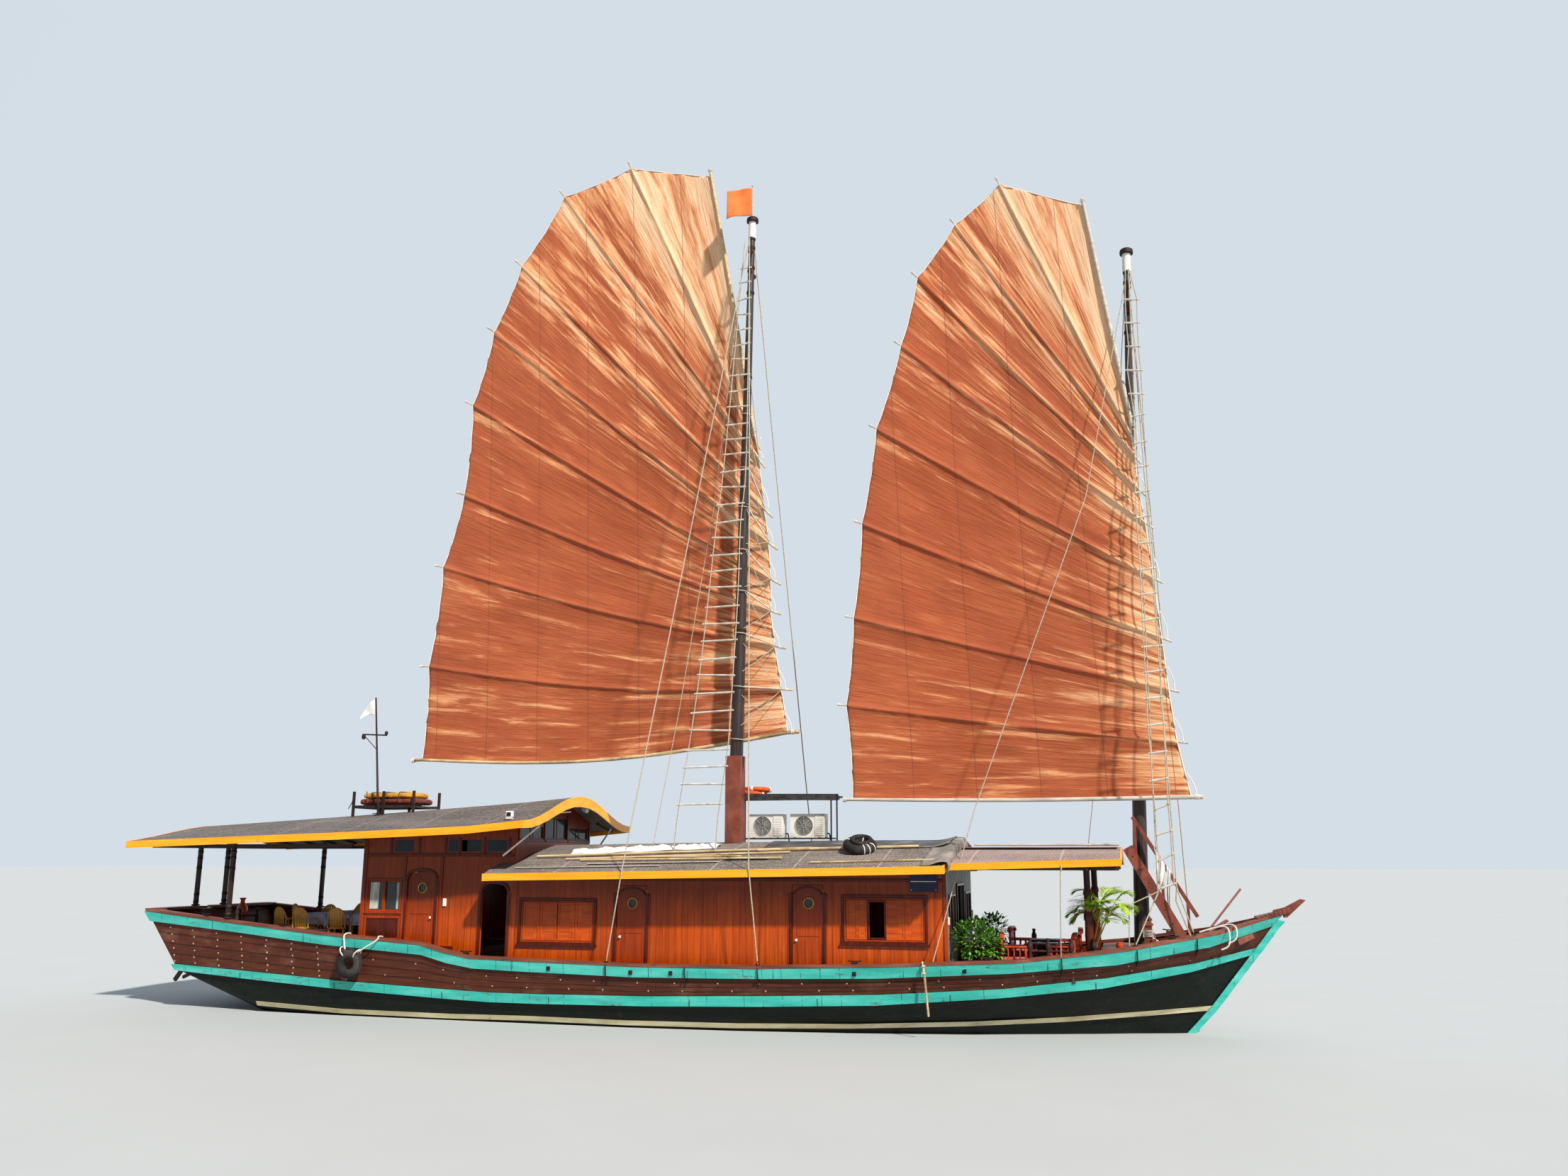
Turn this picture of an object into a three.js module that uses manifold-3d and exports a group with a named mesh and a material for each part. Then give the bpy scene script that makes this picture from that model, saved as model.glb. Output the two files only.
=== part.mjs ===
// Wooden two-masted cruising junk, 27 m long, afloat.
// Frame: millimetres when exported, +X to the bow, +Y to port, +Z up.
// Origin on the centreline at the waterline, midway along the length.
// All dimensions below are in metres; each mesh is scaled to millimetres at the end.
import * as THREE from 'three';
import { mergeVertices } from 'three/addons/utils/BufferGeometryUtils.js';
import Module from 'manifold-3d';

const wasm = await Module();
wasm.setup();

// ------------------------------------------------------------------ driving dimensions
const MM = 1000;
const GAP = 0.002;              // clearance between neighbouring fixed pieces
const LEAF_GAP = 0.008;         // clearance round a door leaf

const STRAKE_OUT = 0.05;        // how far a strake stands off the planking
const RAIL_WIDE = 0.23;         // cap rail width
const RAIL_DEEP = 0.062;        // cap rail thickness
const BULWARK = 0.11;           // bulwark thickness
const DECK_AFT = 1.453125;          // deck heights above the water
const DECK_MID = 1.078125;
const DECK_BOW = 1.703125;
const STEP_AFT_X = -5.0;        // where the aft deck steps down
const STEP_BOW_X = 9.45;        // where the bow deck steps up

const WALL_Y = 1.98;            // outer face of the house sides
const WALL = 0.06;              // wall thickness
const HOUSE_AFT_X = -7.55;
const WHEELHOUSE_X = -3.55;     // glazed front of the raised aft house
const HOUSE_FWD_X = 6.45;

const AFT_ROOF = { x0: -13.55, x1: -2.85, half: 3.0, thick: 0.05 };
const MAIN_ROOF = { x0: -3.93, x1: 6.50, half: 2.72, thick: 0.05 };
const CANOPY = { x0: 6.56, x1: 9.98, half: 2.38, thick: 0.05 };
const FASCIA = 0.03;            // fascia board thickness

const MAIN_MAST = { foot: [1.165, 0, 5.0], head: [1.51, 0, 20.0], r0: 0.165, r1: 0.075 };
const FORE_MAST = { foot: [10.31, 0, DECK_BOW + 0.009], head: [10.91, 0, 17.73], r0: 0.165, r1: 0.07 };
const TRUNK = { x: 1.16, half: 0.19, top: 5.94 };
const TRUNK_SOCKET_Z = 5.0;

const RUDDER_X = -10.15;        // rudder stock axis
const SHAFT_Z = -0.68;
const PROP_X = -9.52;
const KEEL_BOTTOM = -1.22;

// ------------------------------------------------------------------ colours
const paint = (hex, rough = 0.7, metal = 0) => new THREE.MeshStandardMaterial({ color: hex, roughness: rough, metalness: metal });
const C = {
  hull: paint(0x55301e), black: paint(0x14231e), turquoise: paint(0x48ccb4), cream: paint(0xc8be96),
  rail: paint(0x7d4b3c), wood: paint(0xc85514, 0.5), dark: paint(0x32241c), fascia: paint(0xfaaa14),
  roof: paint(0x6e645f, 0.9), canopy: paint(0x968282, 0.9), stairs: paint(0x8c5044), mast: paint(0x322828, 0.6),
  sail: paint(0xb95f32, 0.9), bamboo: paint(0xc8a878, 0.7), rope: paint(0xb8b0a0, 0.9), steel: paint(0x50504e, 0.5, 0.6),
  white: paint(0xe4e2dc, 0.5), bronze: paint(0xa07838, 0.4, 0.9), rubber: paint(0x1c1c1c, 0.9), raft: paint(0xd8902a, 0.7),
  grey: paint(0x8c9a92, 0.7),
};

// ------------------------------------------------------------------ geometry helpers
const vec = (x, y, z) => new THREE.Vector3(x, y, z);
const lerp = (a, b, t) => a + (b - a) * t;
function along(xs, ys, x) {               // piecewise-linear lookup
  if (x <= xs[0]) return ys[0];
  for (let i = 1; i < xs.length; i++) if (x <= xs[i]) return lerp(ys[i - 1], ys[i], (x - xs[i - 1]) / (xs[i] - xs[i - 1]));
  return ys[ys.length - 1];
}
function bare(g) {
  const c = g.clone();
  for (const n of Object.keys(c.attributes)) if (n !== 'position') c.deleteAttribute(n);
  return mergeVertices(c, 1e-6);
}
function solid(g) {
  const c = bare(g);
  return new wasm.Manifold(new wasm.Mesh({ numProp: 3, vertProperties: new Float32Array(c.attributes.position.array), triVerts: new Uint32Array(c.index.array) }));
}
function back(m) {
  const s = m.getMesh();
  const g = new THREE.BufferGeometry();
  g.setAttribute('position', new THREE.BufferAttribute(new Float32Array(s.vertProperties), 3));
  g.setIndex(new THREE.BufferAttribute(new Uint32Array(s.triVerts), 1));
  return g;
}
const union = (...gs) => { let m = solid(gs[0]); for (const g of gs.slice(1)) m = m.add(solid(g)); return back(m); };
const cut = (g, ...tools) => { let m = solid(g); for (const t of tools) m = m.subtract(solid(t)); return back(m); };
const common = (a, b) => back(solid(a).intersect(solid(b)));
const box = (x0, x1, y0, y1, z0, z1) => new THREE.BoxGeometry(x1 - x0, y1 - y0, z1 - z0).translate((x0 + x1) / 2, (y0 + y1) / 2, (z0 + z1) / 2);
const arr = p => (Array.isArray(p) ? vec(...p) : p);
function rod(p, q, r0, r1 = r0, sides = 10) {     // straight round bar, r0 at p and r1 at q
  p = arr(p); q = arr(q);
  const d = q.clone().sub(p);
  const g = new THREE.CylinderGeometry(r1, r0, d.length(), sides);
  g.applyQuaternion(new THREE.Quaternion().setFromUnitVectors(vec(0, 1, 0), d.clone().normalize()));
  return g.translate((p.x + q.x) / 2, (p.y + q.y) / 2, (p.z + q.z) / 2);
}
function beam(p, q, wide, deep) {                  // straight rectangular bar, wide is level, deep is upright
  p = arr(p); q = arr(q);
  const d = q.clone().sub(p), len = d.length();
  const x = d.normalize(), y = vec(0, 0, 1).cross(x).normalize(), z = x.clone().cross(y);
  const g = new THREE.BoxGeometry(len, wide, deep);
  g.applyMatrix4(new THREE.Matrix4().makeBasis(x, y, z));
  return g.translate((p.x + q.x) / 2, (p.y + q.y) / 2, (p.z + q.z) / 2);
}
const outline = pts => { const s = new THREE.Shape(); pts.forEach(([a, b], i) => (i ? s.lineTo(a, b) : s.moveTo(a, b))); s.closePath(); return s; };
function extrude(shape, depth) {                   // openings are cut one by one from the plain outline
  const plain = (pts, d) => new THREE.ExtrudeGeometry(new THREE.Shape(pts), { depth: d, bevelEnabled: false, steps: 1 });
  const whole = plain(shape.getPoints(6), depth);
  return shape.holes.length ? cut(whole, ...shape.holes.map(h => plain(h.getPoints(6), depth + 0.2).translate(0, 0, -0.1))) : whole;
}
function plateXZ(shape, y0, y1) {                  // outline drawn in x,z and made thick along y
  const g = extrude(shape, y1 - y0);
  g.applyMatrix4(new THREE.Matrix4().makeBasis(vec(1, 0, 0), vec(0, 0, 1), vec(0, -1, 0)));
  return g.translate(0, y1, 0);
}
function plateYZ(shape, x0, x1) {
  const g = extrude(shape, x1 - x0);
  g.applyMatrix4(new THREE.Matrix4().makeBasis(vec(0, 1, 0), vec(0, 0, 1), vec(1, 0, 0)));
  return g.translate(x0, 0, 0);
}
const plateXY = (shape, z0, z1) => extrude(shape, z1 - z0).translate(0, 0, z0);
function volumeSign(pos, idx) {
  let v = 0;
  const a = vec(0, 0, 0), b = vec(0, 0, 0), c = vec(0, 0, 0);
  for (let i = 0; i < idx.length; i += 3) {
    a.fromArray(pos, idx[i] * 3); b.fromArray(pos, idx[i + 1] * 3); c.fromArray(pos, idx[i + 2] * 3);
    v += a.dot(b.cross(c));
  }
  return v;
}
function loft(rings, mirrored = Infinity, turn = Infinity) {   // closed sections of equal count, capped at both ends.
  // Faces from index mirrored on are split the other way, so that the two sides match;
  // with turn given, the rings before it are split one way and the rest the other.
  const n = rings[0].length, pos = [], idx = [];
  for (const r of rings) for (const p of r) pos.push(p[0], p[1], p[2]);
  for (let i = 0; i + 1 < rings.length; i++) for (let j = 0; j < n; j++) {
    const a = i * n + j, b = i * n + (j + 1) % n, c = a + n, d = b + n;
    if (turn < Infinity ? i >= turn : j < mirrored) idx.push(a, b, d, a, d, c); else idx.push(a, b, c, b, d, c);
  }
  const capOf = (i, flip) => {
    const r = rings[i].map(p => vec(...p));
    const nrm = vec(0, 0, 0);
    for (let j = 0; j < n; j++) { const p = r[j], q = r[(j + 1) % n]; nrm.add(vec((p.y - q.y) * (p.z + q.z), (p.z - q.z) * (p.x + q.x), (p.x - q.x) * (p.y + q.y))); }
    const ax = Math.abs(nrm.x) >= Math.abs(nrm.y) && Math.abs(nrm.x) >= Math.abs(nrm.z) ? 0 : Math.abs(nrm.y) >= Math.abs(nrm.z) ? 1 : 2;
    const flat = r.map(p => (ax === 0 ? new THREE.Vector2(p.y, p.z) : ax === 1 ? new THREE.Vector2(p.z, p.x) : new THREE.Vector2(p.x, p.y)));
    const cw = THREE.ShapeUtils.isClockWise(flat);
    for (const [a, b, c] of THREE.ShapeUtils.triangulateShape(flat, [])) {
      if (orient(flat, a, b, c) === !cw) (flip ? idx.push(i * n + a, i * n + b, i * n + c) : idx.push(i * n + a, i * n + c, i * n + b));
      else (flip ? idx.push(i * n + a, i * n + c, i * n + b) : idx.push(i * n + a, i * n + b, i * n + c));
    }
  };
  if (mirrored < Infinity && turn === Infinity) {  // a two-sided section is capped in strips from side to side
    for (const [i, flip] of [[0, false], [rings.length - 1, true]]) for (let j = 0; j + 1 < n / 2; j++) {
      const a = i * n + j, b = a + 1, c = i * n + n - 1 - j, d = c - 1;
      if (flip) idx.push(a, b, d, a, d, c); else idx.push(a, d, b, a, c, d);
    }
  } else { capOf(0, false); capOf(rings.length - 1, true); }
  if (volumeSign(pos, idx) < 0) for (let i = 0; i < idx.length; i += 3) { const t = idx[i + 1]; idx[i + 1] = idx[i + 2]; idx[i + 2] = t; }
  const g = new THREE.BufferGeometry();
  g.setAttribute('position', new THREE.BufferAttribute(new Float32Array(pos), 3));
  g.setIndex(idx);
  return g;
}
function orient(flat, a, b, c) { return (flat[b].x - flat[a].x) * (flat[c].y - flat[a].y) - (flat[b].y - flat[a].y) * (flat[c].x - flat[a].x) > 0; }
function mirror(g) {                               // the same piece on the other side
  const c = bare(g);
  const p = c.attributes.position.array, idx = c.index.array;
  for (let i = 1; i < p.length; i += 3) p[i] = -p[i];
  for (let i = 0; i < idx.length; i += 3) { const t = idx[i + 1]; idx[i + 1] = idx[i + 2]; idx[i + 2] = t; }
  return c;
}
const bothSides = g => union(g, mirror(g));

const ship = new THREE.Group();
function add(name, geometry, material, parent = ship) {
  const g = bare(geometry);
  g.scale(MM, MM, MM);
  g.computeVertexNormals();
  const mesh = new THREE.Mesh(g, material);
  mesh.name = name;
  parent.add(mesh);
  return mesh;
}

// ------------------------------------------------------------------ hull lines
// Stations: t runs from the transom (0) to the stem (1); half is the half breadth at the cap rail;
// the other columns are the heights of the level lines at that station.
const STATIONS = [
  // t,    half,  cap,  sheer, rubTop, rubBot, wlTop, wlBot, bilge, floor, keel
  [0.000, 2.250, 2.33, 2.03, 1.02, 0.88, 0.85, 0.82, 0.78, 0.74, 0.72],
  [0.100, 2.460, 2.09, 1.82, 0.91, 0.73, 0.24, 0.14, -0.02, -0.12, -0.15],
  [0.200, 2.590, 1.86, 1.58, 0.78, 0.59, 0.15, 0.05, -0.25, -0.50, -0.58],
  [0.300, 2.660, 1.69, 1.41, 0.68, 0.48, 0.14, 0.04, -0.42, -0.75, -0.88],
  [0.325, 2.675, 1.53, 1.25, 0.66, 0.46, 0.14, 0.04, -0.45, -0.78, -0.92],
  [0.350, 2.690, 1.42, 1.15, 0.64, 0.44, 0.15, 0.05, -0.47, -0.80, -0.94],
  [0.400, 2.700, 1.39, 1.11, 0.64, 0.44, 0.16, 0.06, -0.50, -0.85, -0.98],
  [0.500, 2.720, 1.34, 1.06, 0.67, 0.47, 0.15, 0.05, -0.52, -0.88, -1.02],
  [0.600, 2.690, 1.36, 1.09, 0.74, 0.53, 0.16, 0.06, -0.52, -0.88, -1.02],
  [0.700, 2.560, 1.44, 1.15, 0.82, 0.61, 0.20, 0.10, -0.50, -0.87, -1.02],
  [0.800, 2.240, 1.55, 1.28, 0.97, 0.79, 0.28, 0.18, -0.42, -0.82, -1.00],
  [0.880, 1.680, 1.78, 1.45, 1.18, 0.98, 0.37, 0.27, -0.32, -0.74, -0.97],
  [0.950, 0.900, 2.10, 1.78, 1.45, 1.28, 0.48, 0.38, -0.20, -0.62, -0.92],
  [1.000, 0.060, 2.46, 2.17, 1.73, 1.58, 0.56, 0.46, -0.10, -0.50, -0.85],
];
const CAP_COL = 2;
// Levels: xAft and xFore are the ends of each line; aft, mid and bow are the share of the half breadth there.
const LEVELS = [
  // name,    col, xAft,   xFore, aft,   mid,   bow
  ['cap',     2, -13.452, 13.15, 1.000, 1.000, 1.000],
  ['sheer',   3, -13.27, 12.92, 0.993, 0.987, 0.960],
  ['rubTop',  4, -12.49, 12.57, 0.985, 0.965, 0.890],
  ['rubBot',  5, -12.38, 12.45, 0.980, 0.955, 0.860],
  ['wlTop',   6, -12.36, 11.63, 0.945, 0.915, 0.660],
  ['wlBot',   7, -12.34, 11.53, 0.920, 0.900, 0.620],
  ['bilge',   8, -12.31, 11.00, 0.800, 0.800, 0.400],
  ['floor',   9, -12.28, 10.45, 0.550, 0.520, 0.220],
  ['keel',   10, -12.26, 9.60, 0.045, 0.040, 0.060],
];
const levelRow = Object.fromEntries(LEVELS.map(l => [l[0], l]));
const KEEL_HALF = 0.10;
function hullPoint(i, level, drop = 0) {
  const [, col, xa, xf, fa, fm, fb] = levelRow[level];
  const s = STATIONS[i], t = s[0];
  const x = lerp(xa, xf, t);
  const f = t < 0.3 ? lerp(fa, fm, t / 0.3) : t < 0.55 ? fm : t < 0.95 ? lerp(fm, fb, (t - 0.55) / 0.4) : fb;
  let y = s[1] * f;
  if (level === 'keel') y = KEEL_HALF;
  if (t === 1) y = 0.06;
  return [x, Math.max(y, 0.06), s[col] - drop];
}
const capX = i => lerp(levelRow.cap[2], levelRow.cap[3], STATIONS[i][0]);
const CAP_XS = STATIONS.map((s, i) => capX(i));
const CAP_YS = STATIONS.map(s => s[1]);
const CAP_ZS = STATIONS.map(s => s[CAP_COL]);
const halfAt = x => along(CAP_XS, CAP_YS, x);
const capAt = x => along(CAP_XS, CAP_ZS, x);

// planking, solid to the decks, with bulwarks standing above them
const hullRings = STATIONS.map((s, i) => {
  const right = LEVELS.map(l => hullPoint(i, l[0], l[0] === 'cap' ? RAIL_DEEP : 0));
  const left = right.map(([x, y, z]) => [x, -y, z]).reverse();
  return [...right, ...left];
});
function halfAtHeight(x, z) {                      // half breadth of the planking at a height
  const hits = LEVELS.map(([name]) => {
    const pts = STATIONS.map((s, i) => hullPoint(i, name));
    const xs = pts.map(p => p[0]);
    return x > xs[xs.length - 1] ? null : [along(xs, pts.map(p => p[2]), x), along(xs, pts.map(p => p[1]), x)];
  }).filter(Boolean).reverse();
  return along(hits.map(h => h[0]), hits.map(h => h[1]), z);
}
const TRANSOM_LEAN = (13.50 - 12.26) / (2.33 - 0.72);   // run of the transom and of the stem for each metre of height
const STEM_LEAN = 0.79;
const OPEN_Z = 4;
// The space between the bulwarks, its sides parallel to the planking. Its ends stand at x0 and x1 at deck
// height and lean with the transom or the stem.
function recess(x0, x1, deck, lean0 = 0, lean1 = 0, inset = BULWARK) {
  const rows = [[x0, lean0], ...CAP_XS.filter(x => x > x0 + 0.05 && x < x1 - 0.05).map(x => [x, 0]), [x1, lean1]];
  return loft(rows.map(([x, lean]) => {
    const rise = Math.max(capAt(x) - deck, 0.05), xc = x + lean * rise;
    const low = Math.max(Math.min(halfAt(x) * 0.987, halfAtHeight(x, deck)) - inset, 0.03);
    const high = Math.max(halfAt(xc) - inset, 0.03);
    const slope = Math.min(Math.max((high - low) / rise, 0.01), 1.2);
    const top = low + slope * (OPEN_Z - deck), xt = x + lean * (OPEN_Z - deck);
    return [[x, low, deck], [xt, top, OPEN_Z], [xt, -top, OPEN_Z], [x, -low, deck]];
  }));
}
const TRANSOM_THICK = 0.14;
const STERN_INNER_X = -13.50 + (2.33 - DECK_AFT) * TRANSOM_LEAN + TRANSOM_THICK, BOW_INNER_X = 12.30;
const STEP_LEAN = 0.01;
const planked = cut(loft(hullRings, LEVELS.length),
  recess(STERN_INNER_X, STEP_AFT_X, DECK_AFT, -TRANSOM_LEAN, STEP_LEAN),
  recess(STEP_AFT_X - 0.01, STEP_BOW_X + 0.01, DECK_MID, -STEP_LEAN, STEP_LEAN),
  recess(STEP_BOW_X, BOW_INNER_X, DECK_BOW, -STEP_LEAN, STEM_LEAN));
// all that lies above the three decks, a step apart in height; g keeps the bulwarks a hairline off the hull
const overDecks = g => union(box(-16, STEP_AFT_X + g / 2, -4, 4, DECK_AFT + g, 5), box(STEP_AFT_X + g, STEP_BOW_X - g, -4, 4, DECK_MID + g, 5), box(STEP_BOW_X - g / 2, 16, -4, 4, DECK_BOW + g, 5),
  box(STEP_AFT_X - 0.2, STEP_BOW_X + 0.2, -4, 4, DECK_BOW + g, 5), box(STEP_AFT_X - 0.2, STEP_BOW_X - g, -4, 4, DECK_AFT + g, 5));
const hull = cut(planked, overDecks(0),
  rod([RUDDER_X, 0, -0.5], [RUDDER_X, 0, 0.55], 0.062, 0.062, 20));   // trunk of the rudder stock
add('hull', hull, C.hull);
const bulwarks = common(planked, overDecks(GAP * 1.5));
add('bulwark_port', common(bulwarks, box(-16, STEP_BOW_X, GAP / 2, 4, 0, 5)), C.hull);
add('bulwark_starboard', common(bulwarks, box(-16, STEP_BOW_X, -4, -GAP / 2, 0, 5)), C.hull);
add('bulwark_bow', common(bulwarks, box(STEP_BOW_X, 16, -4, 4, 0, 5)), C.hull);

// outward direction of the planking in plan, for the strakes
function outward(i, level) {
  const a = hullPoint(Math.max(i - 1, 0), level), b = hullPoint(Math.min(i + 1, STATIONS.length - 1), level);
  const dx = b[0] - a[0], dy = b[1] - a[1], len = Math.hypot(dx, dy);
  return [-dy / len, dx / len];
}
function stretch(level, i, off) {
  const p = hullPoint(i, level), [nx, ny] = outward(i, level);
  return [p[0] + nx * off, p[1] + ny * off, p[2]];
}
const LAST = STATIONS.length - 1;
const transomX = z => -13.50 + (2.33 - z) * TRANSOM_LEAN;
// Sections of a strake on the port planking between two level lines, from the stem aft to station first.
function portSections(top, bottom, first, out, dropTop = 0) {
  const q = hullPoint(LAST, top), w = hullPoint(LAST, bottom);
  const at = (p, o, drop) => [p[0] - 0.004, p[1] + o, p[2] - drop];
  const rings = [[at(q, GAP * 2, dropTop), at(w, GAP * 2, 0), at(w, out, 0), at(q, out, dropTop)]];
  for (let i = LAST - 1; i >= first; i--) {
    const ti = stretch(top, i, GAP), to = stretch(top, i, out), bi = stretch(bottom, i, GAP), bo = stretch(bottom, i, out);
    rings.push([[ti[0], ti[1], ti[2] - dropTop], bi, bo, [to[0], to[1], to[2] - dropTop]]);
  }
  return rings;
}
const mirrorRing = r => r.map(([x, y, z]) => [x, -y, z]);
// A strake that runs from the stem round the transom and back, mitred at the two corners.
function roundStrake(top, bottom, out, zTop, zBottom, yTop, yBottom, dropTop = 0) {
  const port = portSections(top, bottom, 1, out, dropTop);
  port.push([[transomX(zTop) - GAP, yTop + GAP, zTop], [transomX(zBottom) - GAP, yBottom + GAP, zBottom], [transomX(zBottom) - out, yBottom + out, zBottom], [transomX(zTop) - out, yTop + out, zTop]]);
  return loft([...port, ...port.slice().reverse().map(mirrorRing)], 0, port.length - 1);
}
const sheer0 = hullPoint(0, 'sheer'), rubTop0 = hullPoint(0, 'rubTop'), rubBot0 = hullPoint(0, 'rubBot');
add('sheer_strake', roundStrake('cap', 'sheer', STRAKE_OUT, 2.262, 2.03, STATIONS[0][1], sheer0[1], RAIL_DEEP + GAP), C.turquoise);
add('rub_strake', roundStrake('rubTop', 'rubBot', STRAKE_OUT + 0.01, 1.02, 0.88, rubTop0[1], rubBot0[1]), C.turquoise);
const wlPort = loft(portSections('wlTop', 'wlBot', 1, 0.04).reverse());
add('waterline_rail_port', wlPort, C.cream);
add('waterline_rail_starboard', mirror(wlPort), C.cream);

// cap rail: one length each side, with the opening in the middle of the transom
const RAIL_GATE = [-0.50, -0.05];              // the gap for the boarding ladder, a little to starboard
function railRing(i) {
  const half = STATIONS[i][1], z = STATIONS[i][CAP_COL], x = capX(i);
  const [nx, ny] = outward(i, 'cap');
  const o = 0.06, w = Math.min(RAIL_WIDE - o, Math.max(half - 0.03, 0.03));
  return [[x + nx * o, half + ny * o, z], [x - nx * w, half - ny * w, z], [x - nx * w, half - ny * w, z - RAIL_DEEP + GAP], [x + nx * o, half + ny * o, z - RAIL_DEEP + GAP]];
}
const capRings = STATIONS.slice(0, LAST).map((s, i) => railRing(i));
capRings.push([[12.93, 0.20, 2.40], [12.93, 0.02, 2.40], [12.93, 0.02, 2.342], [12.93, 0.20, 2.342]]);
const capSide = loft(capRings);
add('cap_rail_port', union(capSide, box(-13.56, -13.16, RAIL_GATE[1], 2.20, 2.33 - RAIL_DEEP + GAP, 2.33)), C.rail);
add('cap_rail_starboard', union(mirror(capSide), box(-13.56, -13.16, -2.20, RAIL_GATE[0], 2.33 - RAIL_DEEP + GAP, 2.33)), C.rail);

// stem bar up the raked bow, and the brown horn at its head
const STEM = [
  // x at the planking, z
  [9.62, -0.86], [10.46, -0.50], [11.00, -0.10], [11.54, 0.46], [11.63, 0.56], [12.45, 1.58], [12.58, 1.73], [12.92, 2.17], [13.045, 2.293],
];
add('stem', loft(STEM.map(([x, z]) => { const o = GAP * 2.5; return [[x + o, 0.085, z], [x + 0.15, 0.05, z - 0.03], [x + 0.15, -0.05, z - 0.03], [x + o, -0.085, z]]; })), C.turquoise);
const horn = plateXZ(outline([[12.97, 2.402], [13.158, 2.402], [13.168, 2.34], [13.24, 2.35], [13.62, 2.70], [13.52, 2.72], [13.20, 2.55], [12.97, 2.49]]), -0.05, 0.05);
add('stem_head', horn, C.stairs);

// keel, deadwood and rudder shoe, one plate on the centreline with the screw aperture
const KEEL_HALF_THICK = 0.08;
const keelTop = STATIONS.map((s, i) => hullPoint(i, 'keel')).filter(p => p[0] > -9.0 && p[0] < 9.62).map(([x, , z]) => [x, z - GAP * 1.5]).reverse();
const keelAftTop = (() => { const a = hullPoint(1, 'keel'), b = hullPoint(2, 'keel'); const z = lerp(a[2], b[2], (-9.12 - a[0]) / (b[0] - a[0])); return [-9.12, z - GAP * 1.5]; })();
const keelOutline = outline([...keelTop, keelAftTop, [-9.12, KEEL_BOTTOM + 0.05], [-10.62, KEEL_BOTTOM + 0.05], [-10.62, KEEL_BOTTOM - 0.04], [-3.0, KEEL_BOTTOM - 0.04], [7.5, KEEL_BOTTOM - 0.02], [9.2, -1.02]]);
add('keel', cut(plateXZ(keelOutline, -KEEL_HALF_THICK, KEEL_HALF_THICK), rod([-9.5, 0, SHAFT_Z], [-8.62, 0, SHAFT_Z], 0.04, 0.04, 20)), C.black);

// ------------------------------------------------------------------ rudder and screw
const rudderBlade = plateXZ(outline([[-9.99, -1.14], [-9.99, -0.36], [-10.06, -0.30], [-10.75, -0.16], [-10.92, -0.22], [-10.92, -1.02], [-10.80, -1.14]]), -0.03, 0.03);
add('rudder', union(rudderBlade, rod([RUDDER_X, 0, -1.155], [RUDDER_X, 0, 0.52], 0.05, 0.05, 16)), C.black);
const bladeShape = new THREE.Shape();
bladeShape.moveTo(0.05, -0.05); bladeShape.quadraticCurveTo(0.16, -0.17, 0.27, -0.14); bladeShape.quadraticCurveTo(0.36, -0.08, 0.35, 0.02);
bladeShape.quadraticCurveTo(0.33, 0.12, 0.22, 0.13); bladeShape.quadraticCurveTo(0.12, 0.12, 0.05, 0.05); bladeShape.closePath();
const BLADES = 3, BLADE_PITCH = Math.PI * 0.2;
const screwParts = [rod([PROP_X - 0.10, 0, SHAFT_Z], [PROP_X + 0.10, 0, SHAFT_Z], 0.055, 0.075, 16), rod([PROP_X - 0.17, 0, SHAFT_Z], [PROP_X - 0.09, 0, SHAFT_Z], 0.02, 0.05, 16)];
for (let i = 0; i < BLADES; i++) {
  const g = new THREE.ExtrudeGeometry(bladeShape, { depth: 0.016, bevelEnabled: false, curveSegments: 5 }).translate(0, 0, -0.008);
  g.rotateX(Math.PI / 2 - BLADE_PITCH).rotateY(Math.PI / 2).rotateZ(0);   // blade root on the hub, pitched about its own radius
  const spun = g.clone();
  // lay the radius along +Z, then turn about the shaft
  spun.applyMatrix4(new THREE.Matrix4().makeRotationX((i * 2 * Math.PI) / BLADES));
  screwParts.push(spun.translate(PROP_X, 0, SHAFT_Z));
}
screwParts.push(rod([PROP_X, 0, SHAFT_Z], [-8.66, 0, SHAFT_Z], 0.032, 0.032, 16));   // tail shaft into the deadwood
add('propeller', union(...screwParts), C.bronze);

// ------------------------------------------------------------------ roofs
// Roof stations: x, height at the eave, height at the ridge, share of the bell curve in the section.
const AFT_STATIONS = [
  // x,      eave, ridge, bell
  [-13.55, 3.95, 4.40, 0.35],
  [-11.00, 4.03, 4.53, 0.35],
  [-8.20, 4.11, 4.68, 0.40],
  [-5.50, 4.20, 4.84, 0.55],
  [-4.20, 4.25, 4.92, 0.80],
  [-2.85, 4.37, 5.03, 1.00],
];
const MAIN_STATIONS = [[-3.93, 3.20, 3.85, 0], [-3.50, 3.21, 3.86, 0], [1.30, 3.29, 3.92, 0], [6.50, 3.39, 3.93, 0]];
const CANOPY_STATIONS = [[6.56, 3.44, 3.79, 0], [9.98, 3.53, 3.78, 0]];
const ACROSS = [-1, -0.86, -0.72, -0.58, -0.44, -0.30, -0.15, 0, 0.15, 0.30, 0.44, 0.58, 0.72, 0.86, 1];
const ACROSS_PLAIN = [-1, -0.728, -0.4, 0, 0.4, 0.728, 1];
function section([, eave, ridge, bell], u) {
  const a = Math.abs(u);
  const f = bell * 0.5 * (1 + Math.cos(Math.PI * a)) + (1 - bell) * (1 - Math.pow(a, 1.35));
  return lerp(eave, ridge, f);
}
function stationAt(table, x) {
  if (x <= table[0][0]) return table[0];
  for (let i = 1; i < table.length; i++) if (x <= table[i][0]) { const k = (x - table[i - 1][0]) / (table[i][0] - table[i - 1][0]); return table[i].map((v, j) => lerp(table[i - 1][j], v, k)); }
  return table[table.length - 1];
}
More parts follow.
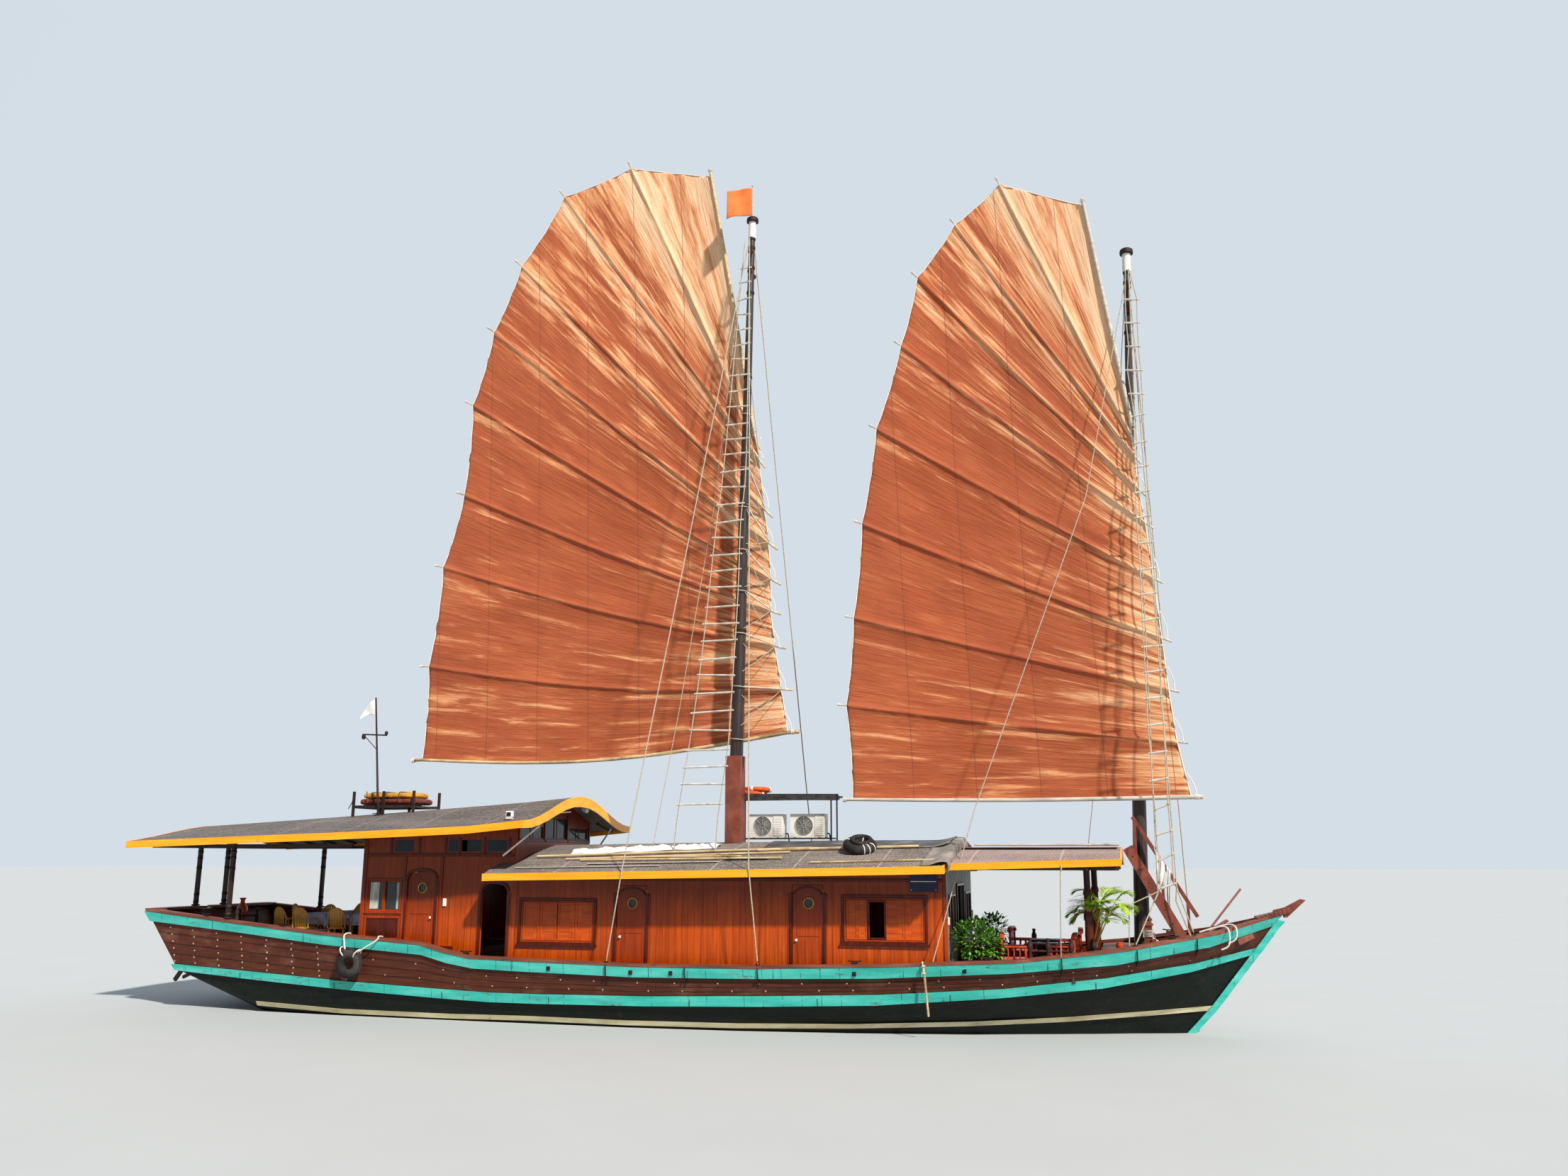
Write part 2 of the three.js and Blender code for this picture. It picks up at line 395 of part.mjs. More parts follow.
// height of a faceted roof at x,y
function roofTop(table, across, half, x, y) {
  const found = table.findIndex(r => r[0] >= x);
  const i = found < 0 ? table.length - 1 : Math.max(1, found);
  const k = (x - table[i - 1][0]) / (table[i][0] - table[i - 1][0]);
  const h = st => along(across.map(u => u * half), across.map(u => section(st, u)), y);
  return lerp(h(table[i - 1]), h(table[i]), Math.min(Math.max(k, 0), 1));
}
function roofShell(table, across, { half, thick }) {
  return loft(table.map(st => {
    const top = across.map(u => [st[0], u * half, section(st, u)]);
    return [...top, ...top.map(([x, y, z]) => [x, y, z - thick]).reverse()];
  }));
}
// fascia boards hang from the roof's edge; deep(u) is their depth
function fasciaSides(table, half, deep, x0, x1) {
  const rows = [...new Set([x0, ...table.map(r => r[0]).filter(x => x > x0 && x < x1), x1])];
  const board = loft(rows.map(x => { const z = section(stationAt(table, x), 1) + 0.005; return [[x, half + GAP, z], [x, half + GAP + FASCIA, z], [x, half + GAP + FASCIA, z - deep], [x, half + GAP, z - deep]]; }));
  return [board, mirror(board)];
}
function fasciaEnd(station, across, half, deepEdge, deepMid, x0, x1) {
  const top = across.map(u => [u * (half + GAP + FASCIA), section(station, u) + 0.005]);
  const low = across.map(u => [u * (half + GAP + FASCIA), section(station, u) - lerp(deepMid, deepEdge, Math.abs(u))]).reverse();
  return plateYZ(outline([...top, ...low]), x0, x1);
}
const H = AFT_ROOF.half, HM = MAIN_ROOF.half, HC = CANOPY.half;
add('aft_roof', roofShell(AFT_STATIONS, ACROSS, AFT_ROOF), C.roof);
add('aft_roof_fascia', union(
  ...fasciaSides(AFT_STATIONS, H, 0.165, AFT_ROOF.x0 - GAP - FASCIA, AFT_ROOF.x1 + GAP + FASCIA),
  fasciaEnd(AFT_STATIONS[5], ACROSS, H, 0.165, 0.25, AFT_ROOF.x1 + GAP, AFT_ROOF.x1 + GAP + FASCIA),
  fasciaEnd(AFT_STATIONS[0], ACROSS, H, 0.165, 0.165, AFT_ROOF.x0 - GAP - FASCIA, AFT_ROOF.x0 - GAP)), C.fascia);

const trunkHole = box(TRUNK.x - TRUNK.half - 0.01, TRUNK.x + TRUNK.half + 0.01, -TRUNK.half - 0.01, TRUNK.half + 0.01, 3, 5);
add('main_roof', cut(roofShell(MAIN_STATIONS, ACROSS_PLAIN, MAIN_ROOF), trunkHole,
  box(-4.2, WHEELHOUSE_X + WALL + 0.004, -WALL_Y - 0.004, WALL_Y + 0.004, 3, 5)), C.roof);
add('main_roof_fascia', union(
  ...fasciaSides(MAIN_STATIONS, HM, 0.16, MAIN_ROOF.x0, MAIN_ROOF.x1 + GAP + FASCIA),
  fasciaEnd(MAIN_STATIONS[3], ACROSS_PLAIN, HM, 0.155, 0.14, MAIN_ROOF.x1 + GAP, MAIN_ROOF.x1 + GAP + FASCIA)), C.fascia);
add('canopy_roof', roofShell(CANOPY_STATIONS, ACROSS_PLAIN, CANOPY), C.canopy);
add('canopy_fascia', union(
  ...fasciaSides(CANOPY_STATIONS, HC, 0.14, CANOPY.x0, CANOPY.x1 + GAP + FASCIA),
  fasciaEnd(CANOPY_STATIONS[1], ACROSS_PLAIN, HC, 0.14, 0.12, CANOPY.x1 + GAP, CANOPY.x1 + GAP + FASCIA)), C.fascia);

// ------------------------------------------------------------------ house walls
function arched(x0, x1, z0, z1, rise) {            // opening with an arched head
  const p = new THREE.Path();
  p.moveTo(x0, z0); p.lineTo(x1, z0); p.lineTo(x1, z1 - rise);
  p.quadraticCurveTo(x1, z1, (x0 + x1) / 2, z1); p.quadraticCurveTo(x0, z1, x0, z1 - rise);
  p.closePath();
  return p;
}
const square = (x0, x1, z0, z1) => { const p = new THREE.Path(); p.moveTo(x0, z0); p.lineTo(x1, z0); p.lineTo(x1, z1); p.lineTo(x0, z1); p.closePath(); return p; };
// Side doors: name, aft and fore edge of the opening, sill, head, arch rise, hinge edge, open in the photo
const DOORS = [
  ['galley',      -6.30, -5.56, 1.47, 3.24, 0.20, 'aft', false],
  ['passage',     -4.33, -3.68, 1.12, 2.96, 0.20, 'fore', true],
  ['cabin_aft',   -0.95, -0.25, 1.12, 2.94, 0.0, 'fore', false],
  ['cabin_fore',   3.12, 3.80, 1.12, 2.98, 0.0, 'fore', false],
];
// Side windows: name, aft and fore edge, sill, head
const WINDOWS = [
  ['aft_pane_1', -7.34, -6.96, 2.36, 3.00],
  ['aft_pane_2', -6.90, -6.52, 2.36, 3.00],
  ['main', -3.27, -1.53, 1.72, 2.58],
  ['fore',  4.30, 5.96, 1.86, 2.70],
];
const roofUnder = (table, across, half, x) => Math.min(roofTop(table, across, half, x, WALL_Y), roofTop(table, across, half, x, WALL_Y - WALL)) - 0.05 - 0.02;
const aftTop = x => roofUnder(AFT_STATIONS, ACROSS, H, x);
const mainTop = x => roofUnder(MAIN_STATIONS, ACROSS_PLAIN, HM, x);
const wallShape = outline([
  [HOUSE_AFT_X + 0.002, DECK_AFT + GAP], [STEP_AFT_X + 0.002, DECK_AFT + GAP], [STEP_AFT_X + 0.002, DECK_MID + GAP], [HOUSE_FWD_X, DECK_MID + GAP],
  [HOUSE_FWD_X, mainTop(HOUSE_FWD_X)], [1.30, mainTop(1.30)], [WHEELHOUSE_X + WALL, mainTop(WHEELHOUSE_X + WALL)],
  [WHEELHOUSE_X + WALL - 0.002, aftTop(WHEELHOUSE_X + WALL)], [-4.20, aftTop(-4.20)], [-5.50, aftTop(-5.50)], [HOUSE_AFT_X + 0.002, aftTop(HOUSE_AFT_X)],
]);
for (const [, x0, x1, z0, z1, rise] of DOORS) wallShape.holes.push((rise ? arched : square)(x0 - LEAF_GAP, x1 + LEAF_GAP, z0 - LEAF_GAP, z1 + LEAF_GAP, rise));
for (const [, x0, x1, z0, z1] of WINDOWS) wallShape.holes.push(square(x0, x1, z0, z1));
const wallPort = plateXZ(wallShape, WALL_Y - WALL, WALL_Y);
add('house_side_port', wallPort, C.wood);
add('house_side_starboard', mirror(wallPort), C.wood);

const INNER = WALL_Y - WALL - GAP;
function crossWall(table, across, half, x0, x1, z0, ...holes) {
  const ys = [...new Set([-INNER, ...across.map(u => u * half).filter(y => Math.abs(y) < INNER), INNER])].sort((a, b) => a - b);
  const topAt = y => Math.min(roofTop(table, across, half, x0, y), roofTop(table, across, half, x1, y)) - 0.05 - 0.02;
  const shape = outline([[-INNER, z0], [INNER, z0], ...ys.reverse().map(y => [y, topAt(y)])]);
  shape.holes.push(...holes);
  return plateYZ(shape, x0, x1);
}
const AFT_DOORWAY = [-0.45, 0.45, DECK_AFT + 0.05, 3.25];
const FWD_DOORWAY = [-0.50, 0.50, DECK_MID + 0.05, 2.95];
add('house_aft_wall', crossWall(AFT_STATIONS, ACROSS, H, HOUSE_AFT_X, HOUSE_AFT_X + WALL, DECK_AFT + GAP, arched(...AFT_DOORWAY, 0.2), square(-1.6, -0.8, 2.3, 3.1), square(0.8, 1.6, 2.3, 3.1)), C.wood);
add('wheelhouse_front', crossWall(AFT_STATIONS, ACROSS, H, WHEELHOUSE_X, WHEELHOUSE_X + WALL, DECK_MID + GAP,
  square(-1.80, -0.70, 4.02, 4.28), square(-0.60, 0.60, 4.02, 4.50), square(0.70, 1.80, 4.02, 4.28), square(-0.45, 0.45, DECK_MID + 0.06, 3.05)), C.wood);
add('house_front_wall', crossWall(MAIN_STATIONS, ACROSS_PLAIN, HM, HOUSE_FWD_X - WALL, HOUSE_FWD_X, DECK_MID + GAP,
  square(...FWD_DOORWAY), square(-1.65, -0.85, 1.95, 2.75), square(0.85, 1.65, 1.95, 2.75)), C.grey);

// door leaves, 40 mm thick, flush with the inner face, with a round porthole
const LEAF = 0.04;
const doorNodes = [];
for (const [name, x0, x1, z0, z1, rise, hinge, open] of DOORS) {
  const shape = new THREE.Shape();
  if (rise) { shape.moveTo(x0, z0); shape.lineTo(x1, z0); shape.lineTo(x1, z1 - rise); shape.quadraticCurveTo(x1, z1, (x0 + x1) / 2, z1); shape.quadraticCurveTo(x0, z1, x0, z1 - rise); shape.closePath(); }
  else { shape.moveTo(x0, z0); shape.lineTo(x1, z0); shape.lineTo(x1, z1); shape.lineTo(x0, z1); shape.closePath(); }
  const eye = new THREE.Path(); eye.absarc((x0 + x1) / 2 + 0.02, z1 - 0.37, 0.10, 0, Math.PI * 2, true);
  shape.holes.push(eye);
  const inner = WALL_Y - WALL;
  let leaf = plateXZ(shape, inner, inner + LEAF);
  const knobX = hinge === 'fore' ? x0 + 0.09 : x1 - 0.09;
  leaf = union(leaf, rod([knobX, inner - 0.05, z0 + 0.72], [knobX, inner + LEAF + 0.045, z0 + 0.72], 0.018, 0.018, 10));
  if (open) {                                     // swung in about its hinge edge
    const hx = hinge === 'fore' ? x1 : x0;
    leaf = leaf.clone().translate(-hx, -inner, 0).rotateZ(hinge === 'fore' ? Math.PI / 2 : -Math.PI / 2).translate(hx, inner, 0);
  }
  doorNodes.push(name);
  add(`door_${name}_port`, leaf, C.wood);
  add(`door_${name}_starboard`, mirror(leaf), C.wood);
}

// ------------------------------------------------------------------ window shutters
// Each is one frame with its boards, let into the wall opening.
function framed(x0, x1, z0, z1, bars, y0, y1) {     // a frame with openings left between its bars
  const s = outline([[x0, z0], [x1, z0], [x1, z1], [x0, z1]]);
  bars.forEach(([a, b, c, d]) => s.holes.push(square(a, b, c, d)));
  return plateXZ(s, y0, y1);
}
const IN = WALL_Y - WALL + 0.01, OUT = WALL_Y - 0.01;
const [, wm0, wm1, wm2, wm3] = WINDOWS[2];
const shutMain = framed(wm0 + GAP, wm1 - GAP, wm2 + GAP, wm3 - GAP, [[(wm0 + wm1) / 2 - 0.012, (wm0 + wm1) / 2 + 0.012, wm2 + 0.06, wm3 - 0.06]], IN, OUT);
add('main_shutters_port', shutMain, C.wood);
add('main_shutters_starboard', mirror(shutMain), C.wood);
const [, wf0, wf1, wf2, wf3] = WINDOWS[3];
const shutFore = framed(wf0 + GAP, wf1 - GAP, wf2 + GAP, wf3 - GAP, [[4.80, 5.12, wf2 + 0.05, wf3 - 0.05]], IN, OUT);
add('fore_shutters_port', shutFore, C.wood);
add('fore_shutters_starboard', mirror(shutFore), C.wood);

// ------------------------------------------------------------------ posts that carry the aft roof and the canopy
// posts: x, y
const AFT_POSTS = [[-13.30, -0.78], [-13.30, 0.25], [-10.95, -2.37], [-11.79, 2.31]];
const POST = 0.045;
const lowest = (table, across, half, thick, x, y, r) => Math.min(...[-r, 0, r].flatMap(a => [-r, 0, r].map(b => roofTop(table, across, half, x + a, y + b)))) - thick;
const aftFrame = [];
for (const [x, y] of AFT_POSTS) {
  aftFrame.push(box(x - POST, x + POST, y - POST, y + POST, Math.max(capAt(x - POST), x < -13 ? 2.33 : 0) + GAP * 2, lowest(AFT_STATIONS, ACROSS, H, 0.05, x, y, POST) - 0.015));
  aftFrame.push(box(x - 0.04, x + 0.04, -2.42, 2.42, 3.80, 3.88));
}
for (const s of [-1, 1]) aftFrame.push(box(-13.34, -7.60, s * 2.37 - 0.035, s * 2.37 + 0.035, 3.80, 3.88));
add('aft_deck_frame', union(...aftFrame), C.dark);
const CANOPY_POSTS = [[9.28, -1.30], [9.34, 1.30]];
const canopyFrame = [];
for (const [x, y] of CANOPY_POSTS) {
  canopyFrame.push(rod([x, y, DECK_MID + GAP], [x, y, 3.36], 0.075, 0.065, 12));
  canopyFrame.push(box(6.62, 9.94, y - 0.04, y + 0.04, 3.30, 3.37));
}
canopyFrame.push(box(9.24, 9.32, -2.2, 2.2, 3.30, 3.37), box(6.62, 6.70, -2.2, 2.2, 3.30, 3.37));
add('canopy_frame', union(...canopyFrame), C.dark);

// ------------------------------------------------------------------ masts
const trunk = cut(box(TRUNK.x - TRUNK.half, TRUNK.x + TRUNK.half, -TRUNK.half, TRUNK.half, DECK_MID + GAP, TRUNK.top),
  rod([MAIN_MAST.foot[0], 0, TRUNK_SOCKET_Z - 0.02], [MAIN_MAST.foot[0] + 0.03, 0, TRUNK.top + 0.2], 0.172, 0.172, 20));
add('main_mast_trunk', trunk, C.stairs);
const mastSpar = m => union(rod(m.foot, m.head, m.r0, m.r1, 16), rod(vec(...m.head).sub(vec(0.01, 0, 0.5)), vec(...m.head).add(vec(0, 0, 0)), 0.09, 0.09, 12), rod(vec(...m.head).sub(vec(0, 0, 0.03)), vec(...m.head).add(vec(0.001, 0, 0.06)), 0.15, 0.15, 12));
add('main_mast', mastSpar(MAIN_MAST), C.mast);
add('fore_mast', mastSpar(FORE_MAST), C.mast);

// ------------------------------------------------------------------ sails
// Rows run from the yard down to the boom: distance aft of the mast line and height at the luff and at the leech.
const SAILS = {
  main: { x0: 1.30, y: 0.47, taper: 0, camber: 0.22, mast: MAIN_MAST, rows: [
    // luff s, luff z, leech s, leech z
    [-0.12, 14.50, 1.12, 21.78], [-0.20, 14.05, 3.50, 22.42], [-0.26, 13.55, 5.52, 21.86], [-0.42, 12.20, 6.77, 19.90], [-0.53, 11.31, 7.53, 17.99],
    [-0.59, 10.37, 8.07, 15.87], [-0.59, 9.56, 8.17, 13.27], [-0.70, 8.66, 8.69, 11.27], [-0.87, 7.58, 8.94, 8.55], [-1.03, 6.52, 8.97, 6.07]] },
  fore: { x0: 10.60, y: -0.34, taper: 0.15, camber: 0.14, mast: FORE_MAST, rows: [
    [-0.16, 13.45, 0.61, 19.00], [-0.15, 13.05, 2.60, 19.89], [-0.20, 12.55, 3.73, 18.95], [-0.24, 11.75, 4.70, 17.65], [-0.33, 10.95, 5.15, 15.88],
    [-0.43, 9.65, 5.80, 13.78], [-0.52, 8.29, 6.19, 11.40], [-0.59, 7.14, 6.42, 9.10], [-0.69, 6.00, 6.62, 7.03], [-0.90, 4.82, 6.49, 4.86]] },
};
const SAIL_THICK = 0.024, BATTEN_R = 0.034, SAIL_COLUMNS = 12, FOOT_SAG = 0.32;
function sailPoint(S, v, u) {                       // v in rows (may be half), u from luff 0 to leech 1
  const i = Math.min(Math.floor(v), S.rows.length - 2), k = v - i;
  const r = S.rows[i].map((a, j) => lerp(a, S.rows[i + 1][j], k));
  const scallop = k > 0 && k < 1 ? 0.09 * 4 * k * (1 - k) : 0;
  const uu = u * (1 - scallop * 0.12);
  const last = S.rows.length - 1;
  const sag = (v / last) ** 3 * FOOT_SAG * (S === SAILS.main ? Math.sin(Math.PI * u) : 0.1 * Math.sin(Math.PI * u));
  const wide = Math.min(1, 0.35 + v / 4);
  return [S.x0 - lerp(r[0], r[2], uu), S.y + S.taper * (1 - v / last) + S.camber * wide * Math.sin(Math.PI * u), lerp(r[1], r[3], uu) - sag];
}
function sailCloth(S) {
  const pos = [], idx = [], rows = (S.rows.length - 1) * 2 + 1, cols = SAIL_COLUMNS + 1;
  for (const side of [-1, 1]) for (let i = 0; i < rows; i++) for (let j = 0; j < cols; j++) { const p = sailPoint(S, i / 2, j / SAIL_COLUMNS); pos.push(p[0], p[1] + (side * SAIL_THICK) / 2, p[2]); }
  const at = (f, i, j) => f * rows * cols + i * cols + j;
  for (let i = 0; i + 1 < rows; i++) for (let j = 0; j + 1 < cols; j++) {
    idx.push(at(0, i, j), at(0, i + 1, j), at(0, i + 1, j + 1), at(0, i, j), at(0, i + 1, j + 1), at(0, i, j + 1));
    idx.push(at(1, i, j), at(1, i + 1, j + 1), at(1, i + 1, j), at(1, i, j), at(1, i, j + 1), at(1, i + 1, j + 1));
  }
  const edge = (a, b) => { idx.push(at(0, ...a), at(0, ...b), at(1, ...b), at(0, ...a), at(1, ...b), at(1, ...a)); };
  for (let j = 0; j + 1 < cols; j++) { edge([0, j], [0, j + 1]); edge([rows - 1, j + 1], [rows - 1, j]); }
  for (let i = 0; i + 1 < rows; i++) { edge([i + 1, 0], [i, 0]); edge([i, cols - 1], [i + 1, cols - 1]); }
  if (volumeSign(pos, idx) < 0) for (let i = 0; i < idx.length; i += 3) { const t = idx[i + 1]; idx[i + 1] = idx[i + 2]; idx[i + 2] = t; }
  const g = new THREE.BufferGeometry();
  g.setAttribute('position', new THREE.BufferAttribute(new Float32Array(pos), 3));
  g.setIndex(idx);
  return g;
}
const CIRCLE = r => { const s = new THREE.Shape(); s.absarc(0, 0, r, 0, Math.PI * 2); return s; };
function pole(points, r, sides = 6) {               // curved pole through the points
  const path = new THREE.CatmullRomCurve3(points.map(p => vec(...p)), false, 'centripetal');
  const shape = new THREE.Shape();
  for (let i = 0; i < sides; i++) { const a = ((i + 0.5) / sides) * Math.PI * 2; i ? shape.lineTo(r * Math.cos(a), r * Math.sin(a)) : shape.moveTo(r * Math.cos(a), r * Math.sin(a)); }
  shape.closePath();
  return new THREE.ExtrudeGeometry(shape, { steps: points.length - 1, extrudePath: path });
}
function sailSpars(S) {
  const parts = [], last = S.rows.length - 1, off = SAIL_THICK / 2 + 0.055 + 0.016;
  const on = (v, u) => { const p = sailPoint(S, v, Math.min(Math.max(u, 0), 1)); return [p[0], p[1] - off, p[2]]; };
  const past = (v, u) => { const a = on(v, 0), b = on(v, 1); const p = on(v, u); const k = u < 0 ? u : u > 1 ? u - 1 : 0; return [p[0] + (b[0] - a[0]) * k, p[1], p[2] + (b[2] - a[2]) * k]; };
  for (let v = 0; v <= last; v++) {
    const r = v === 0 || v === last ? 0.052 : BATTEN_R;
    const pts = [];
    for (let j = -0.25; j <= 8.25 + 1e-9; j += j < 0 || j >= 8 ? 0.25 : 1) pts.push(past(v, j / 8));
    parts.push(pole(pts, r));
  }
  for (const u of [0, 1]) for (let i = 0; i < last; i++) parts.push(rod(on(i, u), on(i + 1, u), 0.016, 0.016, 5));
  return union(...parts);
}
add('main_sail', sailCloth(SAILS.main), C.sail);
add('main_sail_battens', sailSpars(SAILS.main), C.bamboo);
add('fore_sail', sailCloth(SAILS.fore), C.sail);
add('fore_sail_battens', sailSpars(SAILS.fore), C.bamboo);

// ------------------------------------------------------------------ standing rigging
// Each shroud pair meets in an eye at the masthead: name, eye, then the points down each leg
const STAY_R = 0.014;
const railFoot = (x, side) => [x, side * (halfAt(x) + 0.02), capAt(x) + 0.016];
const EAVE_Y = HM + GAP + FASCIA + STAY_R + 0.006;    // the main shrouds pass just outside the eave
const SHROUDS = [
  ['main_shrouds_starboard', [1.49, -0.19, 19.4], [[[-0.52, -EAVE_Y, 3.28], railFoot(-0.84, -1)], [[2.38, -EAVE_Y, 3.33], railFoot(2.57, -1)]]],
  ['main_shroud_port', [1.50, 0.19, 19.4], [[[2.38, EAVE_Y, 3.33], railFoot(2.57, 1)]]],
  ['fore_shrouds_starboard', [10.93, -0.17, 17.2], [[[10.68, -1.22, 2.85], railFoot(10.18, -1)], [[11.06, -1.05, 2.95], railFoot(11.34, -1)]]],
  ['fore_shrouds_port', [10.93, 0.17, 17.2], [[railFoot(10.18, 1)], [railFoot(11.34, 1)]]],
];
for (const [name, eye, legs] of SHROUDS) {
  const parts = [new THREE.IcosahedronGeometry(STAY_R * 2, 0).translate(...eye)];
  for (const leg of legs) {
    const pts = [eye, ...leg];
    for (let i = 0; i + 1 < pts.length; i++) parts.push(rod(pts[i], pts[i + 1], STAY_R, STAY_R, 6));
    if (leg.length > 1) parts.push(new THREE.IcosahedronGeometry(STAY_R * 1.6, 0).translate(...leg[0]));
  }
  add(name, union(...parts), C.rope);
}

// ------------------------------------------------------------------ bow stair
const STAIR = { top: [10.15, 3.72], foot: [11.16, DECK_BOW + 0.12], near: -0.81, far: -0.30, plank: 0.045, deep: 0.22, treads: 7 };
const stairParts = [];
for (const y of [STAIR.near, STAIR.far]) stairParts.push(beam([STAIR.top[0] - 0.02, y, STAIR.top[1] + 0.05], [STAIR.foot[0] + 0.02, y, STAIR.foot[1]], STAIR.plank, STAIR.deep));
for (let i = 0; i < STAIR.treads; i++) {
  const k = (i + 0.5) / STAIR.treads;
  const x = lerp(STAIR.top[0], STAIR.foot[0], k), z = lerp(STAIR.top[1], STAIR.foot[1], k);
  stairParts.push(box(x - 0.07, x + 0.07, STAIR.near, STAIR.far, z - 0.015, z + 0.015));
}
// handrail on the far side, on three posts
const railAt = k => [lerp(10.26, 11.46, k), STAIR.far, lerp(4.42, 2.35, k)];
stairParts.push(beam(railAt(0), railAt(1), 0.05, 0.08));
for (const k of [0.03, 0.45, 0.85]) { const p = railAt(k); const s = (p[0] - STAIR.top[0]) / (STAIR.foot[0] - STAIR.top[0]); stairParts.push(box(p[0] - 0.03, p[0] + 0.03, STAIR.far - 0.025, STAIR.far + 0.025, lerp(STAIR.top[1], STAIR.foot[1], Math.min(s, 1)) - 0.04, p[2])); }
add('bow_stair', union(...stairParts), C.stairs);

// ------------------------------------------------------------------ what stands on the roofs
const mainRoofZ = (x, y) => roofTop(MAIN_STATIONS, ACROSS_PLAIN, HM, x, y);
const aftRoofZ = (x, y) => roofTop(AFT_STATIONS, ACROSS, H, x, y);
const RACK = { x0: 1.12, x1: 3.46, y0: 0.27, y1: 0.89, top: 4.92, shelf: 4.02, bar: 0.03 };
const rackParts = [];
for (const x of [RACK.x0, RACK.x1 - RACK.bar]) for (const y of [RACK.y0, RACK.y1 - RACK.bar]) rackParts.push(box(x, x + RACK.bar, y, y + RACK.bar, mainRoofZ(x + RACK.bar, y) + 0.012, RACK.top));
rackParts.push(box(RACK.x0, RACK.x1, RACK.y0, RACK.y1, RACK.shelf - 0.03, RACK.shelf), box(RACK.x0 - 0.04, RACK.x1 + 0.04, RACK.y0 - 0.05, RACK.y1 + 0.05, RACK.top, RACK.top + 0.035));
add('aircon_rack', union(...rackParts), C.steel);
// outdoor units: name, x0, x1
const AIRCON = [['aircon_unit_aft', 1.40, 2.24], ['aircon_unit_fore', 2.42, 3.26]];
for (const [name, x0, x1] of AIRCON) {
  const body = box(x0, x1, 0.38, 0.70, RACK.shelf + GAP, RACK.shelf + 0.55);
  add(name, cut(body, rod([x0 + 0.33, 0.32, RACK.shelf + 0.28], [x0 + 0.33, 0.42, RACK.shelf + 0.28], 0.22, 0.22, 20)), C.white);
}
// two folded rafts lashed in a low rack on the aft roof
const RAFT = { x0: -8.95, x1: -7.15, y0: -0.62, y1: 0.62 };
const raftZ = Math.max(aftRoofZ(RAFT.x0, 0), aftRoofZ(RAFT.x1, 0)) + 0.05;
const raftRack = [box(RAFT.x0, RAFT.x1, RAFT.y0, RAFT.y0 + 0.05, raftZ, raftZ + 0.07), box(RAFT.x0, RAFT.x1, RAFT.y1 - 0.05, RAFT.y1, raftZ, raftZ + 0.07)];
for (const x of [RAFT.x0, (RAFT.x0 + RAFT.x1) / 2 - 0.03, RAFT.x1 - 0.06]) {
  raftRack.push(box(x, x + 0.06, RAFT.y0, RAFT.y1, raftZ, raftZ + 0.05));
  for (const y of [RAFT.y0, RAFT.y1 - 0.05]) raftRack.push(box(x, x + 0.06, y, y + 0.05, Math.max(aftRoofZ(x, y), aftRoofZ(x + 0.06, y), aftRoofZ(x, y + 0.05), aftRoofZ(x + 0.06, y + 0.05)) + GAP, raftZ + 0.42));
}
add('raft_rack', union(...raftRack), C.dark);
const pillow = (x0, x1, y0, y1, z0, z1) => { const r = Math.min(z1 - z0, y1 - y0) * 0.35; return plateXZ(outline([[x0 + r, z0], [x1 - r, z0], [x1, z0 + r], [x1, z1 - r], [x1 - r, z1], [x0 + r, z1], [x0, z1 - r], [x0, z0 + r]]), y0, y1); };
add('life_rafts', union(pillow(RAFT.x0 + 0.08, RAFT.x1 - 0.08, RAFT.y0 + 0.08, RAFT.y1 - 0.08, raftZ + 0.08, raftZ + 0.25),
  pillow(RAFT.x0 + 0.16, RAFT.x1 - 0.20, RAFT.y0 + 0.12, RAFT.y1 - 0.12, raftZ + 0.24, raftZ + 0.40)), C.raft);
// light pole on the aft roof
const POLE_X = -8.10;
add('roof_pole', union(rod([POLE_X, -0.72, aftRoofZ(POLE_X + 0.1, -0.62) + 0.02], [POLE_X - 0.30, -0.72, 7.60], 0.03, 0.02, 10), box(POLE_X - 0.1, POLE_X + 0.1, -0.82, -0.62, aftRoofZ(POLE_X + 0.1, -0.62) + 0.012, aftRoofZ(POLE_X + 0.1, -0.62) + 0.03)), C.dark);

// ------------------------------------------------------------------ deck fittings
const BITT = { x0: 10.36, x1: 10.52, y0: 0.97, y1: 1.12, top: 2.28 };
const bittParts = [box(BITT.x1 - 0.02, BITT.x1 + 0.07, -BITT.y1 - 0.03, BITT.y1 + 0.03, 1.84, 1.94)];   // cross beam ahead of the mast
for (const side of [-1, 1]) {
  const ya = side > 0 ? BITT.y0 : -BITT.y1, yb = side > 0 ? BITT.y1 : -BITT.y0;
  bittParts.push(box(BITT.x0, BITT.x1, ya, yb, DECK_BOW + GAP * 1.5, BITT.top), box(BITT.x0 - 0.03, BITT.x1 + 0.03, ya - 0.03, yb + 0.03, 2.20, 2.24));
}
add('bow_bitts', union(...bittParts), C.stairs);
// tyre hung over the starboard side as a fender
const TYRE = { x: -7.20, z: 1.19, R: 0.325, r: 0.10 };
const tyreProfile = [];
for (let i = 0; i <= 10; i++) { const a = (i / 10) * Math.PI * 2; tyreProfile.push(new THREE.Vector2(TYRE.R - TYRE.r + TYRE.r * Math.cos(a), 0.085 * Math.sin(a))); }
const tyreY = -(halfAt(TYRE.x) + 0.165);
add('tyre_fender', new THREE.LatheGeometry(tyreProfile, 28).translate(TYRE.x, tyreY, TYRE.z), C.rubber);

export default ship;
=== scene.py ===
# Wooden two-masted cruising junk, 27 m long, afloat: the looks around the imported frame.
# Metres, +X to the bow, +Y to port, +Z up, z = 0 at the water.
import bpy
import bmesh
import math
import random
from mathutils import Vector, Matrix, noise


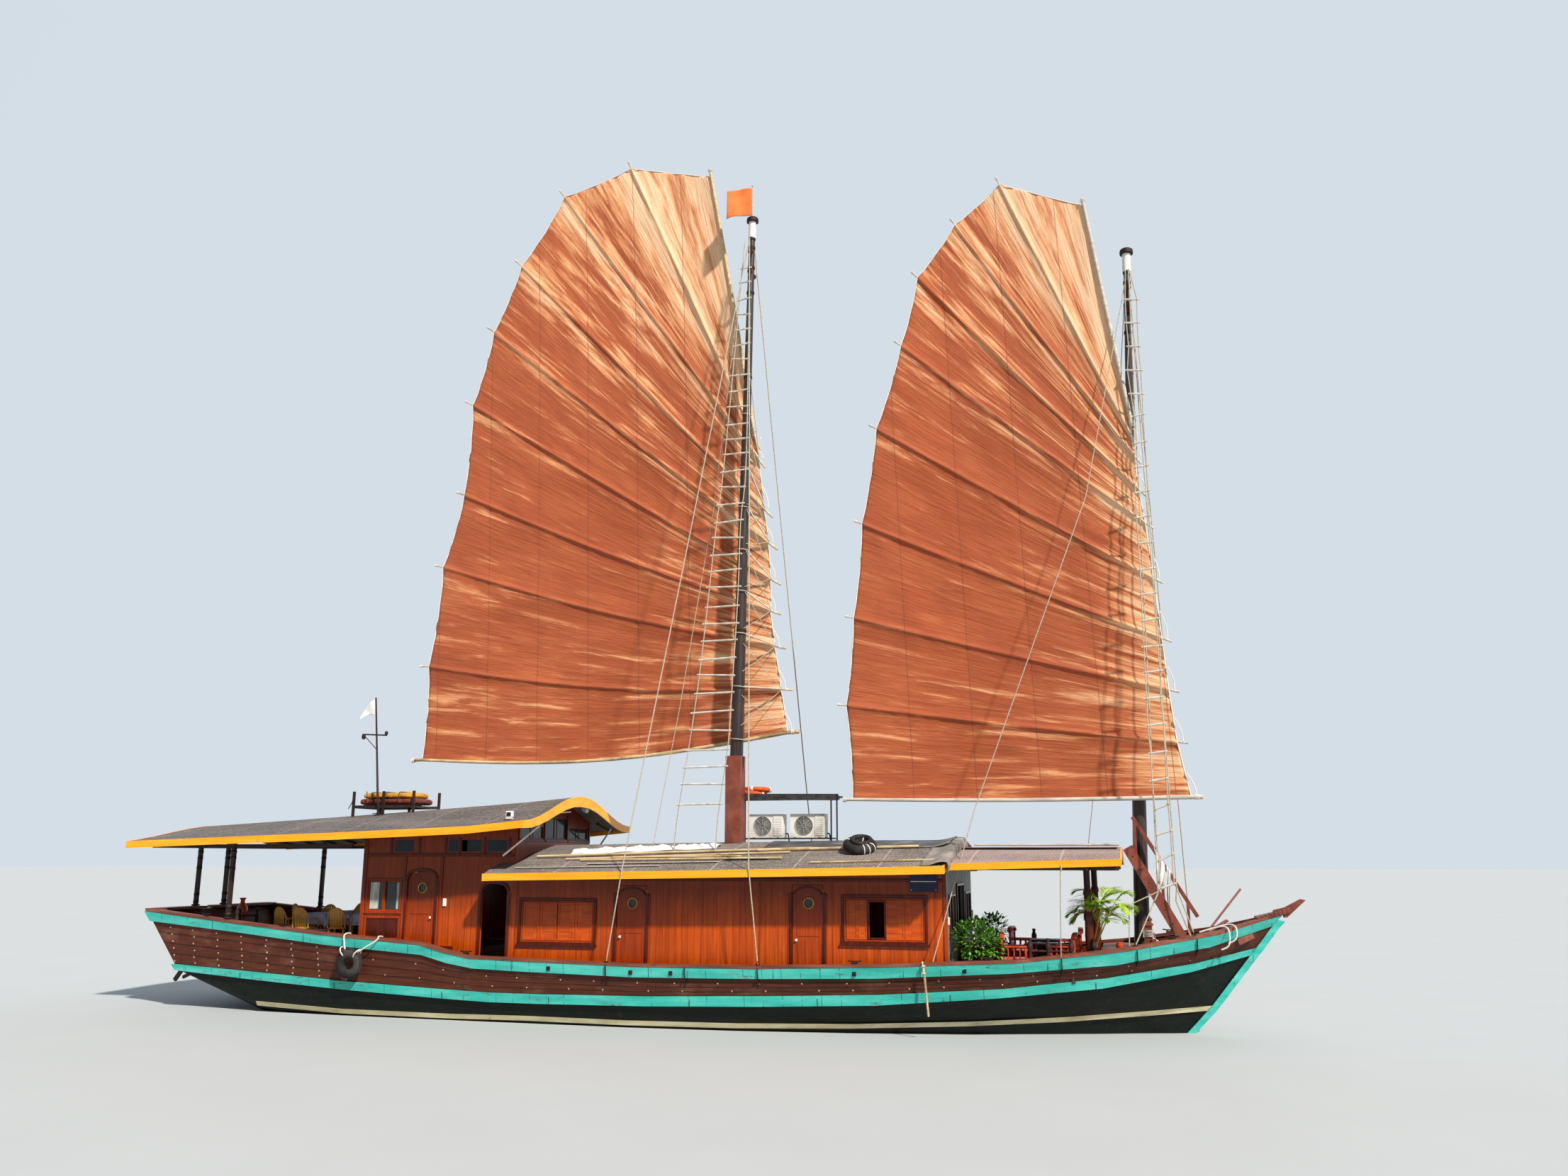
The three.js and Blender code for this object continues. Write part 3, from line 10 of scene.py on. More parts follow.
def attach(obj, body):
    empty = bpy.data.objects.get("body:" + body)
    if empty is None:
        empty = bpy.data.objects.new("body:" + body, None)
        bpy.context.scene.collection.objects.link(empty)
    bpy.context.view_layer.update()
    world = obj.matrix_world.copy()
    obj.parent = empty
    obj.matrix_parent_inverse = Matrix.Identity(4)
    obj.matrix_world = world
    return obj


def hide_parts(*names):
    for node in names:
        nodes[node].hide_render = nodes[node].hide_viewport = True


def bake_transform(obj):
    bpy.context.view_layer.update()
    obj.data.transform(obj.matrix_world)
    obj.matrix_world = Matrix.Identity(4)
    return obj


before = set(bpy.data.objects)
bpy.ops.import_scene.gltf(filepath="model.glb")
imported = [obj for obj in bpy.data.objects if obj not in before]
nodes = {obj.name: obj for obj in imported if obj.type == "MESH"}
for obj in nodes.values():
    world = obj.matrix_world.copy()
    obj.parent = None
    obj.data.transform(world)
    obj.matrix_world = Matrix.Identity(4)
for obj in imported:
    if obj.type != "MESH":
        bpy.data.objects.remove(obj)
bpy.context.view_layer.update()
SHIP = "ship"
rnd = random.Random(7)


def lerp(a, b, t):
    return a + (b - a) * t


def along(xs, ys, x):
    if x <= xs[0]:
        return ys[0]
    for i in range(1, len(xs)):
        if x <= xs[i]:
            return lerp(ys[i - 1], ys[i], (x - xs[i - 1]) / (xs[i] - xs[i - 1]))
    return ys[-1]


def smooth(a, b, x):
    t = min(max((x - a) / (b - a), 0.0), 1.0)
    return t * t * (3 - 2 * t)


def srgb(r, g, b):
    def f(c):
        c = c / 255.0
        return c / 12.92 if c <= 0.04045 else ((c + 0.055) / 1.055) ** 2.4
    return (f(r), f(g), f(b), 1.0)


# ------------------------------------------------------------------ mesh building
class Shape:
    """Collects faces, then makes one object of them."""

    def __init__(self):
        self.v, self.f, self.uv = [], [], []

    def add(self, verts, faces):
        o = len(self.v)
        self.v += [tuple(p) for p in verts]
        self.f += [tuple(i + o for i in f) for f in faces]

    def box(self, x0, x1, y0, y1, z0, z1, ch=0.004):
        """A box with chamfered edges."""
        if x0 > x1: x0, x1 = x1, x0
        if y0 > y1: y0, y1 = y1, y0
        if z0 > z1: z0, z1 = z1, z0
        ch = min(ch, (x1 - x0) * 0.3, (y1 - y0) * 0.3, (z1 - z0) * 0.3)
        self.hexa(Matrix.Translation(((x0 + x1) / 2, (y0 + y1) / 2, (z0 + z1) / 2)), (x1 - x0) / 2, (y1 - y0) / 2, (z1 - z0) / 2, ch)

    def hexa(self, m, a, b, c, ch):
        co, idx = [], {}
        for sx in (-1, 1):
            for sy in (-1, 1):
                for sz in (-1, 1):
                    for k in range(3):
                        p = [sx * a, sy * b, sz * c]
                        for j in range(3):
                            if j != k:
                                p[j] -= (sx, sy, sz)[j] * ch
                        idx[(sx, sy, sz, k)] = len(co)
                        co.append(m @ Vector(p))
        faces = []
        for k in range(3):
            i, j = [q for q in range(3) if q != k]
            for s in (-1, 1):
                ring = []
                for si, sj in ((-1, -1), (1, -1), (1, 1), (-1, 1)):
                    q = [0, 0, 0]
                    q[k], q[i], q[j] = s, si, sj
                    ring.append(idx[(q[0], q[1], q[2], k)])
                faces.append(ring)
        for k in range(3):
            i, j = [q for q in range(3) if q != k]
            for si in (-1, 1):
                for sj in (-1, 1):
                    ring = []
                    for s, face in ((-1, i), (1, i), (1, j), (-1, j)):
                        q = [0, 0, 0]
                        q[k], q[i], q[j] = s, si, sj
                        ring.append(idx[(q[0], q[1], q[2], face)])
                    faces.append(ring)
        for sx in (-1, 1):
            for sy in (-1, 1):
                for sz in (-1, 1):
                    faces.append([idx[(sx, sy, sz, k)] for k in range(3)])
        centre = m @ Vector((0, 0, 0))
        out = []
        for f in faces:
            p = [co[i] for i in f]
            n = (p[1] - p[0]).cross(p[2] - p[0])
            mid = sum(p, Vector()) / len(p)
            out.append(f if n.dot(mid - centre) > 0 else f[::-1])
        self.add(co, out)

    def beam(self, p, q, wide, deep, ch=0.004, up=(0, 0, 1)):
        p, q = Vector(p), Vector(q)
        d = q - p
        x = d.normalized()
        y = Vector(up).cross(x)
        if y.length < 1e-6:
            y = Vector((0, 1, 0))
        y.normalize()
        z = x.cross(y)
        m = Matrix((x, y, z)).transposed().to_4x4()
        m.translation = (p + q) / 2
        self.hexa(m, d.length / 2, wide / 2, deep / 2, min(ch, wide * 0.3, deep * 0.3))

    def tube(self, pts, r, sides=8, closed=False):
        """A round tube through the points, r one radius or one for each point."""
        pts = [Vector(p) for p in pts]
        n = len(pts)
        rr = r if hasattr(r, "__len__") else [r] * n
        t = []
        for i in range(n):
            a = pts[(i - 1) % n] if closed or i else pts[0]
            b = pts[(i + 1) % n] if closed or i < n - 1 else pts[-1]
            t.append((b - a).normalized())
        u = t[0].cross(Vector((0, 0, 1)))
        if u.length < 0.1:
            u = t[0].cross(Vector((0, 1, 0)))
        u.normalize()
        co = []
        for i in range(n):
            if i:
                u = u - t[i] * u.dot(t[i])
                if u.length < 1e-6:
                    u = t[i].orthogonal()
                u.normalize()
            w = t[i].cross(u)
            for j in range(sides):
                a = 2 * math.pi * j / sides
                co.append(pts[i] + (u * math.cos(a) + w * math.sin(a)) * rr[i])
        faces = []
        last = n if closed else n - 1
        for i in range(last):
            k = (i + 1) % n
            for j in range(sides):
                j2 = (j + 1) % sides
                faces.append((i * sides + j, i * sides + j2, k * sides + j2, k * sides + j))
        if not closed:
            faces.append(tuple(range(sides))[::-1])
            faces.append(tuple((n - 1) * sides + j for j in range(sides)))
        self.add(co, faces)

    def lathe(self, profile, origin, axis=(0, 0, 1), sides=24, start=None):
        """Profile of (radius, height) turned about the axis; a radius of 0 closes it."""
        o, a = Vector(origin), Vector(axis).normalized()
        u = a.orthogonal().normalized() if start is None else Vector(start).normalized()
        w = a.cross(u)
        co, rows = [], []
        for r, h in profile:
            if r < 1e-7:
                rows.append([len(co)])
                co.append(o + a * h)
            else:
                rows.append(list(range(len(co), len(co) + sides)))
                for j in range(sides):
                    g = 2 * math.pi * j / sides
                    co.append(o + a * h + (u * math.cos(g) + w * math.sin(g)) * r)
        faces = []
        for A, B in zip(rows, rows[1:]):
            for j in range(sides):
                k = (j + 1) % sides
                if len(A) == 1 and len(B) == 1:
                    continue
                if len(A) == 1:
                    faces.append((A[0], B[k], B[j]))
                elif len(B) == 1:
                    faces.append((A[j], A[k], B[0]))
                else:
                    faces.append((A[j], A[k], B[k], B[j]))
        if len(rows[0]) > 1:
            faces.append(tuple(rows[0])[::-1])
        if len(rows[-1]) > 1:
            faces.append(tuple(rows[-1]))
        self.add(co, faces)

    def ball(self, c, r, flat=1.0, axis=(0, 0, 1), sides=10, rings=6):
        prof = [(0, -r * flat)] + [(r * math.sin(math.pi * i / rings), -r * flat * math.cos(math.pi * i / rings)) for i in range(1, rings)] + [(0, r * flat)]
        self.lathe(prof, c, axis, sides)

    def torus(self, c, axis, R, r, sides=24, tube=10, start=None):
        o, a = Vector(c), Vector(axis).normalized()
        u = a.orthogonal().normalized()
        w = a.cross(u)
        pts = [o + (u * math.cos(2 * math.pi * j / sides) + w * math.sin(2 * math.pi * j / sides)) * R for j in range(sides)]
        self.tube(pts, r, tube, closed=True)

    def make(self, name, mat, body=SHIP, slot=None, shade=35, rep=()):
        me = bpy.data.meshes.new(name)
        me.from_pydata(self.v, [], self.f)
        me.validate()
        ob = bpy.data.objects.new(name, me)
        bpy.context.scene.collection.objects.link(ob)
        bm = bmesh.new()
        bm.from_mesh(me)
        bmesh.ops.remove_doubles(bm, verts=bm.verts, dist=1e-6)
        bmesh.ops.recalc_face_normals(bm, faces=bm.faces)
        bm.to_mesh(me)
        bm.free()
        me.materials.append(mat)
        set_shade(me, shade)
        if rep:
            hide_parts(*rep)
        if body:
            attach(ob, body)
        return ob


def set_shade(me, angle):
    if not angle:
        return
    for p in me.polygons:
        p.use_smooth = True
    me.set_sharp_from_angle(angle=math.radians(angle))


# ------------------------------------------------------------------ materials
class Mat:
    """A small helper for node materials."""

    def __init__(self, name):
        self.m = bpy.data.materials.new(name)
        self.m.use_nodes = True
        self.t = self.m.node_tree
        self.t.nodes.clear()
        self.out = self.t.nodes.new("ShaderNodeOutputMaterial")
        self.b = self.t.nodes.new("ShaderNodeBsdfPrincipled")
        self.t.links.new(self.b.outputs[0], self.out.inputs[0])
        self._obj = None

    def n(self, kind, **kw):
        node = self.t.nodes.new("ShaderNode" + kind)
        for k, v in kw.items():
            setattr(node, k, v)
        return node

    def put(self, sock, val):
        if val is None:
            return
        if isinstance(val, bpy.types.NodeSocket):
            self.t.links.new(val, sock)
        else:
            sock.default_value = val

    @property
    def obj(self):
        if self._obj is None:
            self._obj = self.n("TexCoord").outputs["Object"]
        return self._obj

    def uv(self, name="UVMap"):
        node = self.n("UVMap")
        node.uv_map = name
        return node.outputs[0]

    def map(self, vec, scale=(1, 1, 1), rot=(0, 0, 0), loc=(0, 0, 0)):
        node = self.n("Mapping")
        self.put(node.inputs["Vector"], vec)
        node.inputs["Scale"].default_value = scale
        node.inputs["Rotation"].default_value = rot
        node.inputs["Location"].default_value = loc
        return node.outputs[0]

    def noise(self, vec, scale=5, detail=4, rough=0.55, dist=0.0):
        node = self.n("TexNoise")
        self.put(node.inputs["Vector"], vec)
        node.inputs["Scale"].default_value = scale
        node.inputs["Detail"].default_value = detail
        node.inputs["Roughness"].default_value = rough
        node.inputs["Distortion"].default_value = dist
        return node.outputs["Fac"]

    def white(self, w):
        node = self.n("TexWhiteNoise", noise_dimensions="1D")
        self.put(node.inputs["W"], w)
        return node.outputs["Value"]

    def math(self, op, a, b=0.5, c=None, clamp=False):
        node = self.n("Math", operation=op, use_clamp=clamp)
        self.put(node.inputs[0], a)
        self.put(node.inputs[1], b)
        if c is not None:
            self.put(node.inputs[2], c)
        return node.outputs[0]

    def xyz(self, vec):
        node = self.n("SeparateXYZ")
        self.put(node.inputs[0], vec)
        return node.outputs

    def ramp(self, fac, stops, kind="LINEAR"):
        node = self.n("ValToRGB")
        self.put(node.inputs[0], fac)
        cr = node.color_ramp
        cr.interpolation = kind
        while len(cr.elements) < len(stops):
            cr.elements.new(0.5)
        for e, (p, c) in zip(cr.elements, stops):
            e.position = p
            e.color = c if hasattr(c, "__len__") else (c, c, c, 1)
        return node.outputs[0]

    def mix(self, fac, a, b, kind="MIX"):
        node = self.n("Mix", data_type="RGBA", blend_type=kind)
        self.put(node.inputs[0], fac)
        self.put(node.inputs[6], a)
        self.put(node.inputs[7], b)
        return node.outputs[2]

    def curve(self, fac, pts):
        node = self.n("FloatCurve")
        self.put(node.inputs["Value"], fac)
        c = node.mapping.curves[0]
        pts = sorted(pts)
        while len(c.points) < len(pts):
            c.points.new(0.5, 0.5)
        for p, (x, y) in zip(c.points, pts):
            p.location = (x, y)
            p.handle_type = "VECTOR"
        node.mapping.use_clip = False
        node.mapping.update()
        return node.outputs[0]

    def bump(self, height, strength=0.4, dist=0.01, normal=None):
        node = self.n("Bump")
        node.inputs["Strength"].default_value = strength
        node.inputs["Distance"].default_value = dist
        self.put(node.inputs["Height"], height)
        if normal is not None:
            self.put(node.inputs["Normal"], normal)
        return node.outputs[0]

    def set(self, color=None, rough=None, normal=None, metal=None, **kw):
        self.put(self.b.inputs["Base Color"], color)
        self.put(self.b.inputs["Roughness"], rough)
        self.put(self.b.inputs["Normal"], normal)
        self.put(self.b.inputs["Metallic"], metal)
        for k, v in kw.items():
            self.put(self.b.inputs[k.replace("_", " ")], v)
        return self.m


def simple(name, c1, c2, scale=6.0, rough=(0.5, 0.7), bump=0.2, dist=0.003, metal=0.0, stretch=(1, 1, 1), detail=5, dirt=None, coat=0.0, spec=0.35):
    """Two tones broken up by noise, with matching roughness and a fine bump."""
    k = Mat(name)
    v = k.map(k.obj, stretch)
    f = k.noise(v, scale, detail)
    col = k.mix(k.ramp(f, [(0.3, 0.0), (0.7, 1.0)]), c1, c2)
    if dirt:
        g = k.noise(k.obj, 1.3, 6, 0.65)
        col = k.mix(k.ramp(g, [(0.52, 0.0), (0.70, 1.0)]), col, dirt)
    r = k.ramp(f, [(0.2, rough[0]), (0.8, rough[1])])
    nb = k.bump(k.noise(v, scale * 6, 3), bump, dist)
    k.set(col, r, nb)
    k.b.inputs["Metallic"].default_value = metal
    k.b.inputs["Specular IOR Level"].default_value = 0.5 if metal else spec
    if coat:
        k.b.inputs["Coat Weight"].default_value = coat
        k.b.inputs["Coat Roughness"].default_value = 0.15
    return k.m


# ------------------------------------------------------------------ hull lines, repeated from the frame
STATIONS = [
    (0.000, 2.250, 2.33, 2.03, 1.02, 0.88, 0.85, 0.82, 0.78, 0.74, 0.72),
    (0.100, 2.460, 2.09, 1.82, 0.91, 0.73, 0.24, 0.14, -0.02, -0.12, -0.15),
    (0.200, 2.590, 1.86, 1.58, 0.78, 0.59, 0.15, 0.05, -0.25, -0.50, -0.58),
    (0.300, 2.660, 1.69, 1.41, 0.68, 0.48, 0.14, 0.04, -0.42, -0.75, -0.88),
    (0.325, 2.675, 1.53, 1.25, 0.66, 0.46, 0.14, 0.04, -0.45, -0.78, -0.92),
    (0.350, 2.690, 1.42, 1.15, 0.64, 0.44, 0.15, 0.05, -0.47, -0.80, -0.94),
    (0.400, 2.700, 1.39, 1.11, 0.64, 0.44, 0.16, 0.06, -0.50, -0.85, -0.98),
    (0.500, 2.720, 1.34, 1.06, 0.67, 0.47, 0.15, 0.05, -0.52, -0.88, -1.02),
    (0.600, 2.690, 1.36, 1.09, 0.74, 0.53, 0.16, 0.06, -0.52, -0.88, -1.02),
    (0.700, 2.560, 1.44, 1.15, 0.82, 0.61, 0.20, 0.10, -0.50, -0.87, -1.02),
    (0.800, 2.240, 1.55, 1.28, 0.97, 0.79, 0.28, 0.18, -0.42, -0.82, -1.00),
    (0.880, 1.680, 1.78, 1.45, 1.18, 0.98, 0.37, 0.27, -0.32, -0.74, -0.97),
    (0.950, 0.900, 2.10, 1.78, 1.45, 1.28, 0.48, 0.38, -0.20, -0.62, -0.92),
    (1.000, 0.060, 2.46, 2.17, 1.73, 1.58, 0.56, 0.46, -0.10, -0.50, -0.85),
]
LEVELS = {
    "cap": (2, -13.452, 13.15, 1.000, 1.000, 1.000),
    "sheer": (3, -13.27, 12.92, 0.993, 0.987, 0.960),
    "rubTop": (4, -12.49, 12.57, 0.985, 0.965, 0.890),
    "rubBot": (5, -12.38, 12.45, 0.980, 0.955, 0.860),
    "wlTop": (6, -12.36, 11.63, 0.945, 0.915, 0.660),
    "wlBot": (7, -12.34, 11.53, 0.920, 0.900, 0.620),
}
TS = [s[0] for s in STATIONS]


def hull_point(t, level):
    """A point of the port planking on a level line, t from the transom (0) to the stem (1)."""
    col, xa, xf, fa, fm, fb = LEVELS[level]
    i = max(k for k in range(len(TS) - 1) if TS[k] <= t + 1e-9)
    u = (t - TS[i]) / (TS[i + 1] - TS[i])

    def at(s):
        tt = s[0]
        f = lerp(fa, fm, tt / 0.3) if tt < 0.3 else fm if tt < 0.55 else lerp(fm, fb, (tt - 0.55) / 0.4) if tt < 0.95 else fb
        y = 0.06 if tt == 1 else max(s[1] * f, 0.06)
        return Vector((lerp(xa, xf, tt), y, s[col]))
    return at(STATIONS[i]).lerp(at(STATIONS[i + 1]), u)


def t_at(x, level):
    _, xa, xf = LEVELS[level][:3]
    return min(max((x - xa) / (xf - xa), 0.0), 1.0)


def hull_between(x, top, bottom, k):
    """Point of the port side at x, k of the way from one level line down to another, and its outward normal."""
    p, q = hull_point(t_at(x, top), top), hull_point(t_at(x, bottom), bottom)
    c = p.lerp(q, k)
    ahead = hull_point(t_at(x + 0.2, top), top).lerp(hull_point(t_at(x + 0.2, bottom), bottom), k)
    behind = hull_point(t_at(x - 0.2, top), top).lerp(hull_point(t_at(x - 0.2, bottom), bottom), k)
    n = (q - p).cross(ahead - behind)
    if n.y < 0:
        n = -n
    return c, n.normalized()


def cap_z(x):
    return hull_point(t_at(x, "cap"), "cap").z


def half_at(x):
    return hull_point(t_at(x, "cap"), "cap").y


def out_of(p, side):
    return Vector((p[0], p[1] * side, p[2]))


# ------------------------------------------------------------------ roofs, repeated from the frame
AFT_STATIONS = [(-13.55, 3.95, 4.40, 0.35), (-11.00, 4.03, 4.53, 0.35), (-8.20, 4.11, 4.68, 0.40), (-5.50, 4.20, 4.84, 0.55), (-4.20, 4.25, 4.92, 0.80), (-2.85, 4.37, 5.03, 1.00)]
MAIN_STATIONS = [(-3.93, 3.20, 3.85, 0), (-3.50, 3.21, 3.86, 0), (1.30, 3.29, 3.92, 0), (6.50, 3.39, 3.93, 0)]
CANOPY_STATIONS = [(6.56, 3.44, 3.79, 0), (9.98, 3.53, 3.78, 0)]
ACROSS = [-1, -0.86, -0.72, -0.58, -0.44, -0.30, -0.15, 0, 0.15, 0.30, 0.44, 0.58, 0.72, 0.86, 1]
ACROSS_PLAIN = [-1, -0.728, -0.4, 0, 0.4, 0.728, 1]
ROOFS = {"aft": (AFT_STATIONS, ACROSS, 3.0), "main": (MAIN_STATIONS, ACROSS_PLAIN, 2.72), "canopy": (CANOPY_STATIONS, ACROSS_PLAIN, 2.38)}


def section(st, u):
    a = abs(u)
    f = st[3] * 0.5 * (1 + math.cos(math.pi * a)) + (1 - st[3]) * (1 - a ** 1.35)
    return lerp(st[1], st[2], f)


def roof_z(which, x, y):
    table, across, half = ROOFS[which]
    xs = [r[0] for r in table]
    i = next((k for k in range(1, len(xs)) if x <= xs[k]), len(xs) - 1)
    k = min(max((x - xs[i - 1]) / (xs[i] - xs[i - 1]), 0), 1)

    def h(st):
        return along([u * half for u in across], [section(st, u) for u in across], y)
    return lerp(h(table[i - 1]), h(table[i]), k)


# ------------------------------------------------------------------ camera, light and floor
cam_data = bpy.data.cameras.new("camera")
cam = bpy.data.objects.new("camera", cam_data)
bpy.context.scene.collection.objects.link(cam)
cam_data.sensor_width = 36.0
cam_data.lens = 27.99
cam_data.clip_end = 2000.0
cam.location = (10.35, -28.06, 3.57)
cam.rotation_euler = (math.radians(90 + 12.45), 0.0, math.radians(15.87))
bpy.context.scene.camera = cam

sun_data = bpy.data.lights.new("sun", "SUN")
sun_data.energy = 5.2
sun_data.angle = math.radians(2.5)
sun_data.color = (1.0, 0.95, 0.87)
sun = bpy.data.objects.new("sun", sun_data)
bpy.context.scene.collection.objects.link(sun)
sun.rotation_euler = Vector((-0.546, 0.489, -0.680)).to_track_quat("-Z", "Y").to_euler()

world = bpy.data.worlds.new("world")
bpy.context.scene.world = world
world.use_nodes = True
wt = world.node_tree
bg = wt.nodes["Background"]
# a pale backdrop on the port side, softer light from starboard and from overhead
wdir = wt.nodes.new("ShaderNodeTexCoord")
wsep = wt.nodes.new("ShaderNodeSeparateXYZ")
wt.links.new(wdir.outputs["Generated"], wsep.inputs[0])
wmap = wt.nodes.new("ShaderNodeMapRange")
wt.links.new(wsep.outputs[1], wmap.inputs[0])
wmap.inputs[1].default_value, wmap.inputs[2].default_value = -0.42, 0.60
wmap.inputs[3].default_value, wmap.inputs[4].default_value = 0.0, 1.0
wramp = wt.nodes.new("ShaderNodeValToRGB")
wt.links.new(wmap.outputs[0], wramp.inputs[0])
wramp.color_ramp.interpolation = "EASE"
wramp.color_ramp.elements[0].color = (0.23, 0.26, 0.30, 1)
wramp.color_ramp.elements[1].color = (0.66, 0.73, 0.80, 1)
wt.links.new(wramp.outputs[0], bg.inputs[0])
bg.inputs[1].default_value = 1.0
bpy.context.scene.view_settings.view_transform = "Standard"
bpy.context.scene.view_settings.look = "None"

fm = bpy.data.meshes.new("floor")
fm.from_pydata([(-400, -400, 0), (400, -400, 0), (400, 400, 0), (-400, 400, 0)], [], [(0, 1, 2, 3)])
floor = bpy.data.objects.new("floor", fm)
bpy.context.scene.collection.objects.link(floor)
kf = Mat("floor")
floor_mat = kf.set(kf.mix(kf.noise(kf.obj, 0.4, 2), (0.44, 0.46, 0.47, 1), (0.47, 0.49, 0.50, 1)), 0.85)
fm.materials.append(floor_mat)


# ------------------------------------------------------------------ the materials
def level_curve(k, x, level, dz=0.0):
    """Height of a level line at x, as a node value."""
    col, xa, xf = LEVELS[level][:3]
    pts = [((lerp(xa, xf, s[0]) + 14) / 28, (s[col] + dz) / 3) for s in STATIONS]
    u = k.math("MULTIPLY", k.math("ADD", x, 14.0), 1 / 28)
    return k.math("MULTIPLY", k.curve(u, pts), 3.0)


def make_hull():
    k = Mat("hull_planks")
    x, y, z = k.xyz(k.obj)
    sheer, rub = level_curve(k, x, "sheer"), level_curve(k, x, "rubTop")
    v = k.math("DIVIDE", k.math("SUBTRACT", z, rub), k.math("SUBTRACT", sheer, rub))
    strake = k.math("MULTIPLY", v, 4.0)
    row = k.math("FLOOR", strake)
    f = k.math("FRACT", strake)
    # butt joints: each strake is cut into planks of its own length
    start = k.math("MULTIPLY", k.white(row), 5.0)
    along_x = k.math("DIVIDE", k.math("ADD", x, start), 4.7)
    butt = k.math("FRACT", along_x)
    plank = k.white(k.math("ADD", k.math("MULTIPLY", row, 13.7), k.math("FLOOR", along_x)))
    seam = k.math("MAXIMUM", k.math("LESS_THAN", f, 0.055), k.math("LESS_THAN", butt, 0.0025))
    grain = k.noise(k.map(k.obj, (0.5, 9, 9)), 3.0, 6, 0.65)
    blot = k.noise(k.map(k.obj, (1, 2.5, 2.5)), 1.1, 5, 0.6)
    base = k.ramp(grain, [(0.25, srgb(66, 30, 20)), (0.55, srgb(92, 44, 28)), (0.8, srgb(120, 66, 44))])
    base = k.mix(k.math("MULTIPLY", plank, 0.35), base, srgb(60, 30, 24))
    base = k.mix(k.ramp(blot, [(0.55, 0.0), (0.75, 0.5)]), base, srgb(140, 96, 78))
    # stains that run down the side
    run = k.noise(k.map(k.obj, (5.5, 5.5, 0.35)), 1.6, 5, 0.7)
    base = k.mix(k.ramp(run, [(0.60, 0.0), (0.78, 0.55)]), base, srgb(48, 26, 22))
    base = k.mix(k.math("MULTIPLY", seam, 0.8), base, srgb(26, 14, 12))
    # bottom paint below the rubbing strake
    low_n = k.noise(k.map(k.obj, (0.8, 3, 3)), 2.2, 6, 0.65)
    low = k.ramp(low_n, [(0.3, srgb(6, 12, 9)), (0.6, srgb(13, 23, 17)), (0.85, srgb(34, 36, 26))])
    rust = k.noise(k.map(k.obj, (3.2, 3.2, 0.5)), 2.0, 6, 0.7)
    low = k.mix(k.ramp(rust, [(0.58, 0.0), (0.80, 0.75)]), low, srgb(62, 34, 20))
    edge = level_curve(k, x, "rubTop", -0.09)
    below = k.math("LESS_THAN", z, edge)
    inner = k.math("GREATER_THAN", z, k.math("ADD", sheer, 0.0))
    col = k.mix(below, base, low)
    # inside faces and decks: bare worn boards
    deck_n = k.noise(k.map(k.obj, (1.2, 8, 8)), 2.0, 6, 0.6)
    boards = k.math("FRACT", k.math("MULTIPLY", y, 7.0))
    deckc = k.ramp(deck_n, [(0.3, srgb(96, 66, 50)), (0.7, srgb(140, 104, 80))])
    deckc = k.mix(k.math("LESS_THAN", boards, 0.06), deckc, srgb(34, 22, 18))
    geo = k.n("NewGeometry")
    nz = k.xyz(geo.outputs["True Normal"])[2]
    up = k.math("MULTIPLY", k.math("GREATER_THAN", nz, 0.9), k.math("GREATER_THAN", z, 0.9))
    col = k.mix(up, col, deckc)
    h = k.math("SUBTRACT", k.math("MULTIPLY", grain, 0.5), k.math("MULTIPLY", seam, 1.0))
    r = k.ramp(grain, [(0.2, 0.42), (0.8, 0.68)])
    k.b.inputs["Specular IOR Level"].default_value = 0.22
    return k.set(col, r, k.bump(h, 0.6, 0.006))


def make_strake(name="strake_paint", wear_amount=0.61):
    """Turquoise paint, worn to the timber in patches, with plugs and plank butts."""
    k = Mat(name)
    x, y, z = k.xyz(k.obj)
    tone = k.noise(k.map(k.obj, (0.5, 1.5, 3)), 1.6, 5, 0.6)
    base = k.ramp(tone, [(0.25, srgb(40, 162, 150)), (0.5, srgb(64, 190, 176)), (0.8, srgb(108, 212, 198))])
    fine = k.noise(k.map(k.obj, (1.5, 5, 9)), 5.0, 7, 0.72)
    wear = k.noise(k.map(k.obj, (0.9, 2, 4)), 1.9, 7, 0.75)
    mask = k.math("MULTIPLY", k.ramp(wear, [(wear_amount - 0.03, 0.0), (wear_amount + 0.03, 1.0)]), k.ramp(fine, [(0.42, 0.0), (0.6, 1.0)]))
    wood = k.ramp(fine, [(0.3, srgb(58, 34, 24)), (0.7, srgb(120, 78, 50))])
    col = k.mix(mask, base, wood)
    # dirty streaks downward
    run = k.noise(k.map(k.obj, (7, 7, 0.5)), 1.7, 4, 0.7)
    col = k.mix(k.ramp(run, [(0.58, 0.0), (0.78, 0.45)]), col, srgb(60, 108, 92))
    # butts and plugs
    cell = k.math("DIVIDE", x, 0.41)
    c = k.math("FRACT", cell)
    near = k.math("LESS_THAN", k.math("ABSOLUTE", k.math("SUBTRACT", c, 0.5)), 0.016)
    pick = k.math("GREATER_THAN", k.white(k.math("FLOOR", cell)), 0.45)
    cut = k.noise(k.obj, 9.0, 2)
    mark = k.math("MULTIPLY", k.math("MULTIPLY", near, pick), k.math("GREATER_THAN", cut, 0.47))
    col = k.mix(k.math("MULTIPLY", mark, 0.75), col, srgb(30, 60, 52))
    h = k.math("ADD", k.math("MULTIPLY", fine, 0.4), k.math("MULTIPLY", mask, -1.0))
    k.b.inputs["Specular IOR Level"].default_value = 0.3
    return k.set(col, k.ramp(mask, [(0.0, 0.36), (1.0, 0.8)]), k.bump(h, 0.5, 0.003))


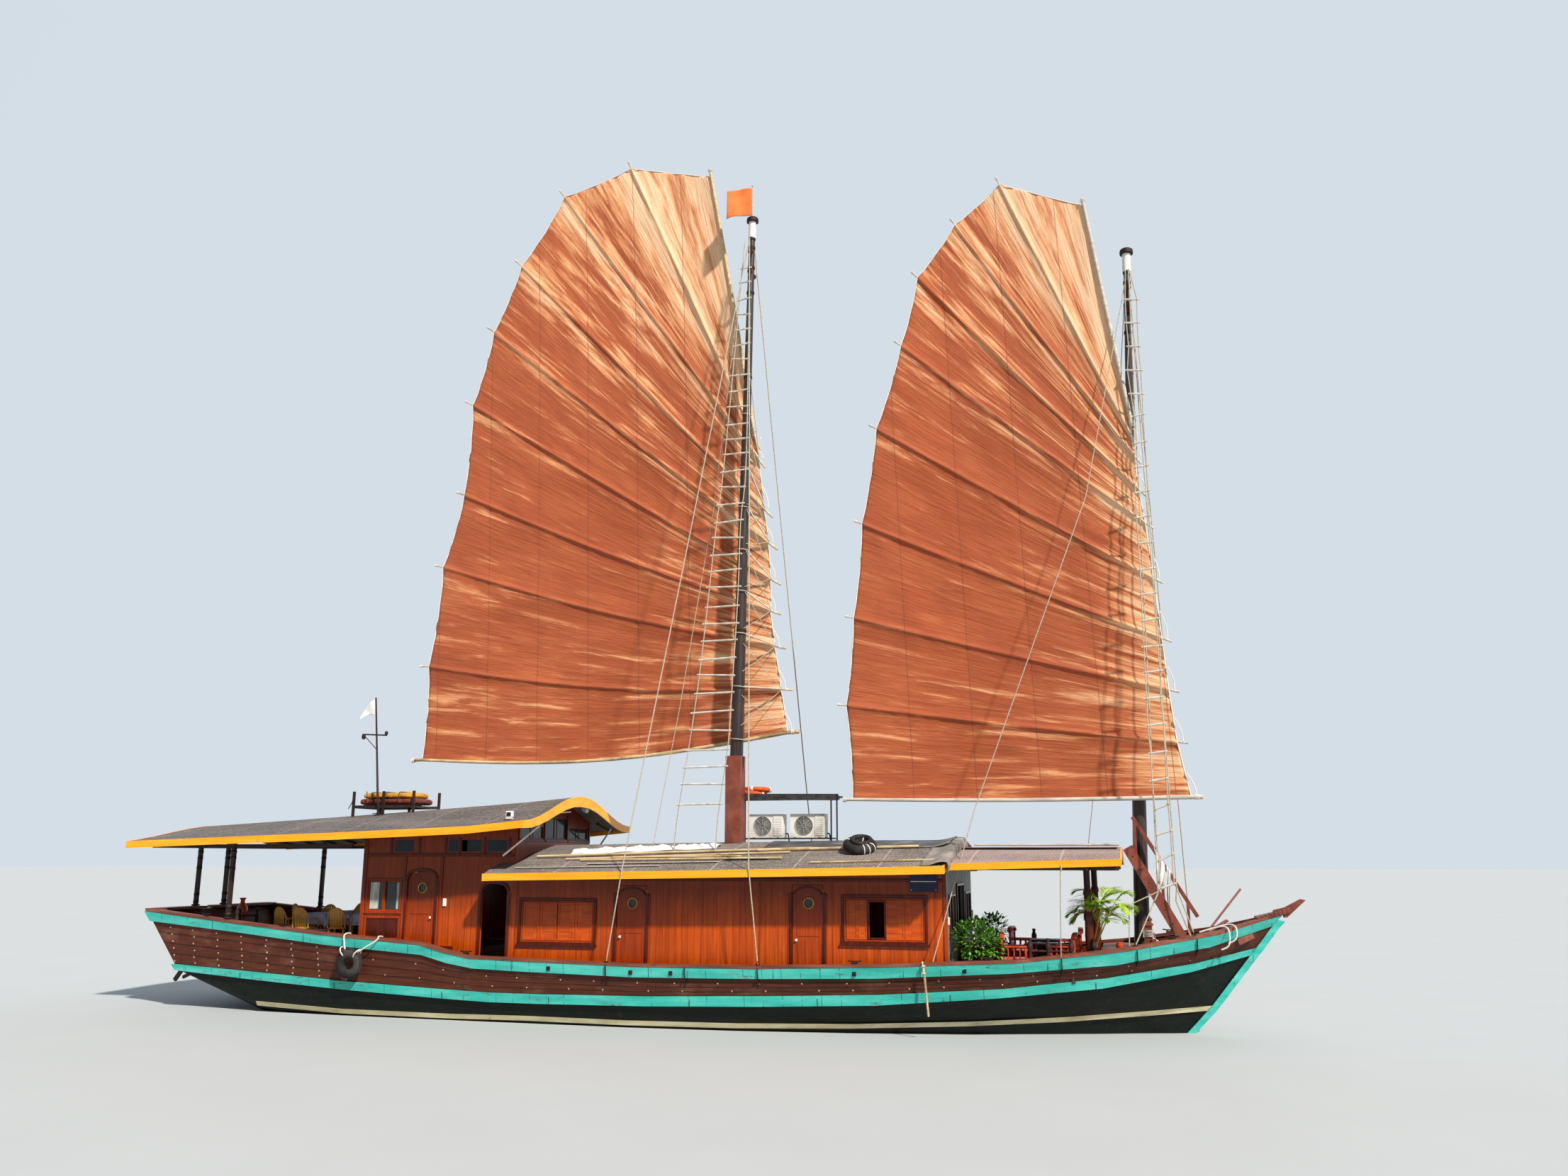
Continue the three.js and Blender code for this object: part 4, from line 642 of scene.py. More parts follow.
def make_boards(name, pitch, tones, dark, axis="x", gloss=(0.22, 0.42), seam_w=0.05, stain=None, coat=0.12, grain_dir="z", stain_z=(1.1, 1.6), painted_eave_shade=(2.22, 2.95, 0.70)):
    """Upright varnished boards with grain along them, each with its own tone, and painted shade from the eaves over
    their upper part.
    """
    k = Mat(name)
    x, y, z = k.xyz(k.obj)
    a = {"x": x, "y": y, "z": z}[axis]
    cell = k.math("DIVIDE", a, pitch)
    idx = k.math("FLOOR", cell)
    f = k.math("FRACT", cell)
    seam = k.math("LESS_THAN", f, seam_w)
    shift = k.math("MULTIPLY", k.white(idx), 40.0)
    node = k.n("CombineXYZ")
    st = {"z": (9.0, 9.0, 0.55), "x": (0.55, 9.0, 9.0), "y": (9.0, 0.55, 9.0)}[grain_dir]
    k.put(node.inputs[0], k.math("MULTIPLY", x, st[0]))
    k.put(node.inputs[1], k.math("MULTIPLY", y, st[1]))
    k.put(node.inputs[2], k.math("ADD", k.math("MULTIPLY", z, st[2]), shift))
    g = k.noise(node.outputs[0], 1.6, 7, 0.62, 0.6)
    base = k.ramp(g, [(0.24, tones[0]), (0.5, tones[1]), (0.78, tones[2])])
    tone = k.white(k.math("ADD", idx, 0.37))
    base = k.mix(k.math("MULTIPLY", tone, 0.45), base, tones[0])
    if stain is not None:
        s = k.noise(k.map(k.obj, (1.6, 1.6, 0.9)), 1.5, 6, 0.7)
        zone = k.n("MapRange")
        k.put(zone.inputs[0], z)
        zone.inputs[1].default_value, zone.inputs[2].default_value = stain_z
        zone.inputs[3].default_value, zone.inputs[4].default_value = 0.85, 0.0
        col_m = k.math("MULTIPLY", zone.outputs[0], k.ramp(s, [(0.42, 0.0), (0.68, 1.0)]))
        base = k.mix(col_m, base, stain)
    # painted shade: the upper boards are darkened where the eaves cast their shadow, in uneven tongues
    shade_tongues = k.noise(k.map(k.obj, (1.9, 1.9, 0.8)), 1.6, 6, 0.7)
    top = k.n("MapRange")
    k.put(top.inputs[0], k.math("ADD", z, k.math("MULTIPLY", shade_tongues, 0.7)))
    top.inputs[1].default_value, top.inputs[2].default_value = painted_eave_shade[0] + 0.25, painted_eave_shade[1] + 0.25
    top.inputs[3].default_value, top.inputs[4].default_value = 0.0, painted_eave_shade[2]
    base = k.mix(top.outputs[0], base, tuple(c * 0.22 for c in tones[0][:3]) + (1,))
    base = k.mix(k.math("MULTIPLY", seam, 0.75), base, dark)
    h = k.math("SUBTRACT", k.math("MULTIPLY", g, 0.35), seam)
    k.set(base, k.ramp(g, [(0.2, gloss[0]), (0.8, gloss[1])]), k.bump(h, 0.45, 0.004))
    k.b.inputs["Specular IOR Level"].default_value = 0.25
    k.b.inputs["Coat Weight"].default_value = coat
    k.b.inputs["Coat Roughness"].default_value = 0.18
    return k.m


def make_roof(name, tones, pale, row=0.21, pitch=0.085, ridge=None):
    """Weathered ribbed sheet in courses that run along the roof."""
    k = Mat(name)
    x, y, z = k.xyz(k.obj)
    course = k.math("DIVIDE", k.math("ABSOLUTE", y), row)
    ci = k.math("FLOOR", course)
    cf = k.math("FRACT", course)
    off = k.math("MULTIPLY", k.math("MODULO", ci, 2.0), 0.5)
    lean = k.math("MULTIPLY", cf, 0.35)
    rib = k.math("FRACT", k.math("ADD", k.math("ADD", k.math("DIVIDE", x, pitch), off), lean))
    ribh = k.math("PINGPONG", rib, 0.5)
    big = k.noise(k.map(k.obj, (0.35, 1.0, 1.0)), 1.3, 6, 0.62)
    fine = k.noise(k.obj, 14.0, 4, 0.6)
    base = k.ramp(big, [(0.25, tones[0]), (0.5, tones[1]), (0.78, tones[2])])
    base = k.mix(k.ramp(fine, [(0.45, 0.0), (0.75, 0.55)]), base, pale)
    base = k.mix(k.math("MULTIPLY", k.math("LESS_THAN", ribh, 0.10), 0.55), base, srgb(44, 38, 36))
    base = k.mix(k.math("MULTIPLY", k.math("LESS_THAN", cf, 0.07), 0.5), base, srgb(46, 40, 38))
    sheet = k.math("FRACT", k.math("DIVIDE", k.math("ADD", x, 0.35), 1.83))
    base = k.mix(k.math("MULTIPLY", k.math("LESS_THAN", sheet, 0.014), 0.7), base, pale)
    h = k.math("ADD", k.math("MULTIPLY", ribh, 1.6), k.math("MULTIPLY", cf, 0.5))
    h = k.math("ADD", h, k.math("MULTIPLY", fine, 0.35))
    return k.set(base, 0.86, k.bump(h, 0.55, 0.02))


def make_gloss(name, tones, wear, rough=(0.3, 0.5), amount=0.66, stretch=(0.6, 3, 3)):
    """Painted timber with small chips and dirt."""
    k = Mat(name)
    tone = k.noise(k.map(k.obj, stretch), 1.5, 5, 0.6)
    col = k.ramp(tone, [(0.25, tones[0]), (0.5, tones[1]), (0.8, tones[2])])
    chips = k.noise(k.map(k.obj, (1.4, 4, 6)), 3.4, 7, 0.75)
    m = k.ramp(chips, [(amount, 0.0), (amount + 0.04, 1.0)])
    col = k.mix(m, col, wear)
    run = k.noise(k.map(k.obj, (6, 6, 0.8)), 1.4, 4, 0.65)
    col = k.mix(k.ramp(run, [(0.6, 0.0), (0.8, 0.35)]), col, tuple(c * 0.45 for c in wear[:3]) + (1,))
    h = k.math("SUBTRACT", k.math("MULTIPLY", chips, 0.4), m)
    return k.set(col, k.ramp(chips, [(0.3, rough[0]), (0.8, rough[1])]), k.bump(h, 0.4, 0.002))


M_HULL = make_hull()
M_STRAKE = make_strake()
M_RAIL = make_gloss("cap_rail_wood", (srgb(84, 38, 26), srgb(120, 60, 42), srgb(156, 98, 74)), srgb(66, 38, 28), (0.5, 0.75), 0.60, (0.5, 6, 6))
M_CREAM = make_gloss("waterline_cream", (srgb(168, 156, 118), srgb(206, 196, 158), srgb(226, 218, 190)), srgb(90, 82, 60), (0.45, 0.7), 0.62)
M_BOTTOM = simple("bottom_paint", srgb(6, 13, 10), srgb(17, 28, 21), 3.0, (0.45, 0.7), 0.3, 0.004, dirt=srgb(54, 40, 26), spec=0.22)
M_BRONZE = simple("bronze", srgb(120, 88, 42), srgb(168, 128, 64), 5.0, (0.3, 0.5), 0.1, 0.001, metal=0.9)
M_FASCIA = make_gloss("fascia_paint", (srgb(236, 148, 10), srgb(252, 170, 18), srgb(255, 188, 44)), srgb(196, 120, 40), (0.32, 0.5), 0.72, (0.4, 2, 4))
M_ROOF = make_roof("roof_sheet", (srgb(88, 80, 76), srgb(118, 109, 103), srgb(148, 138, 130)), srgb(186, 177, 167))
M_ROOF_AFT = make_roof("roof_sheet_aft", (srgb(70, 65, 63), srgb(94, 88, 86), srgb(124, 117, 112)), srgb(164, 157, 150))
M_CANOPY = make_roof("canopy_sheet", (srgb(126, 106, 102), srgb(156, 136, 130), srgb(182, 164, 156)), srgb(206, 192, 182), 0.19, 0.075)
M_WALL = make_boards("varnished_boards", 0.148, (srgb(146, 50, 2), srgb(202, 80, 4), srgb(228, 106, 14)), srgb(66, 20, 4), "x", stain=srgb(112, 34, 6))
M_WALL_Y = make_boards("varnished_boards_cross", 0.148, (srgb(130, 42, 6), srgb(176, 66, 10), srgb(204, 90, 20)), srgb(66, 20, 4), "y")
M_DOOR = make_boards("door_wood", 0.34, (srgb(128, 40, 4), srgb(172, 62, 6), srgb(200, 84, 14)), srgb(72, 22, 4), "x", seam_w=0.012)
M_TRIM = simple("trim_wood", srgb(58, 15, 4), srgb(98, 30, 8), 4.0, (0.25, 0.45), 0.2, 0.002, stretch=(3, 3, 0.6), coat=0.15, spec=0.25)
M_SHUT = make_boards("shutter_wood", 0.30, (srgb(166, 58, 6), srgb(206, 84, 10), srgb(230, 110, 26)), srgb(90, 28, 6), "x", seam_w=0.012, grain_dir="x")
M_GREY = make_gloss("grey_paint", (srgb(96, 106, 98), srgb(124, 134, 124), srgb(148, 156, 146)), srgb(80, 70, 58), (0.5, 0.7), 0.64)
M_DARK = simple("dark_wood", srgb(36, 22, 18), srgb(62, 40, 32), 5.0, (0.45, 0.7), 0.3, 0.003, stretch=(1, 1, 0.3))
M_MAST = simple("mast_timber", srgb(34, 28, 28), srgb(66, 54, 50), 5.0, (0.32, 0.6), 0.4, 0.004, stretch=(4, 4, 0.25), coat=0.2)
M_STAIR = make_gloss("stair_paint", (srgb(92, 40, 28), srgb(122, 58, 42), srgb(150, 84, 62)), srgb(70, 34, 26), (0.42, 0.66), 0.62, (2, 2, 2))
M_STEEL = simple("rack_steel", srgb(38, 40, 42), srgb(74, 72, 70), 8.0, (0.4, 0.65), 0.25, 0.001, metal=0.35, dirt=srgb(96, 62, 44))
M_WHITE = simple("white_enamel", srgb(222, 220, 212), srgb(240, 238, 232), 3.0, (0.3, 0.45), 0.08, 0.001, dirt=srgb(176, 168, 150))
M_RAFT = simple("raft_cover", srgb(176, 116, 32), srgb(214, 160, 56), 3.0, (0.65, 0.85), 0.5, 0.01, dirt=srgb(110, 60, 50))
M_RUBBER = simple("tyre_rubber", srgb(18, 18, 19), srgb(40, 39, 38), 7.0, (0.7, 0.9), 0.4, 0.003, dirt=srgb(70, 66, 60))
M_ROPE = simple("rope", srgb(150, 140, 122), srgb(200, 190, 168), 30.0, (0.8, 0.95), 0.6, 0.003)
M_ROPE_WHITE = simple("white_rope", srgb(206, 202, 190), srgb(236, 232, 222), 30.0, (0.8, 0.95), 0.6, 0.003)
M_BAMBOO = simple("bamboo_pole", srgb(176, 148, 104), srgb(222, 200, 158), 5.0, (0.45, 0.65), 0.3, 0.002, stretch=(0.4, 3, 3), dirt=srgb(130, 100, 66))
M_POLE_GREY = simple("weathered_pole", srgb(168, 160, 146), srgb(212, 206, 192), 5.0, (0.6, 0.8), 0.3, 0.002, stretch=(0.5, 3, 3))
M_RUNG = simple("ladder_rung", srgb(176, 168, 152), srgb(222, 216, 204), 7.0, (0.55, 0.8), 0.3, 0.002)
M_IRON = simple("black_iron", srgb(26, 24, 24), srgb(66, 48, 38), 9.0, (0.5, 0.8), 0.4, 0.002, metal=0.6)
M_BRASS = simple("brass", srgb(150, 116, 52), srgb(206, 172, 92), 6.0, (0.2, 0.4), 0.1, 0.001, metal=0.95)

LOOK = {
    "hull": M_HULL, "bulwark_port": M_HULL, "bulwark_starboard": M_HULL, "bulwark_bow": M_HULL, "keel": M_BOTTOM, "rudder": M_BOTTOM, "propeller": M_BRONZE,
    "sheer_strake": M_STRAKE, "rub_strake": M_STRAKE, "stem": M_STRAKE,
    "waterline_rail_port": M_CREAM, "waterline_rail_starboard": M_CREAM,
    "cap_rail_port": M_RAIL, "cap_rail_starboard": M_RAIL, "stem_head": M_STAIR,
    "aft_roof": M_ROOF_AFT, "main_roof": M_ROOF, "canopy_roof": M_CANOPY,
    "aft_roof_fascia": M_FASCIA, "main_roof_fascia": M_FASCIA, "canopy_fascia": M_FASCIA,
    "house_side_port": M_WALL, "house_side_starboard": M_WALL, "house_aft_wall": M_WALL_Y, "wheelhouse_front": M_WALL_Y,
    "house_front_wall": M_GREY,
    "main_shutters_port": M_SHUT, "main_shutters_starboard": M_SHUT, "fore_shutters_port": M_SHUT, "fore_shutters_starboard": M_SHUT,
    "aft_deck_frame": M_DARK, "canopy_frame": M_DARK, "main_mast_trunk": M_STAIR, "main_mast": M_MAST, "fore_mast": M_MAST,
    "main_shrouds_starboard": M_ROPE, "main_shroud_port": M_ROPE, "fore_shrouds_starboard": M_ROPE, "fore_shrouds_port": M_ROPE,
    "bow_stair": M_STAIR, "aircon_rack": M_STEEL, "aircon_unit_aft": M_WHITE, "aircon_unit_fore": M_WHITE,
    "raft_rack": M_DARK, "life_rafts": M_RAFT, "roof_pole": M_DARK, "bow_bitts": M_STAIR, "tyre_fender": M_RUBBER,
    "main_sail_battens": M_BAMBOO, "fore_sail_battens": M_BAMBOO,
}
for name, ob in nodes.items():
    m = M_DOOR if name.startswith("door_") else LOOK.get(name)
    if m is not None:
        ob.data.materials.clear()
        ob.data.materials.append(m)
    if name.startswith(("main_mast", "fore_mast", "hull", "bulwark", "stem", "tyre", "life_rafts", "canopy_frame")) or "shroud" in name:
        set_shade(ob.data, 32)

# ------------------------------------------------------------------ sails
SAIL_ROWS = {
    "main": ((1.30, 0.47, 0.22), [
        (-0.12, 14.50, 1.12, 21.78), (-0.20, 14.05, 3.50, 22.42), (-0.26, 13.55, 5.52, 21.86), (-0.42, 12.20, 6.77, 19.90), (-0.53, 11.31, 7.53, 17.99),
        (-0.59, 10.37, 8.07, 15.87), (-0.59, 9.56, 8.17, 13.27), (-0.70, 8.66, 8.69, 11.27), (-0.87, 7.58, 8.94, 8.55), (-1.03, 6.52, 8.97, 6.07)]),
    "fore": ((10.60, -0.34, 0.14), [
        (-0.16, 13.45, 0.61, 19.00), (-0.15, 13.05, 2.60, 19.89), (-0.20, 12.55, 3.73, 18.95), (-0.24, 11.75, 4.70, 17.65), (-0.33, 10.95, 5.15, 15.88),
        (-0.43, 9.65, 5.80, 13.78), (-0.52, 8.29, 6.19, 11.40), (-0.59, 7.14, 6.42, 9.10), (-0.69, 6.00, 6.62, 7.03), (-0.90, 4.82, 6.49, 4.86)]),
}
FOOT_SAG = 0.32
SAIL_HALF = 0.012
BATTEN_OFF = SAIL_HALF + 0.055 + 0.016


def sail_point(which, v, u):
    """The middle of the sail cloth, as the frame has it; v in rows from the yard to the boom, u from luff to leech."""
    (x0, y0, camber), rows = SAIL_ROWS[which]
    i = min(int(math.floor(v)), len(rows) - 2)
    k = v - i
    r = [lerp(a, b, k) for a, b in zip(rows[i], rows[i + 1])]
    scallop = 0.09 * 4 * k * (1 - k) if 0 < k < 1 else 0.0
    uu = u * (1 - scallop * 0.12)
    last = len(rows) - 1
    sag = (v / last) ** 3 * FOOT_SAG * (math.sin(math.pi * u) if which == "main" else 0.1 * math.sin(math.pi * u))
    wide = min(1.0, 0.35 + v / 4)
    return Vector((x0 - lerp(r[0], r[2], uu), y0 + camber * wide * math.sin(math.pi * u), lerp(r[1], r[3], uu) - sag))


def make_sailcloth():
    """Tanned cloth bleached along its wrinkles: U runs along the battens in metres, V across them in rows."""
    k = Mat("sailcloth")
    uv = k.uv("sail")
    ux, vy, _ = k.xyz(uv)
    dat = k.uv("reach")                       # x: share of the chord, y: share of the height
    du, dv, _ = k.xyz(dat)
    fib = k.noise(k.map(uv, (0.38, 8.5, 1)), 1.3, 8, 0.66, 0.5)
    fine = k.noise(k.map(uv, (1.6, 26, 1)), 1.4, 5, 0.7)
    broad = k.noise(k.map(uv, (0.30, 1.5, 1)), 1.2, 5, 0.6)
    base = k.ramp(broad, [(0.25, srgb(150, 66, 28)), (0.5, srgb(172, 82, 40)), (0.78, srgb(194, 104, 56))])
    base = k.mix(k.ramp(fine, [(0.35, 0.0), (0.75, 0.45)]), base, srgb(138, 58, 26))
    wide = k.noise(k.map(uv, (0.16, 2.6, 1), loc=(3.0, 1.7, 0)), 1.35, 7, 0.62, 0.9)
    # bleaching grows toward the yard and the luff
    high = k.ramp(dv, [(0.0, 1.0), (0.10, 0.92), (0.19, 0.66), (0.32, 0.52), (0.48, 0.34), (0.68, 0.30), (0.84, 0.40), (1.0, 0.50)])
    # each panel bleaches most just under its batten
    ray = k.ramp(k.math("FRACT", vy), [(0.0, 1.0), (0.20, 0.60), (0.42, 0.0), (0.80, 0.0), (1.0, 0.6)])
    ray = k.math("MULTIPLY", ray, k.ramp(dv, [(0.0, 0.30), (0.45, 0.30), (0.62, 0.10), (1.0, 0.05)]))
    luff = k.ramp(du, [(0.0, 1.0), (0.10, 0.82), (0.22, 0.55), (0.45, 0.34), (1.0, 0.36)])
    wt = k.math("ADD", k.math("MAXIMUM", high, k.math("MULTIPLY", luff, 0.9)), ray)
    lim = k.math("SUBTRACT", 0.672, k.math("MULTIPLY", wt, 0.300))
    mixed = k.math("ADD", k.math("MULTIPLY", fib, 0.50), k.math("MULTIPLY", wide, 0.50))
    over = k.math("SUBTRACT", mixed, lim)
    m0 = k.math("MULTIPLY", k.math("ADD", over, 0.05), 6.0, clamp=True)
    base = k.mix(k.math("MULTIPLY", m0, 0.55), base, srgb(218, 134, 84))
    m = k.math("MULTIPLY", over, 11.0, clamp=True)
    base = k.mix(k.math("MULTIPLY", m, 0.85), base, srgb(242, 174, 120))
    m2 = k.math("MULTIPLY", k.math("SUBTRACT", over, 0.075), 12.0, clamp=True)
    base = k.mix(k.math("MULTIPLY", m2, 0.8), base, srgb(255, 216, 174))
    # orange creases that stay in the folds of the bleached cloth
    cre = k.noise(k.map(uv, (0.55, 17.0, 1)), 1.5, 4, 0.6, 0.7)
    base = k.mix(k.math("MULTIPLY", k.math("MULTIPLY", k.math("SUBTRACT", cre, 0.56), 9.0, clamp=True), 0.42), base, srgb(176, 86, 42))
    # painted shade: the cloth along each sleeve is darkened, broken up by noise, for the shade the sleeves cast
    row = k.math("FRACT", vy)
    edge = k.math("MINIMUM", row, k.math("SUBTRACT", 1.0, row))
    st = k.noise(k.map(uv, (0.8, 3.0, 1)), 1.7, 5, 0.65)
    dark = k.math("MULTIPLY", k.ramp(edge, [(0.0, 1.0), (0.055, 0.55), (0.16, 0.0)]), k.ramp(st, [(0.30, 0.15), (0.7, 0.75)]))
    base = k.mix(k.math("MULTIPLY", dark, 0.30), base, srgb(120, 54, 32))
    # cloths sewn side by side, their seams nearly upright
    x, y, z = k.xyz(k.obj)
    lean = k.math("ADD", x, k.math("MULTIPLY", z, 0.035))
    cell = k.math("FRACT", k.math("DIVIDE", lean, 1.42))
    seam = k.math("LESS_THAN", cell, 0.016)
    panel = k.white(k.math("FLOOR", k.math("DIVIDE", lean, 1.42)))
    base = k.mix(k.math("MULTIPLY", panel, 0.16), base, srgb(150, 74, 44))
    base = k.mix(k.math("MULTIPLY", seam, 0.5), base, srgb(116, 56, 36))
    weave = k.noise(k.obj, 160.0, 2, 0.5)
    h = k.math("ADD", k.math("MULTIPLY", fib, 1.0), k.math("MULTIPLY", fine, 0.45))
    h = k.math("ADD", h, k.math("MULTIPLY", seam, 0.25))
    h = k.math("SUBTRACT", h, k.math("MULTIPLY", cre, 0.8))
    nb = k.bump(h, 0.60, 0.05)
    nb = k.bump(weave, 0.15, 0.002, nb)
    k.set(base, 0.88, nb)
    k.b.inputs["Sheen Weight"].default_value = 0.15
    k.b.inputs["Sheen Roughness"].default_value = 0.5
    return k.m


M_SAIL = make_sailcloth()
SUB = [0, .007, .015, .025, .038, .055, .08, .12, .18, .26, .36, .48, .60, .70, .79, .86, .91, .945, .965, .98, .99]
SAIL_TAPER = {"main": 0.0, "fore": 0.15}


def sail_at(which, v, u):
    i = min(int(v), 8)
    k = v - i
    p = sail_point(which, v, u / (1 - 0.0108 * 4 * k * (1 - k)) if 0 < k < 1 else u)
    p.y += SAIL_TAPER[which] * (1 - v / 9.0)
    return p


def row_height(which, v, u):
    i = min(int(v), 8)
    return max((sail_at(which, i, u) - sail_at(which, i + 1, u)).length, 0.05)


def cloth_shift(which, v, u, seed):
    """How far the cloth stands to starboard of its middle surface."""
    i = min(int(v), 8)
    k = v - i
    h = row_height(which, v, u)
    near = min(k, 1 - k) * h
    first = 0.5 if (i == 0 and k < 0.5) or (i == 8 and k > 0.5) else 1.0
    ridge = 0.052 * math.exp(-(near / 0.058) ** 2) * first
    belly = -0.035 * math.sin(math.pi * k) * min(1.0, h / 1.4)
    chord = (sail_at(which, v, 1) - sail_at(which, v, 0)).length
    a, b = u * chord, k * h
    up = max(0.0, 1 - v / 3.4)
    fwd = max(0.0, 1 - u / 0.35)
    amp = 0.016 + 0.030 * up + 0.026 * fwd
    w = noise.noise(Vector((a * 0.35, b * 4.2 + i * 7.3, seed))) + 0.5 * noise.noise(Vector((a * 0.9, b * 9.0 + i * 3.1, seed + 4)))
    # tucks gathered under each sleeve
    tuck = 0.010 * noise.noise(Vector((a * 3.4, i * 5.0, seed + 9))) * math.exp(-((k * h) / 0.35) ** 2)
    edge = min(1.0, (1 - u) * chord / 0.25 + 0.35)
    calm = min(1.0, near / 0.10)
    flut = 0.022 * math.sin(b * 9.0 + 5 * noise.noise(Vector((i * 2.0, 0, seed)))) * max(0.0, 1 - (1 - u) * chord / 0.7) * math.sin(math.pi * k)
    # the upright seams pucker, and slack cloth hangs in slanting folds low down
    sx = ((sail_at(which, v, u).x + sail_at(which, v, u).z * 0.035) / 1.42) % 1.0
    sx = min(sx, 1 - sx) * 1.42
    pucker = -0.014 * math.exp(-(sx / 0.07) ** 2) * (0.5 + 0.8 * noise.noise(Vector((b * 5.5, i, seed + 20))))
    hang = 0.030 * max(0.0, noise.noise(Vector((a * 0.9 + b * 0.8, b * 0.5 + i * 2.7, seed + 31)))) * min(1.0, v / 3.0)
    s = ridge + belly + (w * amp + tuck) * calm * edge + flut + (pucker + hang) * calm
    return max(-0.055, min(0.088, s))


def build_sail(which, seed):
    body = which + "_sail"
    cols = 118 if which == "main" else 96
    vs = [i + s for i in range(9) for s in SUB] + [9.0]
    co, uvs, uv2 = [], [], []
    for v in vs:
        i = min(int(v), 8)
        chord = (sail_at(which, v, 1) - sail_at(which, v, 0)).length
        for j in range(cols + 1):
            u = j / cols
            p = sail_at(which, v, u)
            extra = 0.0
            k = v - i
            if 0 < k < 1:                       # a deeper hollow between the batten ends on the leech
                extra = -0.03 * 4 * k * (1 - k) * max(0.0, (u - 0.82) / 0.18) * min(1.0, row_height(which, v, 1.0) / 2.2)
            p.x -= extra
            p.y -= cloth_shift(which, v, u, seed)
            co.append(p)
            uvs.append((u * chord, v))
            uv2.append((u, v / 9.0))
    n = cols + 1
    faces = [(r * n + j, r * n + j + 1, (r + 1) * n + j + 1, (r + 1) * n + j) for r in range(len(vs) - 1) for j in range(cols)]
    me = bpy.data.meshes.new(body + "_cloth")
    me.from_pydata([tuple(c) for c in co], [], faces)
    for nm, table in (("sail", uvs), ("reach", uv2)):
        layer = me.uv_layers.new(name=nm)
        for loop in me.loops:
            layer.data[loop.index].uv = table[loop.vertex_index]
    ob = bpy.data.objects.new(body + "_cloth", me)
    bpy.context.scene.collection.objects.link(ob)
    me.materials.append(M_SAIL)
    for p in me.polygons:
        p.use_smooth = True
    bm = bmesh.new()
    bm.from_mesh(me)
    area = sum(f.calc_area() for f in bm.faces)
    bm.free()
    so = ob.modifiers.new("hem", "SOLIDIFY")
    so.thickness = 0.006
    so.offset = 0.0
    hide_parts(body)
    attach(ob, body)
    # poles in the sleeves, their ends bare, with the lashings that hold them
    sp = Shape()
    lash = Shape()
    for v in range(10):
        chord_v = sail_at(which, v, 1) - sail_at(which, v, 0)
        r = 0.050 if v in (0, 9) else 0.025
        off = 0.052 if v in (0, 9) else 0.024
        pts, rr = [], []
        us = [-0.031, -0.015] + [j / 24 for j in range(25)] + [1.012, 1.024]
        for q in us:
            p = sail_at(which, v, min(max(q, 0), 1))
            e = q if q < 0 else q - 1 if q > 1 else 0
            p = Vector((p.x + chord_v.x * e, p.y - off, p.z + chord_v.z * e))
            pts.append(p)
            rr.append(r * (1 - 0.22 * min(max(q, 0), 1)))
        sp.tube(pts, rr, 10)
        for e in (1, 28):
            c = pts[e]
            d = (pts[e] - pts[e - 1]).normalized()
            for kk in (-0.03, 0, 0.03):
                lash.torus(c + d * kk, d, r * 1.06, 0.009, 14, 6)
    sp.make(body + "_poles", M_BAMBOO if which == "main" else M_POLE_GREY, body, "bamboo", 40, rep=(body + "_battens",))
    # bolt ropes on the luff and the leech
    rope = Shape()
    for u in (0.0, 1.0):
        pts = []
        for v in [i / 6 for i in range(55)]:
            p = sail_at(which, v, u)
            i = min(int(v), 8)
            k = v - i
            if u == 1.0 and 0 < k < 1:
                p.x += 0.03 * 4 * k * (1 - k) * min(1.0, row_height(which, v, 1.0) / 2.2)
            p.y -= cloth_shift(which, min(v, 8.9999), u, seed) * 0.9
            pts.append(p)
        rope.tube(pts, 0.013, 6)
    rope.add(lash.v, lash.f)
    # slack loops of rope hang from the luff, one at each sleeve
    for v in range(1, 10):
        a = sail_at(which, v, 0)
        b = sail_at(which, v - 0.45, 0)
        a += Vector((0.12, -0.05, 0))
        b += Vector((0.03, -0.03, 0))
        rope.tube([a.lerp(b, t) + Vector((0.05 * math.sin(math.pi * t), 0, -0.03 * math.sin(math.pi * t))) for t in [q / 8 for q in range(9)]], 0.011, 6)
    rope.make(body + "_ropes", M_ROPE_WHITE, body, "rope", 40)
    return ob


build_sail("main", 11.0)
build_sail("fore", 23.0)


# ------------------------------------------------------------------ masts, their heads and rope ladders
def rope_between(s, a, b, r=0.012, sag=0.0, n=10, sides=6):
    a, b = Vector(a), Vector(b)
    n = 1 if sag == 0 else n
    s.tube([a.lerp(b, t) + Vector((0, 0, -sag * 4 * t * (1 - t))) for t in [q / n for q in range(n + 1)]], r, sides)


MAIN_FOOT, MAIN_HEAD = Vector((1.165, 0, 5.0)), Vector((1.51, 0, 20.0))
FORE_FOOT, FORE_HEAD = Vector((10.31, 0, 1.709)), Vector((10.91, 0, 17.73))


def mast_x(foot, head, z):
    return lerp(foot.x, head.x, (z - foot.z) / (head.z - foot.z))


def mast_r(foot, head, z, r0=0.165, r1=0.072):
    return lerp(r0, r1, min(max((z - foot.z) / (head.z - foot.z), 0), 1))


